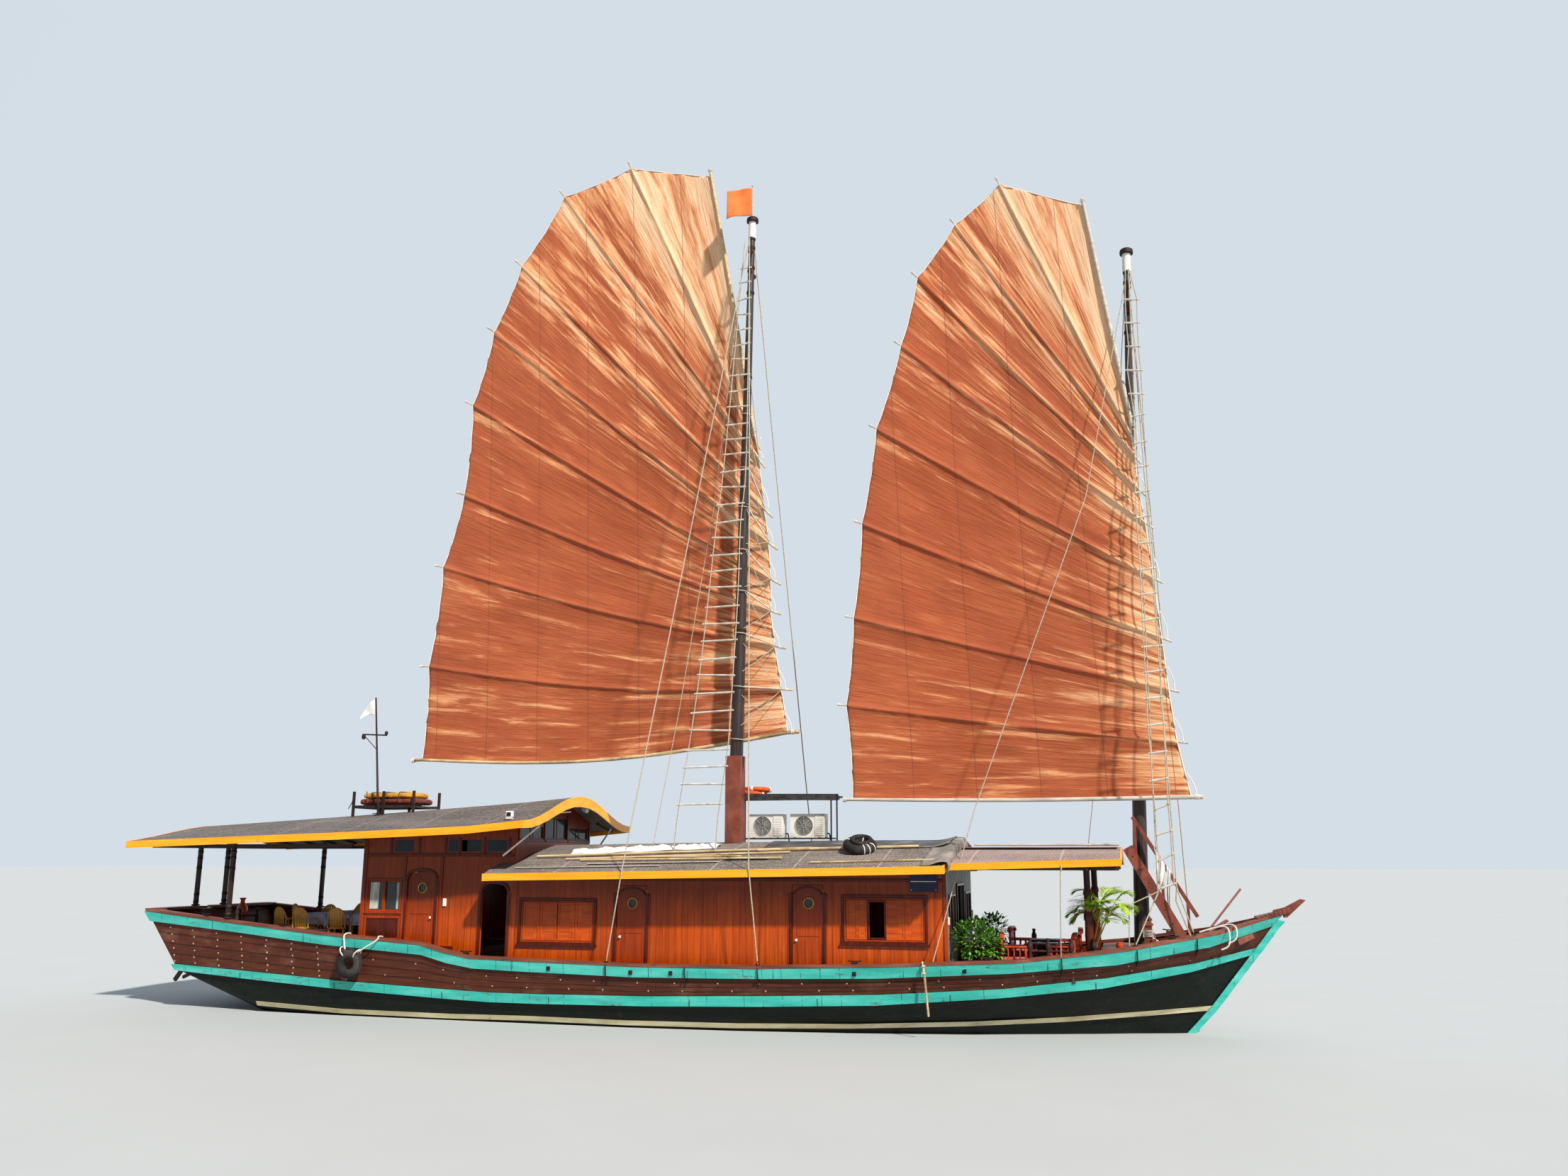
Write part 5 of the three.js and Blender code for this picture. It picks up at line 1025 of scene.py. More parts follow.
heads = Shape()
irons = Shape()
blocks = Shape()
for foot, head, r1 in ((MAIN_FOOT, MAIN_HEAD, 0.075), (FORE_FOOT, FORE_HEAD, 0.07)):
    top = head
    d = (head - foot).normalized()
    # domed cap, white band under it, iron bands lower down
    irons.lathe([(0.0, 0.115), (0.06, 0.11), (0.12, 0.09), (0.151, 0.062), (0.157, 0.03), (0.157, -0.034), (0.14, -0.04), (0.0, -0.04)], top, (0, 0, 1), 24)
    heads.lathe([(0.0, -0.045), (0.098, -0.045), (0.098, -0.50), (0.0, -0.50)], top, d, 24)
    for dz in (0.52, 0.78, 1.35, 2.05):
        z = head.z - dz
        c = Vector((mast_x(foot, head, z), 0, z))
        r = mast_r(foot, head, z, 0.165, r1)
        irons.lathe([(r + 0.001, -0.04), (r + 0.014, -0.036), (r + 0.014, 0.036), (r + 0.001, 0.04)], c, d, 24)
        irons.torus(c + Vector((0, -(r + 0.03), 0)), (1, 0, 0), 0.03, 0.009, 12, 6)
        irons.torus(c + Vector((0, r + 0.03, 0)), (1, 0, 0), 0.03, 0.009, 12, 6)
    for z in (head.z - 4.4, head.z - 7.8, head.z - 11.0):
        if z < foot.z + 1:
            continue
        c = Vector((mast_x(foot, head, z), 0, z))
        r = mast_r(foot, head, z, 0.165, r1)
        irons.lathe([(r + 0.001, -0.03), (r + 0.010, -0.027), (r + 0.010, 0.027), (r + 0.001, 0.03)], c, d, 24)
    # wooden blocks on short strops
    for dz, side in ((0.86, -1), (1.42, -1), (1.42, 1)):
        z = head.z - dz
        c = Vector((mast_x(foot, head, z) + 0.02, side * (mast_r(foot, head, z, 0.165, r1) + 0.075), z - 0.10))
        blocks.lathe([(0, -0.028), (0.05, -0.028), (0.07, -0.02), (0.07, -0.008), (0.055, 0.0), (0.07, 0.008), (0.07, 0.02), (0.05, 0.028), (0, 0.028)], c, (0, 1, 0), 16)
        irons.tube([c + Vector((0, 0, 0.06)), c + Vector((0, -0.01 * side, 0.10)), c + Vector((0, -0.05 * side, 0.13))], 0.008, 6)
heads.make("masthead_collars", M_WHITE, slot="white_metal")
irons.make("masthead_irons", M_IRON, slot="steel")
blocks.make("masthead_blocks", M_TRIM, slot="dark_wood")

ladders = Shape()
legs = Shape()
MAIN_LEFT = [(1.36, -0.19, 19.30), (0.989, -0.518, 13.425), (0.798, -0.632, 11.348), (0.673, -0.718, 9.772), (0.497, -0.831, 7.721), (0.31, -0.917, 6.146), (0.101, -1.0, 4.637), (0.04, -1.03, 4.02), (0.03, -1.05, 3.72)]
MAIN_RIGHT = [(1.50, -0.21, 19.30), (1.549, -0.521, 13.372), (1.443, -0.618, 11.599), (1.419, -0.723, 9.678), (1.319, -0.866, 7.083), (1.275, -0.919, 6.122), (1.094, -1.001, 4.627), (1.047, -1.039, 3.95), (1.04, -1.06, 3.72)]


def on_line(pts, z):
    for a, b in zip(pts, pts[1:]):
        if a[2] >= z >= b[2]:
            return Vector(a).lerp(Vector(b), (a[2] - z) / (a[2] - b[2]))
    return Vector(pts[0] if z > pts[0][2] else pts[-1])


def spline(pts, n=6):
    """Smooth points through a polyline."""
    P = [Vector(p) for p in pts]
    out = []
    for i in range(len(P) - 1):
        p0, p1, p2, p3 = P[max(i - 1, 0)], P[i], P[i + 1], P[min(i + 2, len(P) - 1)]
        for j in range(n):
            t = j / n
            out.append(0.5 * ((2 * p1) + (p2 - p0) * t + (2 * p0 - 5 * p1 + 4 * p2 - p3) * t * t + (3 * p1 - p0 - 3 * p2 + p3) * t ** 3))
    out.append(P[-1])
    return out


legs.tube(spline(MAIN_LEFT, 4), 0.013, 6)
legs.tube(spline(MAIN_RIGHT, 4), 0.013, 6)
z = 18.55
step = 0
while z > 4.72:
    a, b = on_line(MAIN_LEFT, z + 0.03 * math.sin(step * 2.3)), on_line(MAIN_RIGHT, z + 0.02 * math.sin(step * 1.7))
    d = (b - a).normalized()
    over = 0.05 + 0.03 * rnd.random()
    ladders.tube([a - d * over, a.lerp(b, 0.5), b + d * over], [0.020, 0.023, 0.020], 8)
    for p in (a, b):
        legs.torus(p, d, 0.026, 0.008, 10, 5)
    z -= 0.43 + 0.02 * math.sin(step)
    step += 1

FORE_LEFT_Z = [(10.83, -0.16, 17.05)]


def fore_ladder_point(px, py):
    """A point of the fore ladder by its place in a 2212-pixel frame, in the leaning plane that the ladder hangs in."""
    f = 27.99 / 36 * 2212
    a = math.radians(12.45)
    b = math.radians(15.87)
    right = Vector((math.cos(b), math.sin(b), 0))
    fwd = Vector((-math.sin(b) * math.cos(a), math.cos(b) * math.cos(a), math.sin(a)))
    up = right.cross(fwd)
    d = fwd * f + right * (px - 1106) - up * (py - 829.5)
    o = Vector((10.35, -28.06, 3.57))
    # plane through the masthead and the rail, leaning out to starboard
    lean = 0.095
    t = (-0.18 - (17.05 - o.z) * lean - o.y) / (d.y - lean * d.z)
    return o + d * t


FORE_RUNGS = [(422.5, 1584.7, 1606.4, 422.5), (455.3, 1586.3, 1607, 455.3), (488.8, 1589.5, 1608.6, 488.8), (522.3, 1587.9, 1611.8, 522.3), (555.5, 1592.7, 1614, 555.5),
              (587.7, 1597.5, 1615, 583.5), (626, 1597.5, 1617.6, 621.8), (660, 1599, 1619.8, 656.2), (696, 1599, 1622, 691.3), (731, 1600.6, 1623, 727), (766.9, 1603.2, 1627.8, 764.6),
              (804.2, 1605.6, 1630.5, 800.7), (839.3, 1607.4, 1632.3, 835.8), (876.1, 1609.1, 1634.7, 871.9), (912.9, 1610.9, 1639.3, 910.5), (949.1, 1612.6, 1640, 945.6),
              (985.9, 1614.7, 1640, 983.1), (1023.8, 1616.1, 1644.2, 1020.3), (1063.1, 1620.7, 1646.3, 1059.6), (1102.3, 1622.5, 1648.1, 1097.4), (1143, 1627, 1650.5, 1133.2),
              (1178.8, 1628.8, 1654, 1170.8), (1215.6, 1631.9, 1655.8, 1203.4), (1254, 1634.9, 1659, 1246)]
fl, fr = [], []
for yl, xl, xr, yr in FORE_RUNGS:
    a, b = fore_ladder_point(xl, yl), fore_ladder_point(xr, yr)
    d = (b - a).normalized()
    fl.append(a + d * 0.04)
    fr.append(b - d * 0.04)
    ladders.tube([a - d * 0.01, a.lerp(b, 0.5), b + d * 0.01], [0.021, 0.024, 0.021], 8)
    for p in (fl[-1], fr[-1]):
        legs.torus(p, d, 0.026, 0.008, 10, 5)
legs.tube([Vector((10.86, -0.15, 17.2))] + fl, 0.013, 6)
legs.tube([Vector((10.95, -0.16, 17.2))] + fr, 0.013, 6)
ladders.make("ladder_rungs", M_RUNG, slot="rail_wood", shade=40)
legs.make("ladder_ropes", M_ROPE, slot="rope", shade=40)

# ahead of the main mast the poles show on the starboard side, and lines lead from their ends to the mast
lp, lr = Shape(), Shape()
for v in range(2, 10):
    e = sail_at("main", v, 0)
    e = Vector((e.x + 0.05, e.y - 0.085, e.z))
    q = sail_at("main", v, 0.125)
    mz = q.z
    m = Vector((mast_x(MAIN_FOOT, MAIN_HEAD, mz) + 0.10, min(q.y - 0.075, -0.02), mz))
    if v < 9:
        lp.tube([m, m.lerp(e, 0.5), e], [0.024, 0.022, 0.020], 8)
    for dz in (1.05, -0.95):
        if 6.3 < m.z + dz < 18.5:
            g = Vector((mast_x(MAIN_FOOT, MAIN_HEAD, m.z + dz) + mast_r(MAIN_FOOT, MAIN_HEAD, m.z + dz) * 0.8, -mast_r(MAIN_FOOT, MAIN_HEAD, m.z + dz) * 0.7, m.z + dz))
            lr.tube([g, g.lerp(e, 0.5) + Vector((0, 0, -0.03)), e], 0.009, 5)
    lr.torus(m + Vector((-0.10, 0, 0)), (0.1, 0, 1), mast_r(MAIN_FOOT, MAIN_HEAD, mz) + 0.02, 0.012, 22, 6)
lp.make("main_sail_luff_poles", M_POLE_GREY, "main_sail", "bamboo", 50)
lr.make("main_sail_luff_lines", M_ROPE, "main_sail", "rope", 50)


# ------------------------------------------------------------------ hull fittings
plugs = Shape()
x = -12.7
while x < 11.4:
    rows = (0.10, 0.27, 0.44, 0.61, 0.78, 0.93) if x < -7.2 else (0.30, 0.72)
    for side in (-1, 1):
        for kk in rows:
            jit = 0.018 * math.sin(x * 7.1 + kk * 19) + (0.10 * kk if x < -7.2 else 0.55 * kk + 0.12 * math.sin(x * 3.3 + kk * 5))
            c, n = hull_between(x + jit, "sheer", "rubTop", kk)
            if c.y < 0.5:
                continue
            c, n = out_of(c, side), Vector((n.x, n.y * side, n.z))
            plugs.lathe([(0.0, -0.001), (0.024 if x < -7.2 else 0.019, 0.0015), (0.018 if x < -7.2 else 0.015, 0.006), (0.0, 0.007)], c, n, 7)
    x += 0.74 if x < -7.2 else 0.92
plugs.make("nail_plugs", simple("plug_filler", srgb(150, 120, 100), srgb(198, 176, 156), 20.0, (0.6, 0.8)), slot="rail_cream", shade=0)

# seams of the planking, caulked, raised a hair over the planks
caulk = Shape()
for side in (-1, 1):
    for kk in (0.26, 0.50, 0.75):
        pts = []
        x = -12.9
        while x < 12.2:
            c, n = hull_between(x, "sheer", "rubTop", kk)
            if c.y > 0.25:
                pts.append(out_of(c + n * 0.001, side))
            x += 0.5
        caulk.tube(pts, 0.0045, 4)
caulk.make("plank_seams", M_DARK, slot="hull_paint", shade=30)

# dark iron straps of the shrouds over the sheer strake, with scuppers between
straps = Shape()
for side in (-1, 1):
    for x in (-0.84, 0.97, 2.57, 8.72, 10.18, 11.36):
        a, n = hull_between(x, "cap", "sheer", 0.0)
        b, m = hull_between(x, "sheer", "rubTop", 0.42)
        w = 0.075
        prev = None
        for kk in (0.14, 0.55, 1.0):
            c, n = hull_between(x, "cap", "sheer", kk)
            p = out_of(c + n * 0.072, side)
            if prev is not None:
                straps.beam(prev, p, 0.055, 0.012, 0.003, up=(1, 0, 0))
            prev = p
        c1, n1 = hull_between(x, "sheer", "rubTop", 0.03)
        p1 = out_of(c1 + n1 * 0.008, side)
        straps.beam(prev, p1, 0.055, 0.012, 0.003, up=(1, 0, 0))
        p2 = out_of(b + m * 0.008, side)
        straps.beam(p1, p2, 0.055, 0.012, 0.003, up=(1, 0, 0))
        for q in (0.3, 0.8):
            straps.ball(p1.lerp(p2, q) + Vector((0, side * 0.008, 0)), 0.014, 0.6, (0, side, 0), 8, 4)
    for x in (-0.26, 0.65, 6.82, -2.2, 4.6):
        c, n = hull_between(x, "cap", "sheer", 0.62)
        m = out_of(c + n * 0.062, side)
        straps.box(m.x - 0.042, m.x + 0.042, m.y - 0.012, m.y + 0.012, m.z - 0.045, m.z + 0.045, 0.006)
# eyes that the shrouds end in
for side in (-1, 1):
    for x in (-0.84, 2.57, 10.18, 11.34):
        if side > 0 and x < 0:
            continue
        c = Vector((x, side * (half_at(x) + 0.02), cap_z(x) + 0.03))
        straps.torus(c + Vector((0, 0, 0.02)), (1, 0, 0), 0.034, 0.010, 14, 6)
        straps.lathe([(0.0, -0.02), (0.05, -0.018), (0.05, -0.006), (0.0, -0.006)], c, (0, 0, 1), 12)
straps.make("shroud_straps", M_IRON, slot="steel", shade=30)

# bare scuffs: planks let into the turquoise strakes
butts = Shape()
for side in (-1, 1):
    for x in (-11.3, -8.6, -5.75, -3.1, 0.15, 2.9, 5.6, 8.45, 10.9):
        for top, bot, out in (("cap", "sheer", 0.0555), ("rubTop", "rubBot", 0.0655)):
            xx = x + (0.9 if top == "rubTop" else 0)
            a, n = hull_between(xx, top, bot, 0.2)
            b, m = hull_between(xx, top, bot, 0.92)
            butts.beam(out_of(a + n * out, side), out_of(b + m * out, side), 0.012, 0.006, 0.001, up=(1, 0, 0))
butts.make("strake_butts", M_DARK, slot="strake_paint", shade=0)

# plates under the stern and at the stem
small = Shape()
for side in (-1, 1):
    small.beam((-12.42, side * 2.05, 0.86), (-12.62, side * 2.02, 0.62), 0.07, 0.10, 0.01)
    small.beam((-12.10, side * 2.10, 0.80), (-12.34, side * 2.07, 0.70), 0.06, 0.08, 0.01)
small.make("quarter_brackets", M_DARK, slot="dark_wood")
cheek = Shape()
for side in (-1, 1):
    a, n = hull_between(12.18, "cap", "sheer", 1.25)
    b, m = hull_between(12.50, "cap", "sheer", 1.10)
    cheek.beam(out_of(a + n * 0.03, side), out_of(b + m * 0.03, side), 0.05, 0.16, 0.012, up=(0, 0, 1))
cheek.make("bow_cheeks", M_RAIL, slot="rail_wood")

# ropes of the tyre, a fender pole on lanyards, a rope hanging over the bow rail
hang = Shape()
tx, ty, tz = -7.20, -(half_at(-7.2) + 0.165), 1.19
for x0, x1 in ((-7.42, -7.30), (-6.55, -7.00)):
    top = Vector((x0, -(half_at(x0) + 0.02), cap_z(x0) + 0.03))
    low = Vector((x1, ty - 0.01, tz + 0.24))
    mid = Vector((x0, -(half_at(x0) + 0.11), cap_z(x0) - 0.05))
    hang.tube(spline([top + Vector((0, 0.16, -0.01)), top, mid, low, low + Vector((0.02, 0.06, -0.05))], 5), 0.016, 7)
hang.torus((tx - 0.16, ty, tz + 0.26), (1, 0, 0.5), 0.115, 0.014, 16, 6)
hang.torus((tx + 0.20, ty, tz + 0.22), (1, 0, -0.7), 0.115, 0.014, 16, 6)
for zz in (1.42, 1.28):
    hang.torus((6.03, -(half_at(6.03) + 0.115), zz), (0, 0, 1), 0.034, 0.010, 12, 6)
hang.tube(spline([(6.0, -(half_at(6.03) - 0.10), 1.47), (6.0, -(half_at(6.03) + 0.06), 1.49), (6.02, -(half_at(6.03) + 0.12), 1.43), (6.03, -(half_at(6.03) + 0.115), 1.30)], 5), 0.012, 6)
hang.make("fender_lanyards", M_ROPE_WHITE, slot="rope")
pole = Shape()
pts = [Vector((6.03 + 0.006 * i, -(half_at(6.03) + 0.115) + 0.012 * i, 1.44 - 0.10 * i)) for i in range(11)]
pole.tube(pts, [0.022 + (0.004 if i % 3 == 0 else 0) for i in range(11)], 9)
pole.make("fender_pole", M_BAMBOO, slot="bamboo")
tread = Shape()
for i in range(30):
    a = 2 * math.pi * i / 30
    for yy in (-0.045, 0.0, 0.045):
        c = Vector((tx + 0.326 * math.cos(a + yy), ty + yy, tz + 0.326 * math.sin(a + yy)))
        d = Vector((-math.sin(a), 0, math.cos(a)))
        tread.beam(c - d * 0.022, c + d * 0.022, 0.026, 0.014, 0.003, up=(math.cos(a), 0, math.sin(a)))
tread.make("tyre_tread", M_RUBBER, slot="tyre_rubber", shade=0)
fair = Shape()
for side in (-1, 1):                       # small tarred cleats and fairleads along the rail
    for x in (-11.6, -9.3, -4.3, 4.6, 7.3, 10.9):
        c = Vector((x, side * (half_at(x) - 0.06), cap_z(x) + 0.012))
        fair.box(c.x - 0.07, c.x + 0.07, c.y - 0.022, c.y + 0.022, c.z - 0.012, c.z + 0.02, 0.006)
        fair.tube([c + Vector((-0.14, 0, 0.055)), c + Vector((-0.07, 0, 0.042)), c + Vector((0.07, 0, 0.042)), c + Vector((0.14, 0, 0.055))], 0.014, 8)
        fair.tube([c + Vector((-0.04, 0, 0.0)), c + Vector((-0.04, 0, 0.045))], 0.014, 8)
        fair.tube([c + Vector((0.04, 0, 0.0)), c + Vector((0.04, 0, 0.045))], 0.014, 8)
fair.make("rail_cleats", M_IRON, slot="steel")


# ------------------------------------------------------------------ the deckhouse: frames, mouldings, glass
WY = 1.98
DOORS = [("galley", -6.30, -5.56, 1.47, 3.24, 0.20, "aft", False), ("passage", -4.33, -3.68, 1.12, 2.96, 0.20, "fore", True),
         ("cabin_aft", -0.95, -0.25, 1.12, 2.94, 0.0, "fore", False), ("cabin_fore", 3.12, 3.80, 1.12, 2.98, 0.0, "fore", False)]
kg = Mat("pane_glass")
kg.set(kg.mix(kg.noise(kg.obj, 2.2, 3), (0.008, 0.010, 0.011, 1), (0.035, 0.042, 0.045, 1)), kg.ramp(kg.noise(kg.obj, 5.0, 3), [(0.3, 0.03), (0.8, 0.10)]))
kg.b.inputs["Specular IOR Level"].default_value = 0.4
M_GLASS = kg.m
M_DARKROOM = simple("unlit_inside", (0.006, 0.005, 0.005, 1), (0.014, 0.011, 0.010, 1), 3.0, (0.8, 0.95))


def wall_y(side, off):
    return side * (WY + off)


def frame_rect(s, side, x0, x1, z0, z1, w, t0, t1, ch=0.006, sill=0.0):
    """A rectangular casing of bars of width w, from t0 to t1 proud of the wall."""
    a, b = wall_y(side, t0), wall_y(side, t1)
    s.box(x0, x1, a, b, z1 - w, z1, ch)
    s.box(x0, x1, a, b, z0, z0 + w, ch)
    s.box(x0, x0 + w, a, b, z0 + w, z1 - w, ch)
    s.box(x1 - w, x1, a, b, z0 + w, z1 - w, ch)
    if sill:
        s.box(x0 - 0.03, x1 + 0.03, wall_y(side, t0), wall_y(side, t1 + sill), z0 - 0.018, z0 + 0.022, ch)


trim = Shape()
light = Shape()
for side in (-1, 1):
    # door casings
    for name, x0, x1, z0, z1, rise, hinge, opened in DOORS:
        g, w = 0.006, 0.062
        a, b = wall_y(side, 0.001), wall_y(side, 0.034)
        top = z1 - (rise or 0.20)
        trim.box(x0 - g - w, x0 - g, a, b, z0 - 0.02, top, 0.006)
        trim.box(x1 + g, x1 + g + w, a, b, z0 - 0.02, top, 0.006)
        light.box(x0 - g - w - 0.03, x0 - g - w + 0.001, a, wall_y(side, 0.020), z0 - 0.02, top, 0.004)
        light.box(x1 + g + w - 0.001, x1 + g + w + 0.03, a, wall_y(side, 0.020), z0 - 0.02, top, 0.004)
        if rise:
            prev = None
            xm = (x0 + x1) / 2
            for i in range(17):
                t = i / 16
                # the arch of the leaf, two quadratic curves
                if t <= 0.5:
                    u = t * 2
                    p = (lerp(lerp(x0, x0, u), lerp(x0, xm, u), u), lerp(lerp(top, z1, u), lerp(z1, z1, u), u))
                else:
                    u = t * 2 - 1
                    p = (lerp(lerp(xm, x1, u), lerp(x1, x1, u), u), lerp(lerp(z1, z1, u), lerp(z1, top, u), u))
                c = Vector((xm, 0, top - 0.25))
                v = Vector((p[0], 0, p[1])) - c
                q = c + v * (1 + (g + w / 2) / v.length)
                q.y = wall_y(side, 0.0175)
                if prev is not None:
                    trim.beam(prev, q, 0.033, w, 0.004)
                prev = q
        else:
            for xa, xb in ((x0 - g - w, x0 - g), (x1 + g, x1 + g + w)):
                trim.lathe([(0.0, 0.001), (w * 0.62, 0.001), (w * 0.62, 0.034), (w * 0.5, 0.040), (0.0, 0.040)], ((xa + xb) / 2, wall_y(side, 0.0), top), (0, side, 0), 16)
        light.box(x0 - 0.06, x1 + 0.06, wall_y(side, -0.05), wall_y(side, 0.045), z0 - 0.035, z0 - 0.008, 0.005)
    # window casings with a sill
    frame_rect(trim, side, -3.36, -1.44, 1.63, 2.66, 0.055, 0.001, 0.040, sill=0.022)
    frame_rect(light, side, -3.30, -1.50, 1.69, 2.60, 0.030, 0.001, 0.022)
    frame_rect(trim, side, 4.20, 6.05, 1.775, 2.79, 0.055, 0.001, 0.040, sill=0.022)
    frame_rect(light, side, 4.26, 5.99, 1.835, 2.73, 0.030, 0.001, 0.022)
    frame_rect(trim, side, 4.755, 5.165, 1.88, 2.68, 0.040, -0.012, 0.016)
    # the two-pane window aft, over a sunk panel
    frame_rect(light, side, -7.42, -6.44, 2.29, 3.08, 0.055, 0.001, 0.024, sill=0.02)
    light.box(-6.965, -6.895, wall_y(side, 0.001), wall_y(side, 0.02), 2.33, 3.04, 0.004)
    frame_rect(light, side, -7.42, -6.44, 1.66, 2.22, 0.06, 0.001, 0.026)
    trim.box(-7.36, -6.50, wall_y(side, 0.001), wall_y(side, 0.006), 1.72, 2.16, 0.002)
    # corner posts, the rail under the clerestory and the boards along the deck
    for x0, x1, z0, z1 in ((-7.545, -7.44, 1.47, 3.98), (-6.43, -6.37, 1.47, 3.60), (-5.45, -5.38, 1.47, 3.60), (6.38, 6.445, 1.10, 3.24)):
        light.box(x0, x1, wall_y(side, 0.001), wall_y(side, 0.026), z0, z1, 0.005)
    trim.box(-7.545, -3.56, wall_y(side, 0.001), wall_y(side, 0.030), 3.585, 3.655, 0.006)
    for x in (-6.80, -6.05, -5.35, -4.98, -4.33, -3.68):
        trim.box(x - 0.03, x + 0.03, wall_y(side, 0.001), wall_y(side, 0.022), 3.655, 4.02, 0.004)
    trim.box(-3.50, 6.40, wall_y(side, 0.001), wall_y(side, 0.030), 3.06, 3.12, 0.006)
    for a0, a1 in ((-7.545, -6.42), (-5.44, -5.01)):
        trim.box(a0, a1, wall_y(side, 0.001), wall_y(side, 0.022), 1.475, 1.56, 0.005)
    for a0, a1 in ((-4.98, -4.44), (-3.58, -1.05), (-0.14, 3.02), (3.90, 6.43)):
        trim.box(a0, a1, wall_y(side, 0.001), wall_y(side, 0.022), 1.105, 1.18, 0.005)
    # a wide middle board stands a little proud between the cabins
    for x in (1.08, 2.40, -3.44, 4.02, 6.20):
        light.box(x - 0.02, x + 0.02, wall_y(side, 0.0005), wall_y(side, 0.010), 1.18, 3.06, 0.003)
trim.make("house_casings", M_TRIM, slot="varnished_wood", shade=30)
light.make("house_mouldings", M_DOOR, slot="varnished_wood", shade=30)

# panels of the shutters
sh = Shape()
rails = Shape()
for side in (-1, 1):
    a, b = wall_y(side, -0.0095), wall_y(side, 0.0)
    for i in range(4):
        x0 = -3.27 + i * 0.435 + 0.012
        x1 = x0 + 0.411
        frame_rect(sh, side, x0, x1, 1.735, 2.565, 0.045, -0.0095, 0.004, 0.003)
        if i in (1, 2):
            for zz in (1.94, 2.15, 2.36):
                sh.box(x0 + 0.045, x1 - 0.045, a, wall_y(side, -0.002), zz - 0.014, zz + 0.014, 0.002)
    for x0, x1 in ((4.31, 4.555), (4.565, 4.755), (5.165, 5.555), (5.565, 5.95)):
        frame_rect(sh, side, x0, x1, 1.875, 2.685, 0.035, -0.0095, 0.004, 0.003)
        if x0 > 4.5 and x0 < 5.3:
            for zz in (2.02, 2.17, 2.32, 2.47):
                sh.box(x0 + 0.035, x1 - 0.035, a, wall_y(side, -0.002), zz - 0.010, zz + 0.010, 0.002)
sh.make("shutter_panels", M_SHUT, slot="varnished_wood", shade=30)

# glass of the windows, a little behind the wall face
gl = Shape()
for side in (-1, 1):
    for x0, x1, z0, z1 in ((-7.335, -6.965, 2.365, 2.995), (-6.895, -6.525, 2.365, 2.995)):
        gl.box(x0, x1, side * 1.945, side * 1.951, z0, z1, 0.001)
    for x0 in (-6.72, -5.28, -4.92, -4.26):
        gl.box(x0, x0 + 0.50, wall_y(side, 0.0005), wall_y(side, 0.006), 3.70, 3.96, 0.001)
for y0, y1, z0, z1 in ((-1.795, -0.705, 4.025, 4.275), (-0.595, 0.595, 4.025, 4.495), (0.705, 1.795, 4.025, 4.275)):
    gl.box(-3.525, -3.519, y0, y1, z0, z1, 0.001)
for y0, y1 in ((-1.645, -0.855), (0.855, 1.645)):
    gl.box(6.415, 6.421, y0, y1, 1.955, 2.745, 0.001)
for y0, y1 in ((-1.595, -0.805), (0.805, 1.595)):
    gl.box(-7.525, -7.519, y0, y1, 2.305, 3.095, 0.001)
gl.make("window_panes", M_GLASS, slot="varnished_wood", shade=0)
# short curtains hang behind the aft windows, close to the glass
cur = Shape()
for side in (-1, 1):
    for x0, x1 in ((-7.31, -7.10), (-6.60, -6.545)):
        for i in range(9):
            xx = lerp(x0, x1, i / 8)
            cur.tube([(xx, side * 1.9525, 2.375), (xx + 0.004 * math.sin(i), side * 1.9525, 2.985)], 0.016 * (x1 - x0) / 0.21 * (0.8 + 0.2 * math.sin(i * 2.3)), 6)
cur.make("aft_curtains", simple("curtain", srgb(150, 160, 156), srgb(212, 216, 206), 9.0, (0.7, 0.9), 0.2, 0.002, stretch=(3, 3, 0.4)), slot="white_metal", shade=60)

# cross-wall casings: the house front under the canopy, the aft wall and the glazed front of the raised house
cross = Shape()


def cross_rect(s, x, sgn, y0, y1, z0, z1, w, t):
    a, b = x + sgn * 0.001, x + sgn * t
    s.box(a, b, y0 - w, y1 + w, z1, z1 + w, 0.005)
    s.box(a, b, y0 - w, y1 + w, z0 - w, z0, 0.005)
    s.box(a, b, y0 - w, y0, z0, z1, 0.005)
    s.box(a, b, y1, y1 + w, z0, z1, 0.005)


for y0, y1 in ((-1.65, -0.85), (0.85, 1.65)):
    cross_rect(cross, 6.45, 1, y0, y1, 1.95, 2.75, 0.05, 0.03)
    cross.box(6.451, 6.47, (y0 + y1) / 2 - 0.018, (y0 + y1) / 2 + 0.018, 1.95, 2.75, 0.003)
cross_rect(cross, 6.45, 1, -0.50, 0.50, 1.13, 2.95, 0.055, 0.034)
for y0, y1 in ((-1.60, -0.80), (0.80, 1.60)):
    cross_rect(cross, -7.55, -1, y0, y1, 2.30, 3.10, 0.05, 0.03)
cross_rect(cross, -7.55, -1, -0.45, 0.45, 1.52, 3.25, 0.055, 0.034)
for y in (-1.90, -0.62, 0.62, 1.90):
    cross.box(-3.489, -3.462, y - 0.035, y + 0.035, 3.93, 4.60 if abs(y) < 1 else 4.32, 0.005)
cross.box(-3.489, -3.462, -1.93, 1.93, 3.93, 3.99, 0.005)
for y in (-1.25, 0.0, 1.25):
    cross.box(-3.489, -3.470, y - 0.014, y + 0.014, 4.02, 4.28 if y else 4.50, 0.003)
cross.make("cross_wall_casings", M_TRIM, slot="varnished_wood", shade=30)

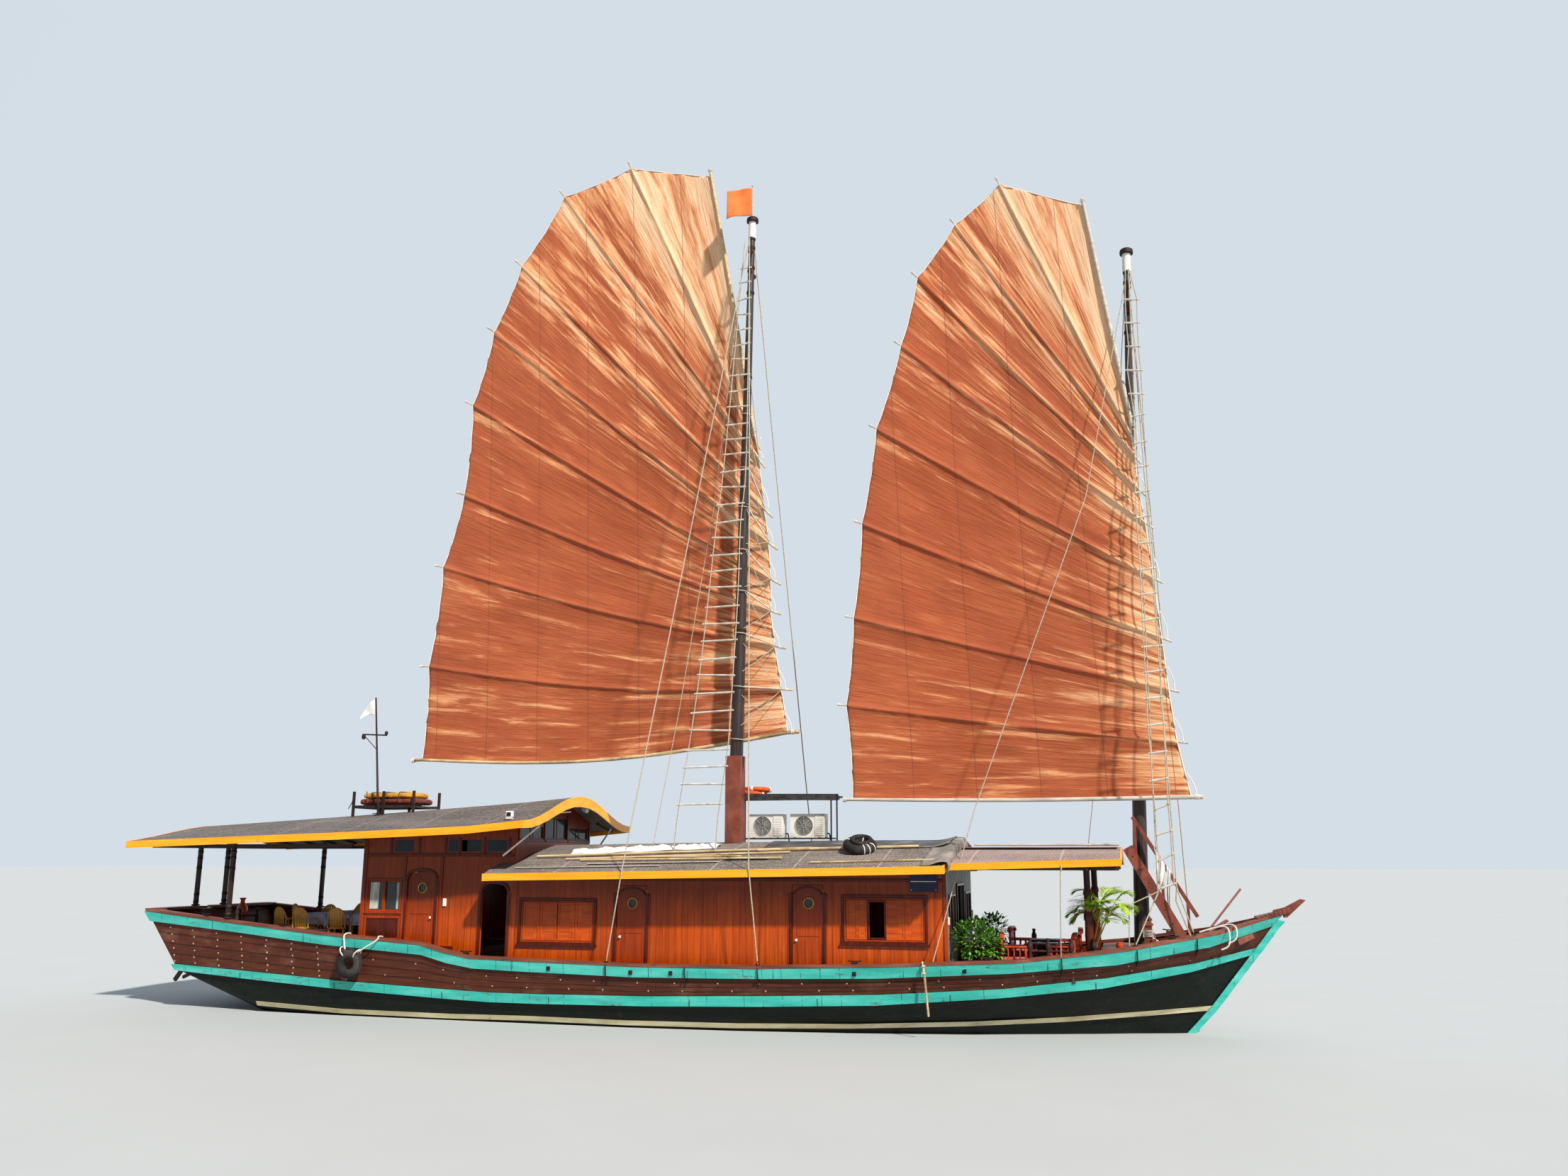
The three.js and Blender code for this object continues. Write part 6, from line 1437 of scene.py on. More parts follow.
# door leaves: mouldings, porthole rings, knobs, each on its own leaf
for name, x0, x1, z0, z1, rise, hinge, opened in DOORS:
    for side in (-1, 1):
        s, ring, knob, pane = Shape(), Shape(), Shape(), Shape()
        y0 = 1.96
        top = z1 - rise
        w = 0.085
        # stiles, rails and two raised panels
        s.box(x0 + 0.004, x0 + w, y0 + 0.0005, y0 + 0.010, z0 + 0.004, top - 0.01, 0.003)
        s.box(x1 - w, x1 - 0.004, y0 + 0.0005, y0 + 0.010, z0 + 0.004, top - 0.01, 0.003)
        s.box(x0 + w, x1 - w, y0 + 0.0005, y0 + 0.010, z0 + 0.004, z0 + 0.16, 0.003)
        s.box(x0 + w, x1 - w, y0 + 0.0005, y0 + 0.010, z0 + 0.80, z0 + 0.90, 0.003)
        for i in range(3):
            a = lerp(x0 + w + 0.02, x1 - w - 0.02, i / 3)
            b = lerp(x0 + w + 0.02, x1 - w - 0.02, (i + 1) / 3)
            s.box(a + 0.006, b - 0.006, y0 + 0.0005, y0 + 0.007, z0 + 0.19, z0 + 0.77, 0.003)
        arch = Shape()
        spandrel = Shape()
        if not rise:
            # an arched head on the square leaf: boards in the corners, a dark moulding along the arch
            zt, zp, zs = z1 - 0.003, z1 - 0.030, z1 - 0.20
            xa, xb = x0 + 0.004, x1 - 0.004
            xm = (xa + xb) / 2
            curve = []
            for i in range(21):
                ang = math.pi * (1 - i / 20)
                curve.append((xm + (xb - xa) / 2 * math.cos(ang), zs + (zp - zs) * math.sin(ang)))
            for (ax, az), (bx, bz) in zip(curve, curve[1:]):
                v8 = [(px_, py_, pz_) for py_ in (y0 + 0.0005, y0 + 0.017) for px_, pz_ in ((ax, az), (bx, bz), (bx, zt), (ax, zt))]
                spandrel.add(v8, [(0, 3, 2, 1), (4, 5, 6, 7), (0, 1, 5, 4), (1, 2, 6, 5), (2, 3, 7, 6), (3, 0, 4, 7)])
                k1 = 0.93
                arch.beam((xm + (ax - xm) * k1, y0 + 0.016, zs + (az - zs) * k1), (xm + (bx - xm) * k1, y0 + 0.016, zs + (bz - zs) * k1), 0.030, 0.050, 0.004, up=(0, 1, 0))
        c = Vector(((x0 + x1) / 2 + 0.02, y0 + 0.006, z1 - 0.37))
        ring.torus(c, (0, 1, 0), 0.110, 0.014, 28, 8)
        for i in range(6):
            a = i * math.pi / 3 + 0.3
            ring.ball(c + Vector((0.112 * math.cos(a), 0.010, 0.112 * math.sin(a))), 0.008, 0.7, (0, 1, 0), 8, 4)
        pane.lathe([(0.0, -0.003), (0.0985, -0.003), (0.0985, 0.003), (0.0, 0.003)], Vector((c.x, 1.94, c.z)), (0, 1, 0), 28)
        kx = x0 + 0.09 if hinge == "fore" else x1 - 0.09
        knob.lathe([(0.0, -0.001), (0.030, 0.0), (0.030, 0.004), (0.012, 0.007), (0.011, 0.028), (0.022, 0.034), (0.028, 0.046), (0.022, 0.058), (0.0, 0.062)], (kx, y0 + 0.0005, z0 + 0.72), (0, 1, 0), 16)
        for k in range(3):                # hinge knuckles
            zz = lerp(z0 + 0.2, top - 0.15, k / 2)
            hx = x1 - 0.004 if hinge == "fore" else x0 + 0.004
            ring.tube([(hx, y0 - 0.002, zz - 0.05), (hx, y0 - 0.002, zz + 0.05)], 0.009, 8)
        for q in (s, ring, knob, pane, arch, spandrel):
            pts = []
            for p in q.v:
                p = Vector(p)
                if opened:
                    hx = x1 if hinge == "fore" else x0
                    r = math.pi / 2 if hinge == "fore" else -math.pi / 2
                    dx, dy = p.x - hx, p.y - 1.92
                    p = Vector((hx + dx * math.cos(r) - dy * math.sin(r), 1.92 + dx * math.sin(r) + dy * math.cos(r), p.z))
                pts.append((p.x, p.y * side, p.z))
            q.v = pts
        tag = "door_%s_%s" % (name, "port" if side > 0 else "starboard")
        s.make(tag + "_panels", M_DOOR, tag, "varnished_wood", 30)
        ring.make(tag + "_ring", M_BRASS, tag, "bronze", 40)
        pane.make(tag + "_pane", M_GLASS, tag, "varnished_wood", 0)
        knob.make(tag + "_knob", M_WHITE, tag, "white_metal", 40)
        if arch.v:
            arch.make(tag + "_arch", M_TRIM, tag, "varnished_wood", 30)
            spandrel.make(tag + "_corners", M_WALL, tag, "varnished_wood", 0)

# switch boxes, the blank plate, bulkhead lamps
sw = Shape()
for side in (-1, 1):
    sw.box(-5.335, -5.245, wall_y(side, 0.001), wall_y(side, 0.035), 2.45, 2.63, 0.010)
    sw.box(-5.315, -5.265, wall_y(side, 0.035), wall_y(side, 0.041), 2.50, 2.58, 0.004)
    sw.box(6.452, 6.49, side * 1.90 - 0.045, side * 1.90 + 0.045, 2.19, 2.35, 0.010)
sw.make("switch_boxes", M_WHITE, slot="white_metal", shade=30)
plate = Shape()
edge = Shape()
for side in (-1, 1):
    plate.box(5.69, 6.27, wall_y(side, 0.030), wall_y(side, 0.044), 2.86, 3.20, 0.004)
    edge.box(5.71, 6.25, wall_y(side, 0.0441), wall_y(side, 0.0475), 3.065, 3.078, 0.001)
    for x in (5.72, 6.24):
        edge.ball((x, wall_y(side, 0.045), 2.90), 0.010, 0.5, (0, side, 0), 8, 4)
plate.make("blank_plate", simple("dark_blue_paint", srgb(14, 22, 52), srgb(24, 34, 72), 6.0, (0.35, 0.5)), slot="dark_wood")
edge.make("plate_trim", M_WHITE, slot="white_metal")

# rafters under the roofs
raf = Shape()
for which, xs, wide, drop, wy in (("main", [-3.2 + 0.62 * i for i in range(16)], 2.66, 0.052, 2.0), ("aft", [-13.2 + 0.66 * i for i in range(16)], 2.93, 0.052, 0.0), ("canopy", [6.75 + 0.63 * i for i in range(6)], 2.32, 0.052, 0.0)):
    for x in xs:
        for side in (-1, 1):
            ys = [wy + (wide - wy) * j / 6 for j in range(7)]
            inside_house = which == "aft" and x > -7.6
            if inside_house:
                ys = [2.0 + (wide - 2.0) * j / 3 for j in range(4)]
            for a, b in zip(ys, ys[1:]):
                za, zb = roof_z(which, x, a) - drop - 0.035, roof_z(which, x, b) - drop - 0.035
                raf.beam((x, side * a, za), (x, side * b, zb), 0.05, 0.062, 0.006)
raf.make("rafters", M_DARK, slot="dark_wood", shade=30)


# ------------------------------------------------------------------ what lies on the roofs
def drape_patch(which, x0, x1, y0, y1, nx, ny, lift, seed, amp, curl=0.0, taper=0.0):
    """A cloth that lies on a roof between x0..x1 and y0..y1, with folds; returns points and faces."""
    co, fc, area = [], [], 0
    for i in range(nx + 1):
        for j in range(ny + 1):
            u, v = i / nx, j / ny
            x = lerp(x0, x1, u) + 0.06 * noise.noise(Vector((v * 4, u, seed)))
            y = lerp(y0, y1, v) + 0.06 * noise.noise(Vector((u * 5, v, seed + 2))) + taper * (u - 0.5)
            w = noise.noise(Vector((x * 1.6, y * 2.4, seed))) + 0.5 * noise.noise(Vector((x * 4.6, y * 5.2, seed + 5)))
            z = roof_z(which, x, y) + lift + amp * (0.9 + w)
            if curl:
                z += curl * max(0.0, (u - 0.90) / 0.10) ** 1.5 * (1 + 0.4 * noise.noise(Vector((v * 6, 0, seed))))
            co.append((x, y, z))
    for i in range(nx):
        for j in range(ny):
            a = i * (ny + 1) + j
            fc.append((a, a + ny + 1, a + ny + 2, a + 1))
    return co, fc


def soft_sheet(name, co, fc, mat, thick, body, held, rests, scale_flat=1.0, clear=None):
    me = bpy.data.meshes.new(name)
    me.from_pydata(co, [], fc)
    for p in me.polygons:
        p.use_smooth = True
    me.materials.append(mat)
    ob = bpy.data.objects.new(name, me)
    bpy.context.scene.collection.objects.link(ob)
    bm = bmesh.new()
    bm.from_mesh(me)
    area = sum(f.calc_area() for f in bm.faces)
    bm.free()
    so = ob.modifiers.new("thick", "SOLIDIFY")
    so.thickness = thick
    so.offset = 1.0
    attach(ob, body)
    return ob, area


M_TARP = simple("tarpaulin", srgb(52, 52, 56), srgb(96, 94, 96), 1.8, (0.5, 0.75), 0.5, 0.01, detail=7, dirt=srgb(140, 134, 128))
M_FELT = simple("roof_edge_felt", srgb(112, 108, 104), srgb(156, 150, 144), 3.0, (0.8, 0.95), 0.5, 0.006, detail=7, dirt=srgb(80, 74, 70))
M_CLOTH = simple("white_cloth", srgb(206, 204, 202), srgb(240, 238, 236), 5.0, (0.8, 0.95), 0.5, 0.004, detail=7)
co, fc = drape_patch("main", 2.15, 6.42, -1.15, 1.55, 60, 36, 0.008, 3.1, 0.010, curl=0.10)
tarp, a = soft_sheet("roof_tarpaulin", co, fc, M_TARP, 0.006, SHIP, "laid", ["main_roof"])
# a bundle of white cloth along the roof, bunched into folds
co, fc = [], []
nx, ny = 90, 26
for i in range(nx + 1):
    for j in range(ny + 1):
        u, v = i / nx, j / ny
        x = lerp(-2.45, 1.02, u)
        wide = 0.17 + 0.10 * math.sin(u * 9) ** 2 + 0.05 * noise.noise(Vector((u * 7, 0, 1)))
        y = -0.95 + 0.42 * (u - 0.5) + (v - 0.5) * 2 * wide
        w = abs(noise.noise(Vector((x * 4.0, v * 3.4, 5)))) + 0.6 * abs(noise.noise(Vector((x * 9.0, v * 7.0, 8))))
        z = roof_z("main", x, y) + 0.008 + math.sin(math.pi * v) ** 0.6 * (0.03 + 0.085 * w)
        co.append((x, y, z))
for i in range(nx):
    for j in range(ny):
        b = i * (ny + 1) + j
        fc.append((b, b + ny + 1, b + ny + 2, b + 1))
cloth, a = soft_sheet("roof_cloth", co, fc, M_CLOTH, 0.004, SHIP, "gathered", ["main_roof"])

poles = Shape()


def roof_pole_at(x0, y0, x1, y1, r, which="main", lift=0.0, sides=9):
    n = 14
    pts, rr = [], []
    for i in range(n + 1):
        t = i / n
        x, y = lerp(x0, x1, t), lerp(y0, y1, t)
        pts.append(Vector((x, y, max(roof_z(which, x, y + dy) for dy in (-r, 0, r)) + r + 0.006 + lift)))
        rr.append(r * (1.08 if i % 2 else 0.97))
    # a stiff pole: its points lie on one line above the highest ones
    a, b = pts[0].copy(), pts[-1].copy()
    over = max(p.z - lerp(a.z, b.z, i / n) for i, p in enumerate(pts))
    for i, p in enumerate(pts):
        p.z = lerp(a.z, b.z, i / n) + max(over, 0)
    poles.tube(pts, rr, sides)


roof_pole_at(-3.15, -1.62, 3.35, -1.22, 0.028)
roof_pole_at(-2.3, -1.86, 2.95, -1.52, 0.022)
roof_pole_at(-1.9, -1.95, 2.9, -2.02, 0.024)
roof_pole_at(-1.2, -1.72, 1.9, -1.80, 0.020)
roof_pole_at(2.15, -1.34, 5.75, -1.12, 0.030)
roof_pole_at(3.6, -2.36, 6.30, -2.30, 0.018)
poles.make("roof_bamboo", M_BAMBOO, slot="bamboo", shade=50)
planks = Shape()
for x0, x1, y, w in ((-1.6, 1.5, -2.18, 0.09), (-3.3, 0.2, -2.40, 0.07), (1.6, 2.6, -1.95, 0.26)):
    for k in range(6):
        a, b = lerp(x0, x1, k / 6), lerp(x0, x1, (k + 1) / 6)
        planks.beam((a, y, roof_z("main", a, y) + 0.022), (b, y, roof_z("main", b, y) + 0.022), w, 0.018, 0.004)
planks.make("roof_planks", M_POLE_GREY, slot="rail_wood")
ridge = Shape()
for k in range(8):
    a, b = lerp(6.60, 9.92, k / 8), lerp(6.60, 9.92, (k + 1) / 8)
    ridge.beam((a, -0.34, roof_z("canopy", a, -0.34) + 0.020), (b, -0.34, roof_z("canopy", b, -0.34) + 0.020), 0.46, 0.022, 0.004)
    ridge.beam((a, 0.34, roof_z("canopy", a, 0.34) + 0.020), (b, 0.34, roof_z("canopy", b, 0.34) + 0.020), 0.46, 0.022, 0.004)
ridge.make("canopy_ridge_board", make_gloss("mauve_board", (srgb(112, 72, 74), srgb(134, 92, 92), srgb(156, 116, 112)), srgb(90, 64, 62), (0.5, 0.7), 0.66), slot="canopy_cloth")
wp = Shape()
for y, x0, x1, r in ((-0.10, 7.6, 9.95, 0.026), (0.06, 6.8, 9.6, 0.022)):
    wp.tube([(lerp(x0, x1, t / 8), y, roof_z("canopy", lerp(x0, x1, t / 8), y) + 0.034 + r) for t in range(9)], r, 9)
wp.make("canopy_poles", M_POLE_GREY, slot="bamboo")
# a coiled black fender with white bands, left on the roof
coil = Shape()
bands = Shape()
cx, cy = 4.50, -1.42
cz = roof_z("main", cx, cy) + 0.14
ax = Vector((0.12, -0.42, 1)).normalized()
coil.torus((cx, cy, cz), ax, 0.27, 0.105, 40, 14)
coil.torus((cx + 0.03, cy + 0.02, cz + 0.11), ax, 0.20, 0.055, 36, 10)
u = ax.orthogonal().normalized()
w = ax.cross(u)
for a in (-1.9, -1.55, -1.1, 0.6, 2.2):
    c = Vector((cx, cy, cz)) + (u * math.cos(a) + w * math.sin(a)) * 0.27
    t = (-u * math.sin(a) + w * math.cos(a))
    bands.torus(c, t, 0.108, 0.013, 20, 6)
coil.make("roof_fender_coil", M_RUBBER, slot="tyre_rubber", shade=50)
bands.make("fender_bands", M_ROPE_WHITE, slot="rope", shade=50)
# folded grey edge of the felt at the fore end of the main roof
co, fc = [], []
nx, ny = 60, 16
for i in range(nx + 1):
    y = lerp(-2.70, 2.70, i / nx)
    z0 = roof_z("main", 6.50, y)
    for j in range(ny + 1):
        t = j / ny
        if t < 0.55:                      # lies on the roof, then rises over the edge board
            q = t / 0.55
            p = Vector((lerp(6.02, 6.575, q), y, z0 + 0.012 + 0.075 * smooth(0.25, 0.8, q)))
        else:                             # and hangs down ahead of it
            q = (t - 0.55) / 0.45
            p = Vector((6.585 + 0.03 * math.sin(q * 3.0), y, z0 + 0.087 - 0.235 * q))
        w = noise.noise(Vector((y * 2.6, t * 2.0, 4.4))) + 0.5 * noise.noise(Vector((y * 7.0, t * 5.0, 9.0)))
        p.z += 0.016 * w
        p.x += 0.014 * noise.noise(Vector((y * 3.4, t * 3, 2.0)))
        co.append(tuple(p))
for i in range(nx):
    for j in range(ny):
        b = i * (ny + 1) + j
        fc.append((b, b + ny + 1, b + ny + 2, b + 1))
lip, a = soft_sheet("roof_lip", co, fc, M_FELT, 0.006, SHIP, "laid", ["main_roof"])

# two lifebuoys on the rack, and the shed roof over the outdoor units
buoy = Shape()
bw = Shape()
for k, (x, y, tilt) in enumerate(((1.42, 0.57, 0.04), (1.52, 0.61, 0.02))):
    zc = 5.070 + 0.098 * k
    A = Vector((tilt, 0.02, 1)).normalized()
    buoy.torus((x, y, zc), A, 0.305, 0.056, 40, 12)
    uu = A.orthogonal().normalized()
    ww = A.cross(uu)
    for q in range(4):
        a = q * math.pi / 2 + 0.4 * k + 0.3
        c = Vector((x, y, zc)) + (uu * math.cos(a) + ww * math.sin(a)) * 0.305
        t = -uu * math.sin(a) + ww * math.cos(a)
        for s2 in (-0.022, 0, 0.022):
            bw.torus(c + t * s2, t, 0.0575, 0.011, 16, 6)
M_ORANGE = simple("lifebuoy_orange", srgb(196, 66, 14), srgb(232, 96, 28), 6.0, (0.5, 0.7), 0.2, 0.002, dirt=srgb(150, 60, 30))
buoy.make("lifebuoys", M_ORANGE, slot="raft_cover", shade=60)
bw.make("lifebuoy_bands", M_WHITE, slot="white_metal", shade=60)
shed = Shape()
for y0 in [0.24 + 0.062 * i for i in range(11)]:
    shed.beam((1.06, y0, 4.966), (3.52, y0, 4.966), 0.056, 0.016, 0.004)
# a dark sheet roof with a deep edge over the rack
for k in range(10):
    a, b = lerp(0.93, 3.66, k / 10), lerp(0.93, 3.66, (k + 1) / 10)
    shed.beam((a, 0.12, 4.985 - 0.004 * k), (b, 0.12, 4.981 - 0.004 * k), 0.035, 0.15, 0.006)
    shed.beam((a, 0.58, 5.010 - 0.004 * k), (b, 0.58, 5.006 - 0.004 * k), 0.96, 0.022, 0.005)
shed.make("rack_slats", M_STEEL, slot="steel")
# outdoor units: fan guards, blades, louvres, feet, pipes
guard, white, dark = Shape(), Shape(), Shape()
for x0, x1 in ((1.40, 2.24), (2.42, 3.26)):
    c = Vector((x0 + 0.33, 0.372, 4.30))
    for r in (0.05, 0.085, 0.12, 0.155, 0.19, 0.222):
        guard.torus(c, (0, 1, 0), r, 0.0042, 32, 5)
    for i in range(8):
        a = i * math.pi / 4
        guard.tube([c + Vector((0.03 * math.cos(a), 0, 0.03 * math.sin(a))), c + Vector((0.225 * math.cos(a), 0, 0.225 * math.sin(a)))], 0.004, 5)
    dark.lathe([(0.0, 0.0), (0.055, 0.0), (0.06, 0.018), (0.0, 0.02)], c + Vector((0, 0.012, 0)), (0, 1, 0), 16)
    for i in range(3):
        a = i * 2 * math.pi / 3 + 0.4
        p = [c + Vector((rr * math.cos(a + s), 0.022 + 0.02 * q, rr * math.sin(a + s))) for rr, s, q in ((0.05, -0.25, 0), (0.19, -0.32, 0), (0.20, 0.30, 1), (0.05, 0.25, 1))]
        dark.add(p + [v + Vector((0, 0.006, 0)) for v in p], [(0, 1, 2, 3), (7, 6, 5, 4), (0, 4, 5, 1), (1, 5, 6, 2), (2, 6, 7, 3), (3, 7, 4, 0)])
    dark.lathe([(0.0, 0.0), (0.216, 0.0), (0.216, 0.004), (0.0, 0.004)], c + Vector((0, 0.040, 0)), (0, 1, 0), 32)
    white.box(x0 + 0.60, x1 - 0.015, 0.366, 0.379, 4.07, 4.54, 0.004)
    for i in range(9):
        white.box(x0 + 0.63, x1 - 0.04, 0.360, 0.368, 4.12 + i * 0.042, 4.135 + i * 0.042, 0.003)
    white.box(x0 - 0.004, x1 + 0.004, 0.376, 0.704, 4.560, 4.574, 0.004)
    for fx in (x0 + 0.12, x1 - 0.12):
        dark.box(fx - 0.03, fx + 0.03, 0.36, 0.72, 4.021, 4.036, 0.003)
guard.make("fan_guards", simple("guard_wire", srgb(150, 150, 146), srgb(196, 196, 190), 8.0, (0.4, 0.6), 0.2, 0.001), slot="steel", shade=50)
white.make("unit_covers", M_WHITE, slot="white_metal")
dark.make("fan_blades", simple("fan_grey", srgb(84, 86, 84), srgb(132, 134, 130), 6.0, (0.5, 0.7), 0.2, 0.001), slot="steel", shade=40)
pipe = Shape()
for x in (2.26, 3.28):
    pipe.tube(spline([(x, 0.56, 4.12), (x + 0.05, 0.56, 4.11), (x + 0.07, 0.56, 4.02), (x + 0.07, 0.60, 3.94)], 5), 0.016, 8)
pipe.make("unit_pipes", M_RUBBER, slot="tyre_rubber", shade=50)

# life rafts: two padded packs in canvas covers with straps
def pack(name, x0, x1, y0, y1, z0, z1, mat, seed):
    nx, na = 44, 40
    co, fc = [], []
    cy, cz = (y0 + y1) / 2, (z0 + z1) / 2
    hy, hz = (y1 - y0) / 2, (z1 - z0) / 2
    for i in range(nx + 1):
        u = i / nx
        x = lerp(x0, x1, u)
        end = min(u, 1 - u) / 0.07
        k = 1.0 if end >= 1 else math.sqrt(max(0.0, 1 - (1 - end) ** 2))
        k = max(k, 0.02)
        for sx in (0.22, 0.5, 0.78):            # the straps pull the cover in
            k *= 1 - 0.055 * math.exp(-((u - sx) / 0.022) ** 2)
        for j in range(na):
            a = 2 * math.pi * j / na
            ca, sa = math.cos(a), math.sin(a)
            e = 0.55
            yy = math.copysign(abs(ca) ** e, ca) * hy
            zz = math.copysign(abs(sa) ** e, sa) * hz
            w = 1 + 0.035 * noise.noise(Vector((x * 5, a * 2.2, seed))) + 0.02 * noise.noise(Vector((x * 13, a * 5, seed)))
            co.append((x, cy + yy * k * w * 0.97, cz + zz * k * min(w, 1.0)))
    for i in range(nx):
        for j in range(na):
            j2 = (j + 1) % na
            fc.append((i * na + j, (i + 1) * na + j, (i + 1) * na + j2, i * na + j2))
    fc.append(tuple(range(na)))
    fc.append(tuple(nx * na + j for j in range(na))[::-1])
    s = Shape()
    s.add(co, fc)
    return s


RZ = max(roof_z("aft", -8.95, 0), roof_z("aft", -7.15, 0)) + 0.05
low = pack("low", -8.87, -7.23, -0.54, 0.54, RZ + 0.082, RZ + 0.248, None, 2)
top = pack("top", -8.79, -7.35, -0.50, 0.50, RZ + 0.242, RZ + 0.398, None, 6)
# painted shade: the lower raft gets a much darker maroon cover than the upper one, for the shade it lies in
M_RAFT_SHADED = simple("raft_cover_shaded", srgb(88, 38, 32), srgb(128, 62, 46), 3.0, (0.65, 0.85), 0.5, 0.01, dirt=srgb(90, 50, 40))
lowo = low.make("life_raft_lower", M_RAFT_SHADED, slot="raft_cover", shade=60)
topo = top.make("life_raft_upper", M_RAFT, slot="raft_cover", shade=60, rep=("life_rafts",))
st = Shape()
for x in (-8.47, -8.07, -7.67):
    loop = [(x, y, z) for y, z in ((-0.52, RZ + 0.27), (-0.50, RZ + 0.38), (-0.44, RZ + 0.402), (0.0, RZ + 0.406), (0.44, RZ + 0.402), (0.50, RZ + 0.38), (0.52, RZ + 0.27), (0.56, RZ + 0.20), (0.56, RZ + 0.10), (0.0, RZ + 0.076), (-0.56, RZ + 0.10), (-0.56, RZ + 0.20))]
    st.tube([Vector(p) for p in loop], 0.012, 6, closed=True)
for p in ((-8.95, -0.60), (-8.55, -0.60)):
    st.tube(spline([(p[0], -0.60, RZ + 0.42), (p[0] + 0.05, -0.66, RZ + 0.20), (p[0] - 0.06, -0.68, RZ - 0.02)], 6), 0.010, 6)
st.make("raft_straps", M_DARK, slot="rope", shade=60)

# light pole: cross arm, lamp, stays and a small pale pennant
arm = Shape()
px = lambda z: lerp(-8.10, -8.40, (z - 4.7) / 2.9)
arm.tube([(px(6.62) - 0.42, -0.72, 6.66), (px(6.62) + 0.30, -0.72, 6.62)], 0.018, 8)
arm.tube([(px(6.62) - 0.40, -0.72, 6.66), (px(6.2), -0.72, 6.25)], 0.010, 6)
arm.lathe([(0.0, 0.0), (0.045, 0.0), (0.055, -0.05), (0.04, -0.10), (0.0, -0.11)], (px(6.62) - 0.38, -0.72, 6.64), (0, 0, 1), 14)
arm.lathe([(0.0, 0.0), (0.035, 0.0), (0.045, 0.05), (0.03, 0.09), (0.0, 0.10)], (px(6.62) + 0.28, -0.72, 6.63), (0, 0, 1), 14)
arm.lathe([(0.0, 0.0), (0.05, 0.0), (0.05, 0.03), (0.034, 0.04), (0.034, 0.26), (0.0, 0.27)], (-8.10, -0.72, roof_z("aft", -8.1, -0.72) + 0.03), (0, 0, 1), 14)
arm.make("pole_fittings", M_IRON, slot="steel")


def flag(name, hoist_top, hoist, fly, mat, seed, taper=0.0, droop=0.35, dir2=(-1, 0.25)):
    """A small flag that hangs from its hoist and waves; taper 1 makes a pennant."""
    nx, ny = 26, 18
    d = Vector((dir2[0], dir2[1], 0)).normalized()
    s = Vector((-d.y, d.x, 0))
    co, fc = [], []
    for i in range(nx + 1):
        u = i / nx
        for j in range(ny + 1):
            v = j / ny
            h = hoist * (1 - taper * u)
            z = -h * v - taper * hoist * u * 0.5
            run = u * fly
            wave = 0.10 * fly * math.sin(u * 5.2 + v * 1.6 + seed) * u ** 0.7
            drop = droop * fly * u * u
            p = Vector(hoist_top) + d * (run * (1 - 0.10 * u)) + s * wave + Vector((0, 0, z - drop))
            co.append(tuple(p))
    for i in range(nx):
        for j in range(ny):
            b = i * (ny + 1) + j
            fc.append((b, b + ny + 1, b + ny + 2, b + 1))
    return co, fc


co, fc = flag("pennant", (px(7.55) - 0.02, -0.72, 7.56), 0.42, 0.40, None, 1.0, 0.75, 0.7, (-0.9, -0.2))
ob, a = soft_sheet("pole_pennant", co, fc, M_CLOTH, 0.002, SHIP, "hung", ["roof_pole"])
staff = Shape()
staff.tube([(1.50, 0.02, 19.95), (1.50, 0.02, 21.02)], [0.020, 0.012], 8)
staff.ball((1.50, 0.02, 21.04), 0.028, 1.0)
staff.make("flag_staff", M_POLE_GREY, slot="bamboo")
M_FLAG = simple("flag_cloth", srgb(206, 96, 40), srgb(236, 130, 66), 2.2, (0.8, 0.95), 0.4, 0.004, detail=6)
co, fc = flag("flag", (1.48, 0.02, 20.98), 0.80, 0.74, None, 2.2, 0.0, 0.22, (-0.93, -0.35))
ob, a = soft_sheet("mast_flag", co, fc, M_FLAG, 0.002, SHIP, "hung", ["flag_staff"])

# lamp box, brace rod and spotlight of the raised house
lamp, lampg, rod2 = Shape(), Shape(), Shape()
lx, ly = -3.55, -2.30
lz = roof_z("aft", lx, ly)
lamp.box(lx - 0.07, lx + 0.07, ly - 0.06, ly + 0.06, lz + 0.012, lz + 0.05, 0.006)
lamp.box(lx - 0.085, lx + 0.085, ly - 0.05, ly + 0.05, lz + 0.05, lz + 0.20, 0.014)
lampg.box(lx - 0.055, lx + 0.055, ly - 0.058, ly - 0.049, lz + 0.08, lz + 0.17, 0.003)
lamp.make("roof_lamp_box", M_WHITE, slot="white_metal")
lampg.make("roof_lamp_glass", M_GLASS, slot="white_metal")
rod2.tube([(-2.92, -2.02, 4.28), (-3.60, -2.44, 3.60)], 0.022, 8)
rod2.tube([(-2.92, 2.02, 4.28), (-3.60, 2.44, 3.60)], 0.022, 8)
rod2.make("eave_braces", M_WHITE, slot="white_metal")
spot = Shape()
spot.lathe([(0.0, -0.09), (0.05, -0.085), (0.085, -0.03), (0.10, 0.05), (0.104, 0.06), (0.0, 0.055)], (-2.98, 0.55, 4.76), (1, 0, -0.15), 20)
spot.tube([(-3.00, 0.55, 4.80), (-3.00, 0.55, 4.93)], 0.014, 8)
spot.make("spotlight", M_WHITE, slot="white_metal", shade=40)
tube_l = Shape()
tube_l.tube([(-3.05, -0.75, 4.62), (-3.05, -0.15, 4.66)], 0.018, 8)
tube_l.make("strip_lamp", M_WHITE, slot="white_metal", shade=50)


# ------------------------------------------------------------------ aft deck: chairs, tables, a vase, a winch
DA, DM, DB = 1.453125, 1.078125, 1.703125
M_TAN = simple("tan_plastic", srgb(204, 142, 50), srgb(228, 172, 82), 5.0, (0.4, 0.55), 0.08, 0.001)
M_LILAC = simple("table_cloth", srgb(166, 174, 212), srgb(204, 210, 234), 4.0, (0.8, 0.95), 0.3, 0.002)


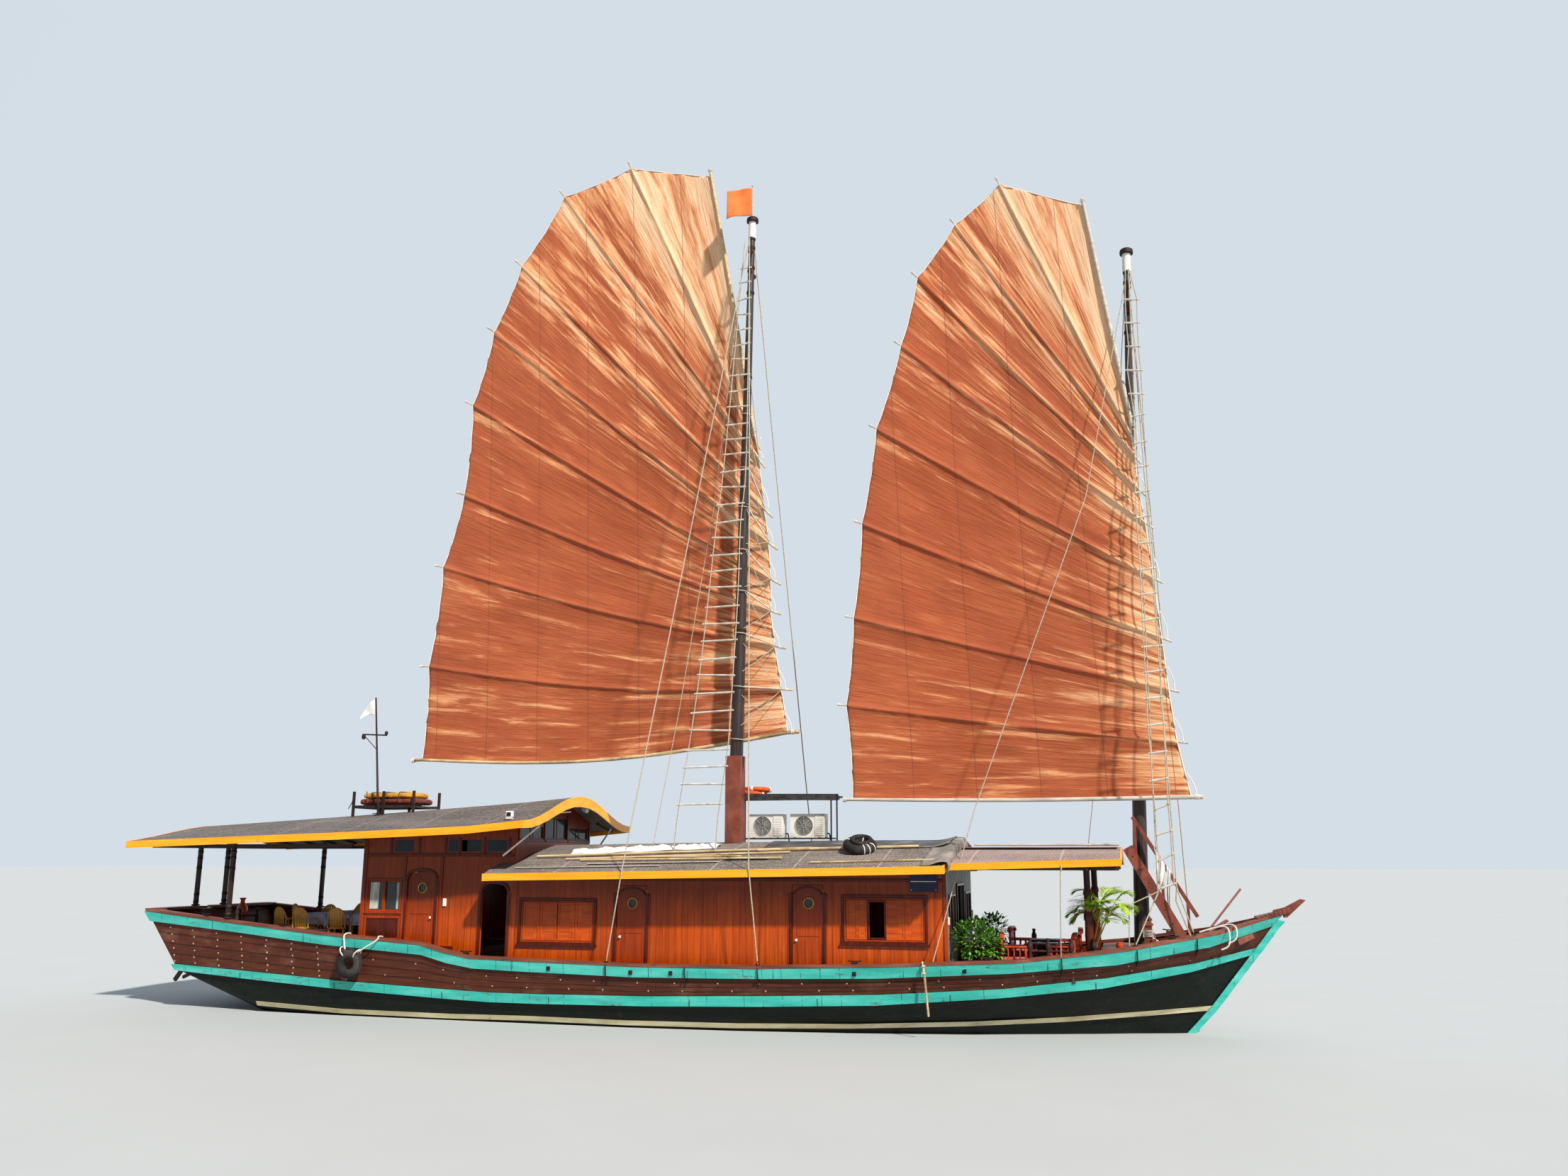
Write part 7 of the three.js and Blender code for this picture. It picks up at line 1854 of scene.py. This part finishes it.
def place(s, at, turn, deck):
    c, si = math.cos(turn), math.sin(turn)
    s.v = [(at[0] + x * c - y * si, at[1] + x * si + y * c, deck + z) for x, y, z in s.v]
    return s


def stool_chair(at, turn, deck):
    """A moulded chair with a round-topped slatted back; it faces +x before turning."""
    s = Shape()
    for sx, sy in ((0.19, 0.19), (0.19, -0.19), (-0.20, 0.18), (-0.20, -0.18)):
        s.tube([(sx * 1.12, sy * 1.12, 0.0), (sx, sy, 0.42)], [0.016, 0.024], 7)
    n = 8
    co, fc = [], []
    for z in (0.415, 0.445):
        for i in range(n + 1):
            for j in range(n + 1):
                u, v = i / n * 2 - 1, j / n * 2 - 1
                r = 0.235
                x = r * u * math.sqrt(1 - v * v / 2.6)
                y = r * v * math.sqrt(1 - u * u / 2.6)
                co.append((x, y, z - 0.02 * (1 - u * u) * (1 - v * v)))
    m = (n + 1) ** 2
    for i in range(n):
        for j in range(n):
            a = i * (n + 1) + j
            fc.append((a, a + 1, a + n + 2, a + n + 1))
            fc.append((m + a, m + a + n + 1, m + a + n + 2, m + a + 1))
    for i in range(n):
        for a, b in ((i, i + 1), (n * (n + 1) + i + 1, n * (n + 1) + i)):
            fc.append((a, m + a, m + b, b))
        a, b = (i + 1) * (n + 1), i * (n + 1)
        fc.append((a, m + a, m + b, b))
        a, b = i * (n + 1) + n, (i + 1) * (n + 1) + n
        fc.append((a, m + a, m + b, b))
    s.add(co, fc)
    # back: an arched hoop with slats
    hoop = []
    for i in range(17):
        a = math.pi * i / 16
        y = 0.215 * math.cos(a)
        z = 0.44 + 0.20 + 0.26 * math.sin(a) if True else 0
        hoop.append((-0.215 - 0.07 * math.sin(a), y, z))
    hoop = [(-0.205, 0.215, 0.43)] + hoop + [(-0.205, -0.215, 0.43)]
    s.tube(hoop, 0.020, 8)
    for y in (-0.13, -0.065, 0.0, 0.065, 0.13):
        a = math.acos(min(max(y / 0.215, -1), 1))
        s.beam((-0.208, y, 0.44), (-0.215 - 0.07 * math.sin(a), y, 0.64 + 0.26 * math.sin(a)), 0.058, 0.012, 0.004, up=(1, 0, 0))
    for side in (-1, 1):                    # arms
        s.tube(spline([(-0.215, side * 0.215, 0.62), (0.0, side * 0.245, 0.645), (0.17, side * 0.235, 0.62), (0.20, side * 0.21, 0.43)], 4), 0.018, 7)
    return place(s, at, turn, deck)


chairs = Shape()
CHAIRS = [((-10.15, -1.18), 1.3), ((-9.50, -1.35), 1.6), ((-8.62, -1.22), 1.8), ((-10.05, 0.10), -1.5), ((-9.2, 0.12), -1.7), ((-10.0, 1.45), -1.5), ((-9.1, 1.50), -1.6), ((-8.35, 0.55), 3.0), ((-11.0, 0.6), 0.2)]
for at, turn in CHAIRS:
    c = stool_chair(at, turn, DA)
    chairs.add(c.v, c.f)
chairs.make("deck_chairs", M_TAN, slot="raft_cover", shade=50)


def draped_cloth(name, at, half, drop, height, deck):
    """A square cloth that falls from the edges of a table in soft folds."""
    n = 44
    size = half + drop
    co, fc = [], []
    for i in range(n + 1):
        for j in range(n + 1):
            s, t = (i / n * 2 - 1) * size, (j / n * 2 - 1) * size
            dx, dy = max(abs(s) - half, 0), max(abs(t) - half, 0)
            cx, cy = max(min(s, half), -half), max(min(t, half), -half)
            r = math.hypot(dx, dy)
            if r < 1e-9:
                co.append((at[0] + s, at[1] + t, deck + height + 0.004))
                continue
            ux, uy = math.copysign(dx, s) / r if dx else 0, math.copysign(dy, t) / r if dy else 0
            fold = 0.028 * math.sin((s + t) * 17.0 + 1.3 * math.sin(s * 5 - t * 4)) * min(1.0, r / 0.12)
            outw = 0.012 + 0.10 * (r / drop) ** 1.0 * (1.0 if dx and dy else 0.28) + fold * (r / drop)
            co.append((at[0] + cx + ux * outw, at[1] + cy + uy * outw, deck + height + 0.004 - math.sqrt(max(r * r - (outw - 0.012) ** 2, 0)) * 0.985))
    for i in range(n):
        for j in range(n):
            a = i * (n + 1) + j
            fc.append((a, a + n + 1, a + n + 2, a + 1))
    ob, area = soft_sheet(name, co, fc, M_LILAC, 0.003, SHIP, "draped", [])
    return ob, area, size * 2


tables = Shape()
for k, at in enumerate(((-9.62, -0.62), (-9.55, 0.85), (-8.30, -0.72))):
    s = Shape()
    s.box(-0.40, 0.40, -0.40, 0.40, 0.70, 0.735, 0.006)
    for sx in (-0.34, 0.34):
        for sy in (-0.34, 0.34):
            s.tube([(sx, sy, 0.0), (sx, sy, 0.70)], 0.022, 8)
    for sx in (-0.34, 0.34):
        s.box(sx - 0.012, sx + 0.012, -0.34, 0.34, 0.62, 0.70, 0.004)
    place(s, at, 0.0, DA)
    tables.add(s.v, s.f)
tabo = tables.make("deck_tables", M_DARK, slot="dark_wood")
for k, at in enumerate(((-9.62, -0.62), (-9.55, 0.85), (-8.30, -0.72))):
    ob, area, size = draped_cloth("table_cloth_%d" % (k + 1), at, 0.405, 0.26, 0.735, DA)

vase = Shape()
vase.lathe([(0.0, 0.0), (0.10, 0.0), (0.11, 0.02), (0.075, 0.06), (0.12, 0.20), (0.145, 0.33), (0.12, 0.45), (0.06, 0.53), (0.05, 0.60), (0.085, 0.66), (0.075, 0.665), (0.04, 0.60), (0.04, 0.55), (0.0, 0.50)], (-12.15, -0.42, DA + 0.42), (0, 0, 1), 28)
vase.make("orange_vase", simple("glazed_orange", srgb(176, 70, 28), srgb(216, 104, 50), 5.0, (0.15, 0.3), 0.05, 0.001), slot="varnished_wood", shade=60)
gear = Shape()
gear.box(-12.32, -11.98, -0.60, -0.24, DA + 0.002, DA + 0.42, 0.01)
for x, y in ((-11.70, -1.05), (-11.52, -0.62), (-11.0, -2.0), (-7.95, -1.75), (-7.95, 1.75)):
    gear.lathe([(0.0, 0.0), (0.05, 0.0), (0.05, 0.05), (0.032, 0.09), (0.045, 0.25), (0.030, 0.45), (0.048, 0.60), (0.052, 0.66), (0.030, 0.72), (0.05, 0.78), (0.04, 0.84), (0.0, 0.85)], (x, y, DA + 0.002), (0, 0, 1), 16)
gear.tube([(-11.70, -1.05, DA + 0.66), (-11.52, -0.62, DA + 0.66)], 0.022, 8)
# benches along the bulwarks of the aft deck
for side in (-1, 1):
    for k in range(5):
        a, b = lerp(-12.2, -8.3, k / 5), lerp(-12.2, -8.3, (k + 1) / 5)
        ya, yb = side * (half_at(a) - 0.42), side * (half_at(b) - 0.42)
        gear.beam((a, ya, DA + 0.42), (b, yb, DA + 0.42), 0.34, 0.04, 0.006)
        gear.box(a + 0.02, a + 0.07, ya - 0.14, ya + 0.14, DA + 0.002, DA + 0.40, 0.006)
gear.make("aft_deck_gear", M_DARK, slot="dark_wood", shade=40)
# turned rings on the posts that carry the roofs
turn = Shape()
for x, y, r in ((-13.30, -0.78, 0.045), (-13.30, 0.25, 0.045), (-10.95, -2.37, 0.045), (-11.79, 2.31, 0.045)):
    z0 = max(cap_z(x), 2.33 if x < -13 else 0)
    for z in (z0 + 0.12, z0 + 0.30, 3.30, 3.55, 3.70):
        turn.lathe([(0.045, -0.045), (0.066, -0.03), (0.072, 0.0), (0.066, 0.03), (0.045, 0.045)], (x, y, z), (0, 0, 1), 16)
    turn.box(x - 0.075, x + 0.075, y - 0.075, y + 0.075, z0 + 0.012, z0 + 0.05, 0.008)
turn.make("post_turnings", M_DARK, slot="dark_wood", shade=50)

# ------------------------------------------------------------------ foredeck: posts, chairs, tables, plants
M_RED = simple("red_lacquer", srgb(186, 50, 18), srgb(228, 84, 34), 5.0, (0.3, 0.45), 0.1, 0.001, coat=0.3)
posts = Shape()
for x, y in ((9.28, -1.30), (9.34, 1.30)):
    posts.lathe([(0.076, 0.02), (0.10, 0.05), (0.10, 0.12), (0.078, 0.16), (0.082, 0.35), (0.10, 0.42), (0.082, 0.50), (0.094, 0.9), (0.082, 1.2), (0.102, 1.26), (0.102, 1.32), (0.08, 1.38), (0.076, 1.70), (0.096, 1.76), (0.076, 1.84)], (x, y, DM), (0, 0, 1), 20)
posts.make("canopy_post_turnings", M_TRIM, slot="varnished_wood", shade=50)


def red_chair(at, turn, deck):
    s = Shape()
    for sx, sy in ((0.24, 0.25), (0.24, -0.25), (-0.24, 0.25), (-0.24, -0.25)):
        s.box(sx - 0.024, sx + 0.024, sy - 0.024, sy + 0.024, 0.0, 0.66 if sx > 0 else 0.90, 0.005)
    s.box(-0.27, 0.27, -0.27, 0.27, 0.40, 0.44, 0.008)
    s.box(-0.25, 0.27, -0.29, -0.235, 0.655, 0.69, 0.010)
    s.box(-0.25, 0.27, 0.235, 0.29, 0.655, 0.69, 0.010)
    for i in range(8):
        a, b = math.pi * i / 8, math.pi * (i + 1) / 8
        s.beam((-0.245, -0.28 * math.cos(a), 0.84 + 0.10 * math.sin(a)), (-0.245, -0.28 * math.cos(b), 0.84 + 0.10 * math.sin(b)), 0.045, 0.11, 0.010, up=(1, 0, 0))
    s.beam((-0.245, -0.24, 0.62), (-0.245, 0.24, 0.62), 0.028, 0.05, 0.008)
    for y in (-0.17, -0.085, 0.0, 0.085, 0.17):
        s.box(-0.255, -0.235, y - 0.026, y + 0.026, 0.44, 0.86, 0.004)
    for y in (-0.265, 0.265):
        for x in (-0.12, 0.0, 0.12):
            s.box(x - 0.014, x + 0.014, y - 0.012, y + 0.012, 0.44, 0.66, 0.004)
    s.box(-0.23, 0.23, -0.26, -0.24, 0.30, 0.34, 0.004)
    s.box(-0.23, 0.23, 0.24, 0.26, 0.30, 0.34, 0.004)
    return place(s, at, turn, deck)


red = Shape()
for at, turn in (((7.72, -1.22), 0.1), ((8.75, -0.95), 3.0), ((7.70, 1.15), -0.1), ((8.75, 1.0), 3.2), ((7.1, 0.0), 0.0)):
    c = red_chair(at, turn, DM)
    red.add(c.v, c.f)
red.make("lacquer_chairs", M_RED, slot="varnished_wood", shade=30)
tb = Shape()
for at in ((8.22, -0.55), (8.22, 0.75)):
    s = Shape()
    s.box(-0.33, 0.33, -0.33, 0.33, 0.66, 0.70, 0.008)
    s.lathe([(0.0, 0.0), (0.22, 0.0), (0.22, 0.03), (0.05, 0.08), (0.04, 0.3), (0.06, 0.45), (0.04, 0.6), (0.10, 0.66), (0.0, 0.66)], (0, 0, 0), (0, 0, 1), 18)
    place(s, at, 0, DM)
    tb.add(s.v, s.f)
for x, y, h in ((8.10, -1.78, 0.82), (8.46, -1.74, 0.86), (8.92, -1.70, 0.74), (9.30, 1.36, 0.74), (7.9, 1.80, 0.86), (9.36, -1.42, 0.66)):
    tb.lathe([(0.0, 0.0), (0.06, 0.0), (0.06, 0.04), (0.035, 0.08), (0.055, 0.22), (0.035, 0.38), (0.05, 0.52), (0.03, 0.60), (0.058, 0.68), (0.058, 0.74), (0.03, 0.80), (0.045, 0.86), (0.0, 0.88)], (x, y, DM), (0, 0, 1), 16)
    tb.v = tb.v
tb.tube([(8.10, -1.78, DM + 0.62), (8.92, -1.70, DM + 0.62)], 0.024, 8)
tb.make("foredeck_tables", M_DARK, slot="dark_wood", shade=50)

pots = Shape()
POTS = [(6.88, -1.60, 0.26, 0.34), (7.22, -1.52, 0.20, 0.26), (9.20, -1.00, 0.16, 0.26), (6.92, 1.60, 0.24, 0.32)]
for x, y, r, h in POTS:
    deck = DM if x < 9.45 else DB
    pots.lathe([(0.0, 0.0), (r * 0.62, 0.0), (r * 0.66, 0.02), (r * 0.95, h * 0.84), (r * 1.04, h * 0.86), (r * 1.04, h), (r * 0.92, h), (r * 0.88, h * 0.90), (0.0, h * 0.88)], (x, y, deck + 0.002), (0, 0, 1), 28)
pots.make("plant_pots", simple("terracotta", srgb(176, 84, 60), srgb(214, 122, 92), 5.0, (0.7, 0.9), 0.3, 0.003, dirt=srgb(120, 70, 54)), slot="varnished_wood", shade=40)
soil = Shape()
for x, y, r, h in POTS:
    deck = DM if x < 9.45 else DB
    soil.lathe([(0.0, h * 0.93), (r * 0.5, h * 0.92), (r * 0.88, h * 0.90), (r * 0.5, h * 0.88), (0.0, h * 0.88)], (x, y, deck + 0.002), (0, 0, 1), 20)
soil.make("pot_soil", simple("soil", srgb(40, 28, 20), srgb(70, 52, 38), 30.0, (0.9, 1.0), 0.8, 0.01), slot="dark_wood", shade=0)
M_LEAF = Mat("leaf_green")
k = M_LEAF
geo_r = k.n("NewGeometry").outputs["Random Per Island"]
lf = k.mix(geo_r, srgb(44, 104, 18), srgb(124, 186, 50))
lf = k.mix(k.ramp(k.noise(k.obj, 8.0, 3), [(0.4, 0.0), (0.8, 0.5)]), lf, srgb(30, 78, 14))
k.set(lf, 0.42, k.bump(k.noise(k.obj, 40, 2), 0.2, 0.002))
k.b.inputs["Transmission Weight"].default_value = 0.0
M_LEAF = k.m
M_PALM = Mat("palm_green")
k = M_PALM
lf = k.mix(k.n("NewGeometry").outputs["Random Per Island"], srgb(104, 168, 24), srgb(196, 220, 66))
lf = k.mix(k.ramp(k.noise(k.obj, 6.0, 3), [(0.45, 0.0), (0.8, 0.45)]), lf, srgb(60, 124, 20))
k.set(lf, 0.45, k.bump(k.noise(k.obj, 30, 2), 0.2, 0.002))
M_PALM = k.m


def leaf(s, at, d, up, length, wide, bend=0.2):
    d = Vector(d).normalized()
    w = d.cross(Vector(up))
    if w.length < 1e-3:
        w = d.orthogonal()
    w.normalize()
    n = w.cross(d).normalized()
    at = Vector(at)
    co = [at]
    for t, ww in ((0.28, 0.42), (0.6, 0.5), (0.85, 0.26)):
        m = at + d * length * t - n * (bend * length * t * t) * (1 if n.z > 0 else -1)
        co += [m - w * wide * ww, m + n * wide * 0.10, m + w * wide * ww]
    co.append(at + d * length - n * (bend * length) * (1 if n.z > 0 else -1))
    s.add(co, [(0, 1, 2), (0, 2, 3), (1, 4, 5, 2), (2, 5, 6, 3), (4, 7, 8, 5), (5, 8, 9, 6), (7, 10, 8), (8, 10, 9)])


def bush(s, stems, c, r, count, size, seed):
    rr = random.Random(seed)
    for i in range(count):
        while True:
            p = Vector((rr.uniform(-1, 1), rr.uniform(-1, 1), rr.uniform(-0.8, 1)))
            if 0.45 < p.length < 1:
                break
        at = Vector(c) + Vector((p.x * r[0], p.y * r[1], p.z * r[2]))
        d = (p + Vector((rr.uniform(-0.6, 0.6), rr.uniform(-0.6, 0.6), rr.uniform(-0.3, 0.6)))).normalized()
        leaf(s, at, d, (0, 0, 1), size * rr.uniform(0.7, 1.25), size * rr.uniform(0.45, 0.6), 0.15)
    for i in range(26):
        p = Vector((rr.uniform(-1, 1), rr.uniform(-1, 1), rr.uniform(0.0, 0.8)))
        e = Vector(c) + Vector((p.x * r[0] * 0.8, p.y * r[1] * 0.8, p.z * r[2] * 0.8))
        b = Vector((c[0], c[1], c[2] - r[2] * 1.1))
        stems.tube(spline([b + Vector((p.x, p.y, 0)) * 0.05, b.lerp(e, 0.5) + Vector((0.03, 0.02, 0.05)), e], 3), [0.012, 0.010, 0.009, 0.008, 0.007, 0.006, 0.005], 5)


leaves, twigs = Shape(), Shape()
bush(leaves, twigs, (6.93, -1.62, DM + 0.82), (0.42, 0.34, 0.42), 620, 0.105, 5)
bush(leaves, twigs, (7.30, -1.50, DM + 0.68), (0.26, 0.26, 0.34), 260, 0.095, 6)
bush(leaves, twigs, (6.95, 1.60, DM + 0.82), (0.40, 0.34, 0.40), 480, 0.105, 7)
leaves.make("shrub_leaves", M_LEAF, slot="varnished_wood", shade=0)


def frond(s, stems, base, d, length, droop, leaflets, wide, seed):
    """A feather palm frond: an arching rib with leaflets along both sides."""
    rr = random.Random(seed)
    d = Vector(d).normalized()
    side = d.cross(Vector((0, 0, 1)))
    if side.length < 1e-3:
        side = Vector((1, 0, 0))
    side.normalize()
    pts = []
    for i in range(13):
        t = i / 12
        pts.append(Vector(base) + d * (length * t) + Vector((0, 0, -droop * length * t ** 2.2)))
    stems.tube(pts, [0.007 * (1 - 0.8 * i / 12) + 0.002 for i in range(13)], 6)
    for i in range(leaflets):
        t = lerp(0.30, 0.99, i / (leaflets - 1))
        j = min(int(t * 12), 11)
        p = pts[j].lerp(pts[j + 1], t * 12 - j)
        tang = (pts[j + 1] - pts[j]).normalized()
        for sg in (-1, 1):
            dd = (tang * 0.75 + side * sg * 0.75 + Vector((0, 0, 0.15 + rr.uniform(-0.12, 0.12)))).normalized()
            ll = length * (0.36 * math.sin(math.pi * (0.15 + 0.8 * (t - 0.3) / 0.7)) + 0.06)
            leaf(s, p, dd, (0, 0, 1), ll, wide, 0.35)


pal, stems = Shape(), Shape()
rr = random.Random(12)
bx, by, bz = 9.20, -1.00, DM + 0.24
for c, (tx, ty, tall) in enumerate(((0.14, -0.24, 1.08), (0.34, -0.10, 1.32), (0.52, -0.26, 1.16), (0.34, 0.10, 0.92))):
    foot = Vector((bx + 0.07 * math.cos(c * 1.7), by + 0.07 * math.sin(c * 1.7), bz))
    crown = Vector((bx + tx, by + ty, bz + tall))
    bend = foot.lerp(crown, 0.5) + Vector((0.03, 0.0, 0.03))
    stems.tube([foot, bend, crown], [0.022, 0.018, 0.014], 8)
    for i in range(7):
        a = 2 * math.pi * (i + 0.5 * (c % 2)) / 7 + rr.uniform(-0.25, 0.25)
        lean = (0.18 if i == 0 else 0.55) + rr.uniform(0.0, 0.55)
        at = crown.lerp(bend, 0.16 * (i % 3))
        frond(pal, stems, at, Vector((math.cos(a) * lean, math.sin(a) * lean * 0.8, 0.95)), rr.uniform(0.66, 0.94), rr.uniform(0.30, 0.72), 20, 0.028, c * 17 + i)
pal.make("palm_leaflets", M_PALM, slot="varnished_wood", shade=0)
stems.make("palm_stems", simple("palm_stem", srgb(176, 176, 70), srgb(226, 216, 140), 8.0, (0.5, 0.7), 0.2, 0.002, stretch=(1, 1, 0.3)), slot="bamboo", shade=60)
twigs.make("shrub_twigs", M_DARK, slot="dark_wood", shade=60)
fp = Shape()
fp.lathe([(0.0, 0.0), (0.05, 0.0), (0.07, 0.05), (0.075, 0.10), (0.06, 0.14), (0.065, 0.15), (0.05, 0.15), (0.0, 0.12)], (9.86, -1.02, DB + 0.002), (0, 0, 1), 24)
fp.make("red_flower_pot", M_RED, slot="varnished_wood", shade=50)


# ------------------------------------------------------------------ ropes and gear at the bow
run = Shape()
# the line over the fore sail, its tail made fast at the rail
line = Shape()
ends = [Vector(p) for p in ((10.86, -0.12, 17.0), (9.68, -1.0, 11.46), (7.05, -1.6, 4.58), (6.21, -2.46, 1.50))]
pts = [ends[0].lerp(ends[1], i / 5) for i in range(5)] + [ends[1].lerp(ends[2], i / 6) for i in range(6)] + [ends[2].lerp(ends[3], i / 24) for i in range(25)]
line.tube(pts, 0.011, 6)
ob = line.make("fore_sail_line", M_ROPE, None, "rope", 50)
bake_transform(ob)
run.tube([(8.84, -2.43, 3.40), (8.82, -2.46, 3.28), (8.73, -2.07, 1.60)], 0.012, 6)
run.torus((8.84, -2.44, 3.36), (1, 0, 0), 0.05, 0.010, 14, 6)
# legs of the fore ladder down to the rail and the bitts
foot_l = fore_ladder_point(1635.8, 1257)
foot_r = fore_ladder_point(1660, 1250)
run.tube([foot_l, Vector((10.10, -1.54, 2.62)), Vector((10.06, -1.56, cap_z(10.06) + 0.02))], 0.014, 6)
run.tube([foot_r, Vector((11.02, -1.42, 2.70)), Vector((11.26, -1.24, cap_z(11.26) + 0.02))], 0.014, 6)
run.tube([(1.30, -0.12, 18.9), (0.62, -0.30, 12.0), (-0.10, -0.55, 7.0), (-0.60, -0.80, roof_z("main", -0.6, -0.8) + 0.04)], 0.009, 5)
run.tube([(10.80, 0.10, 16.6), (9.9, 0.9, 8.0), (9.2, 1.8, 3.62)], 0.010, 5)
run.make("running_ropes", M_ROPE, slot="rope", shade=50)
# rope turns on the bitts and over the bow rail
turns = Shape()
for side in (-1, 1):
    for z in (1.98, 2.01, 2.04, 2.07, 2.10):
        y = side * 1.045
        turns.tube([(10.345, y - 0.095, z), (10.535, y - 0.095, z + 0.01), (10.535, y + 0.095, z), (10.345, y + 0.095, z - 0.01)], 0.015, 6, closed=True)
for x, drop in ((11.95, 0.30), (12.10, 0.22)):
    h = half_at(x)
    turns.tube(spline([(x - 0.5, -(h - 0.02), cap_z(x - 0.5) + 0.03), (x - 0.1, -(h - 0.02), cap_z(x) + 0.045), (x + 0.06, -(h + 0.10), cap_z(x) + 0.0), (x + 0.05, -(h + 0.11), cap_z(x) - drop), (x - 0.10, -(h + 0.09), cap_z(x) - drop - 0.10)], 6), 0.017, 7)
turns.tube(spline([(10.52, -1.05, 1.95), (10.8, -1.08, 1.80), (11.1, -0.95, 1.735), (11.35, -0.70, 1.73), (11.1, -0.5, 1.73), (10.85, -0.75, 1.735), (11.1, -0.98, 1.76), (11.5, -0.85, 1.74)], 6), 0.017, 7)
turns.make("mooring_turns", M_ROPE_WHITE, slot="rope", shade=50)
# boat hook, oar and bow roller
hook = Shape()
hook.tube([(11.62, -0.72, cap_z(11.6) + 0.02), (12.35, -0.25, 2.92)], 0.022, 8)
hook.beam((11.15, -0.62, 1.76), (12.05, -0.16, 2.28), 0.09, 0.05, 0.01)
hook.make("boat_hook", M_STAIR, slot="stair_wood", shade=50)
anc = Shape()
anc.box(11.50, 11.80, -0.16, 0.16, DB + 0.002, DB + 0.10, 0.012)
anc.lathe([(0.0, -0.26), (0.07, -0.26), (0.075, -0.20), (0.055, -0.18), (0.055, 0.18), (0.075, 0.20), (0.07, 0.26), (0.0, 0.26)], (11.64, 0, DB + 0.22), (0, 1, 0), 20)
anc.box(11.55, 11.73, -0.235, -0.20, DB + 0.002, DB + 0.34, 0.008)
anc.box(11.55, 11.73, 0.20, 0.235, DB + 0.002, DB + 0.34, 0.008)
anc.make("bow_windlass", M_IRON, slot="steel", shade=40)
# a towel on the stair top and one on its rail
M_TOWEL = M_CLOTH


def towel(name, top_a, top_b, drop, seed):
    a, b = Vector(top_a), Vector(top_b)
    nx, ny = 20, 30
    out = Vector((0, -1, 0))
    co, fc = [], []
    for i in range(nx + 1):
        for j in range(ny + 1):
            u, v = i / nx, j / ny
            p = a.lerp(b, 0.5 + (u - 0.5) * (1 - 0.45 * v))
            fold = 0.035 * math.sin(u * 11 + seed + v * 2) * (0.3 + v)
            co.append(tuple(p + out * (0.03 + fold) + Vector((0.02 * math.sin(v * 4 + seed), 0, -drop * v))))
    for i in range(nx):
        for j in range(ny):
            q = i * (ny + 1) + j
            fc.append((q, q + ny + 1, q + ny + 2, q + 1))
    ob, area = soft_sheet(name, co, fc, M_TOWEL, 0.004, SHIP, "hung", [])


def rail_pt(k, y=-0.30):
    return Vector((lerp(10.26, 11.46, k), y, lerp(4.42, 2.35, k)))


towel("stair_cloth", rail_pt(0.33) + Vector((0, -0.03, 0.045)), rail_pt(0.50) + Vector((0, -0.03, 0.045)), 0.62, 0.4)
towel("stair_towel", rail_pt(0.52) + Vector((0, -0.03, 0.045)), rail_pt(0.58) + Vector((0, -0.03, 0.045)), 0.95, 1.9)
# bolts of the stair
bolts = Shape()
for i in range(7):
    kk = (i + 0.5) / 7
    x, z = lerp(10.15, 11.16, kk), lerp(3.72, DB + 0.12, kk)
    for yy in (-0.836, -0.274):
        bolts.ball((x, yy, z), 0.014, 0.6, (0, 1, 0), 8, 4)
bolts.make("stair_bolts", M_IRON, slot="steel")

# the two cap rails meet the horn of the stem in a carved knee
knee = Shape()
tip_y = half_at(12.9)
for k in range(8):
    t0, t1 = k / 8, (k + 1) / 8
    xa, xb = lerp(12.62, 13.30, t0), lerp(12.62, 13.30, t1)
    za, zb = lerp(cap_z(12.62) - 0.01, 2.50, t0 ** 1.1), lerp(cap_z(12.62) - 0.01, 2.50, t1 ** 1.1)
    knee.beam((xa, 0, za), (xb, 0, zb), lerp(half_at(12.62) * 1.7, 0.13, t0), 0.10, 0.012)
knee.make("stem_knee", M_STAIR, slot="stair_wood", shade=40)


bpy.context.view_layer.update()
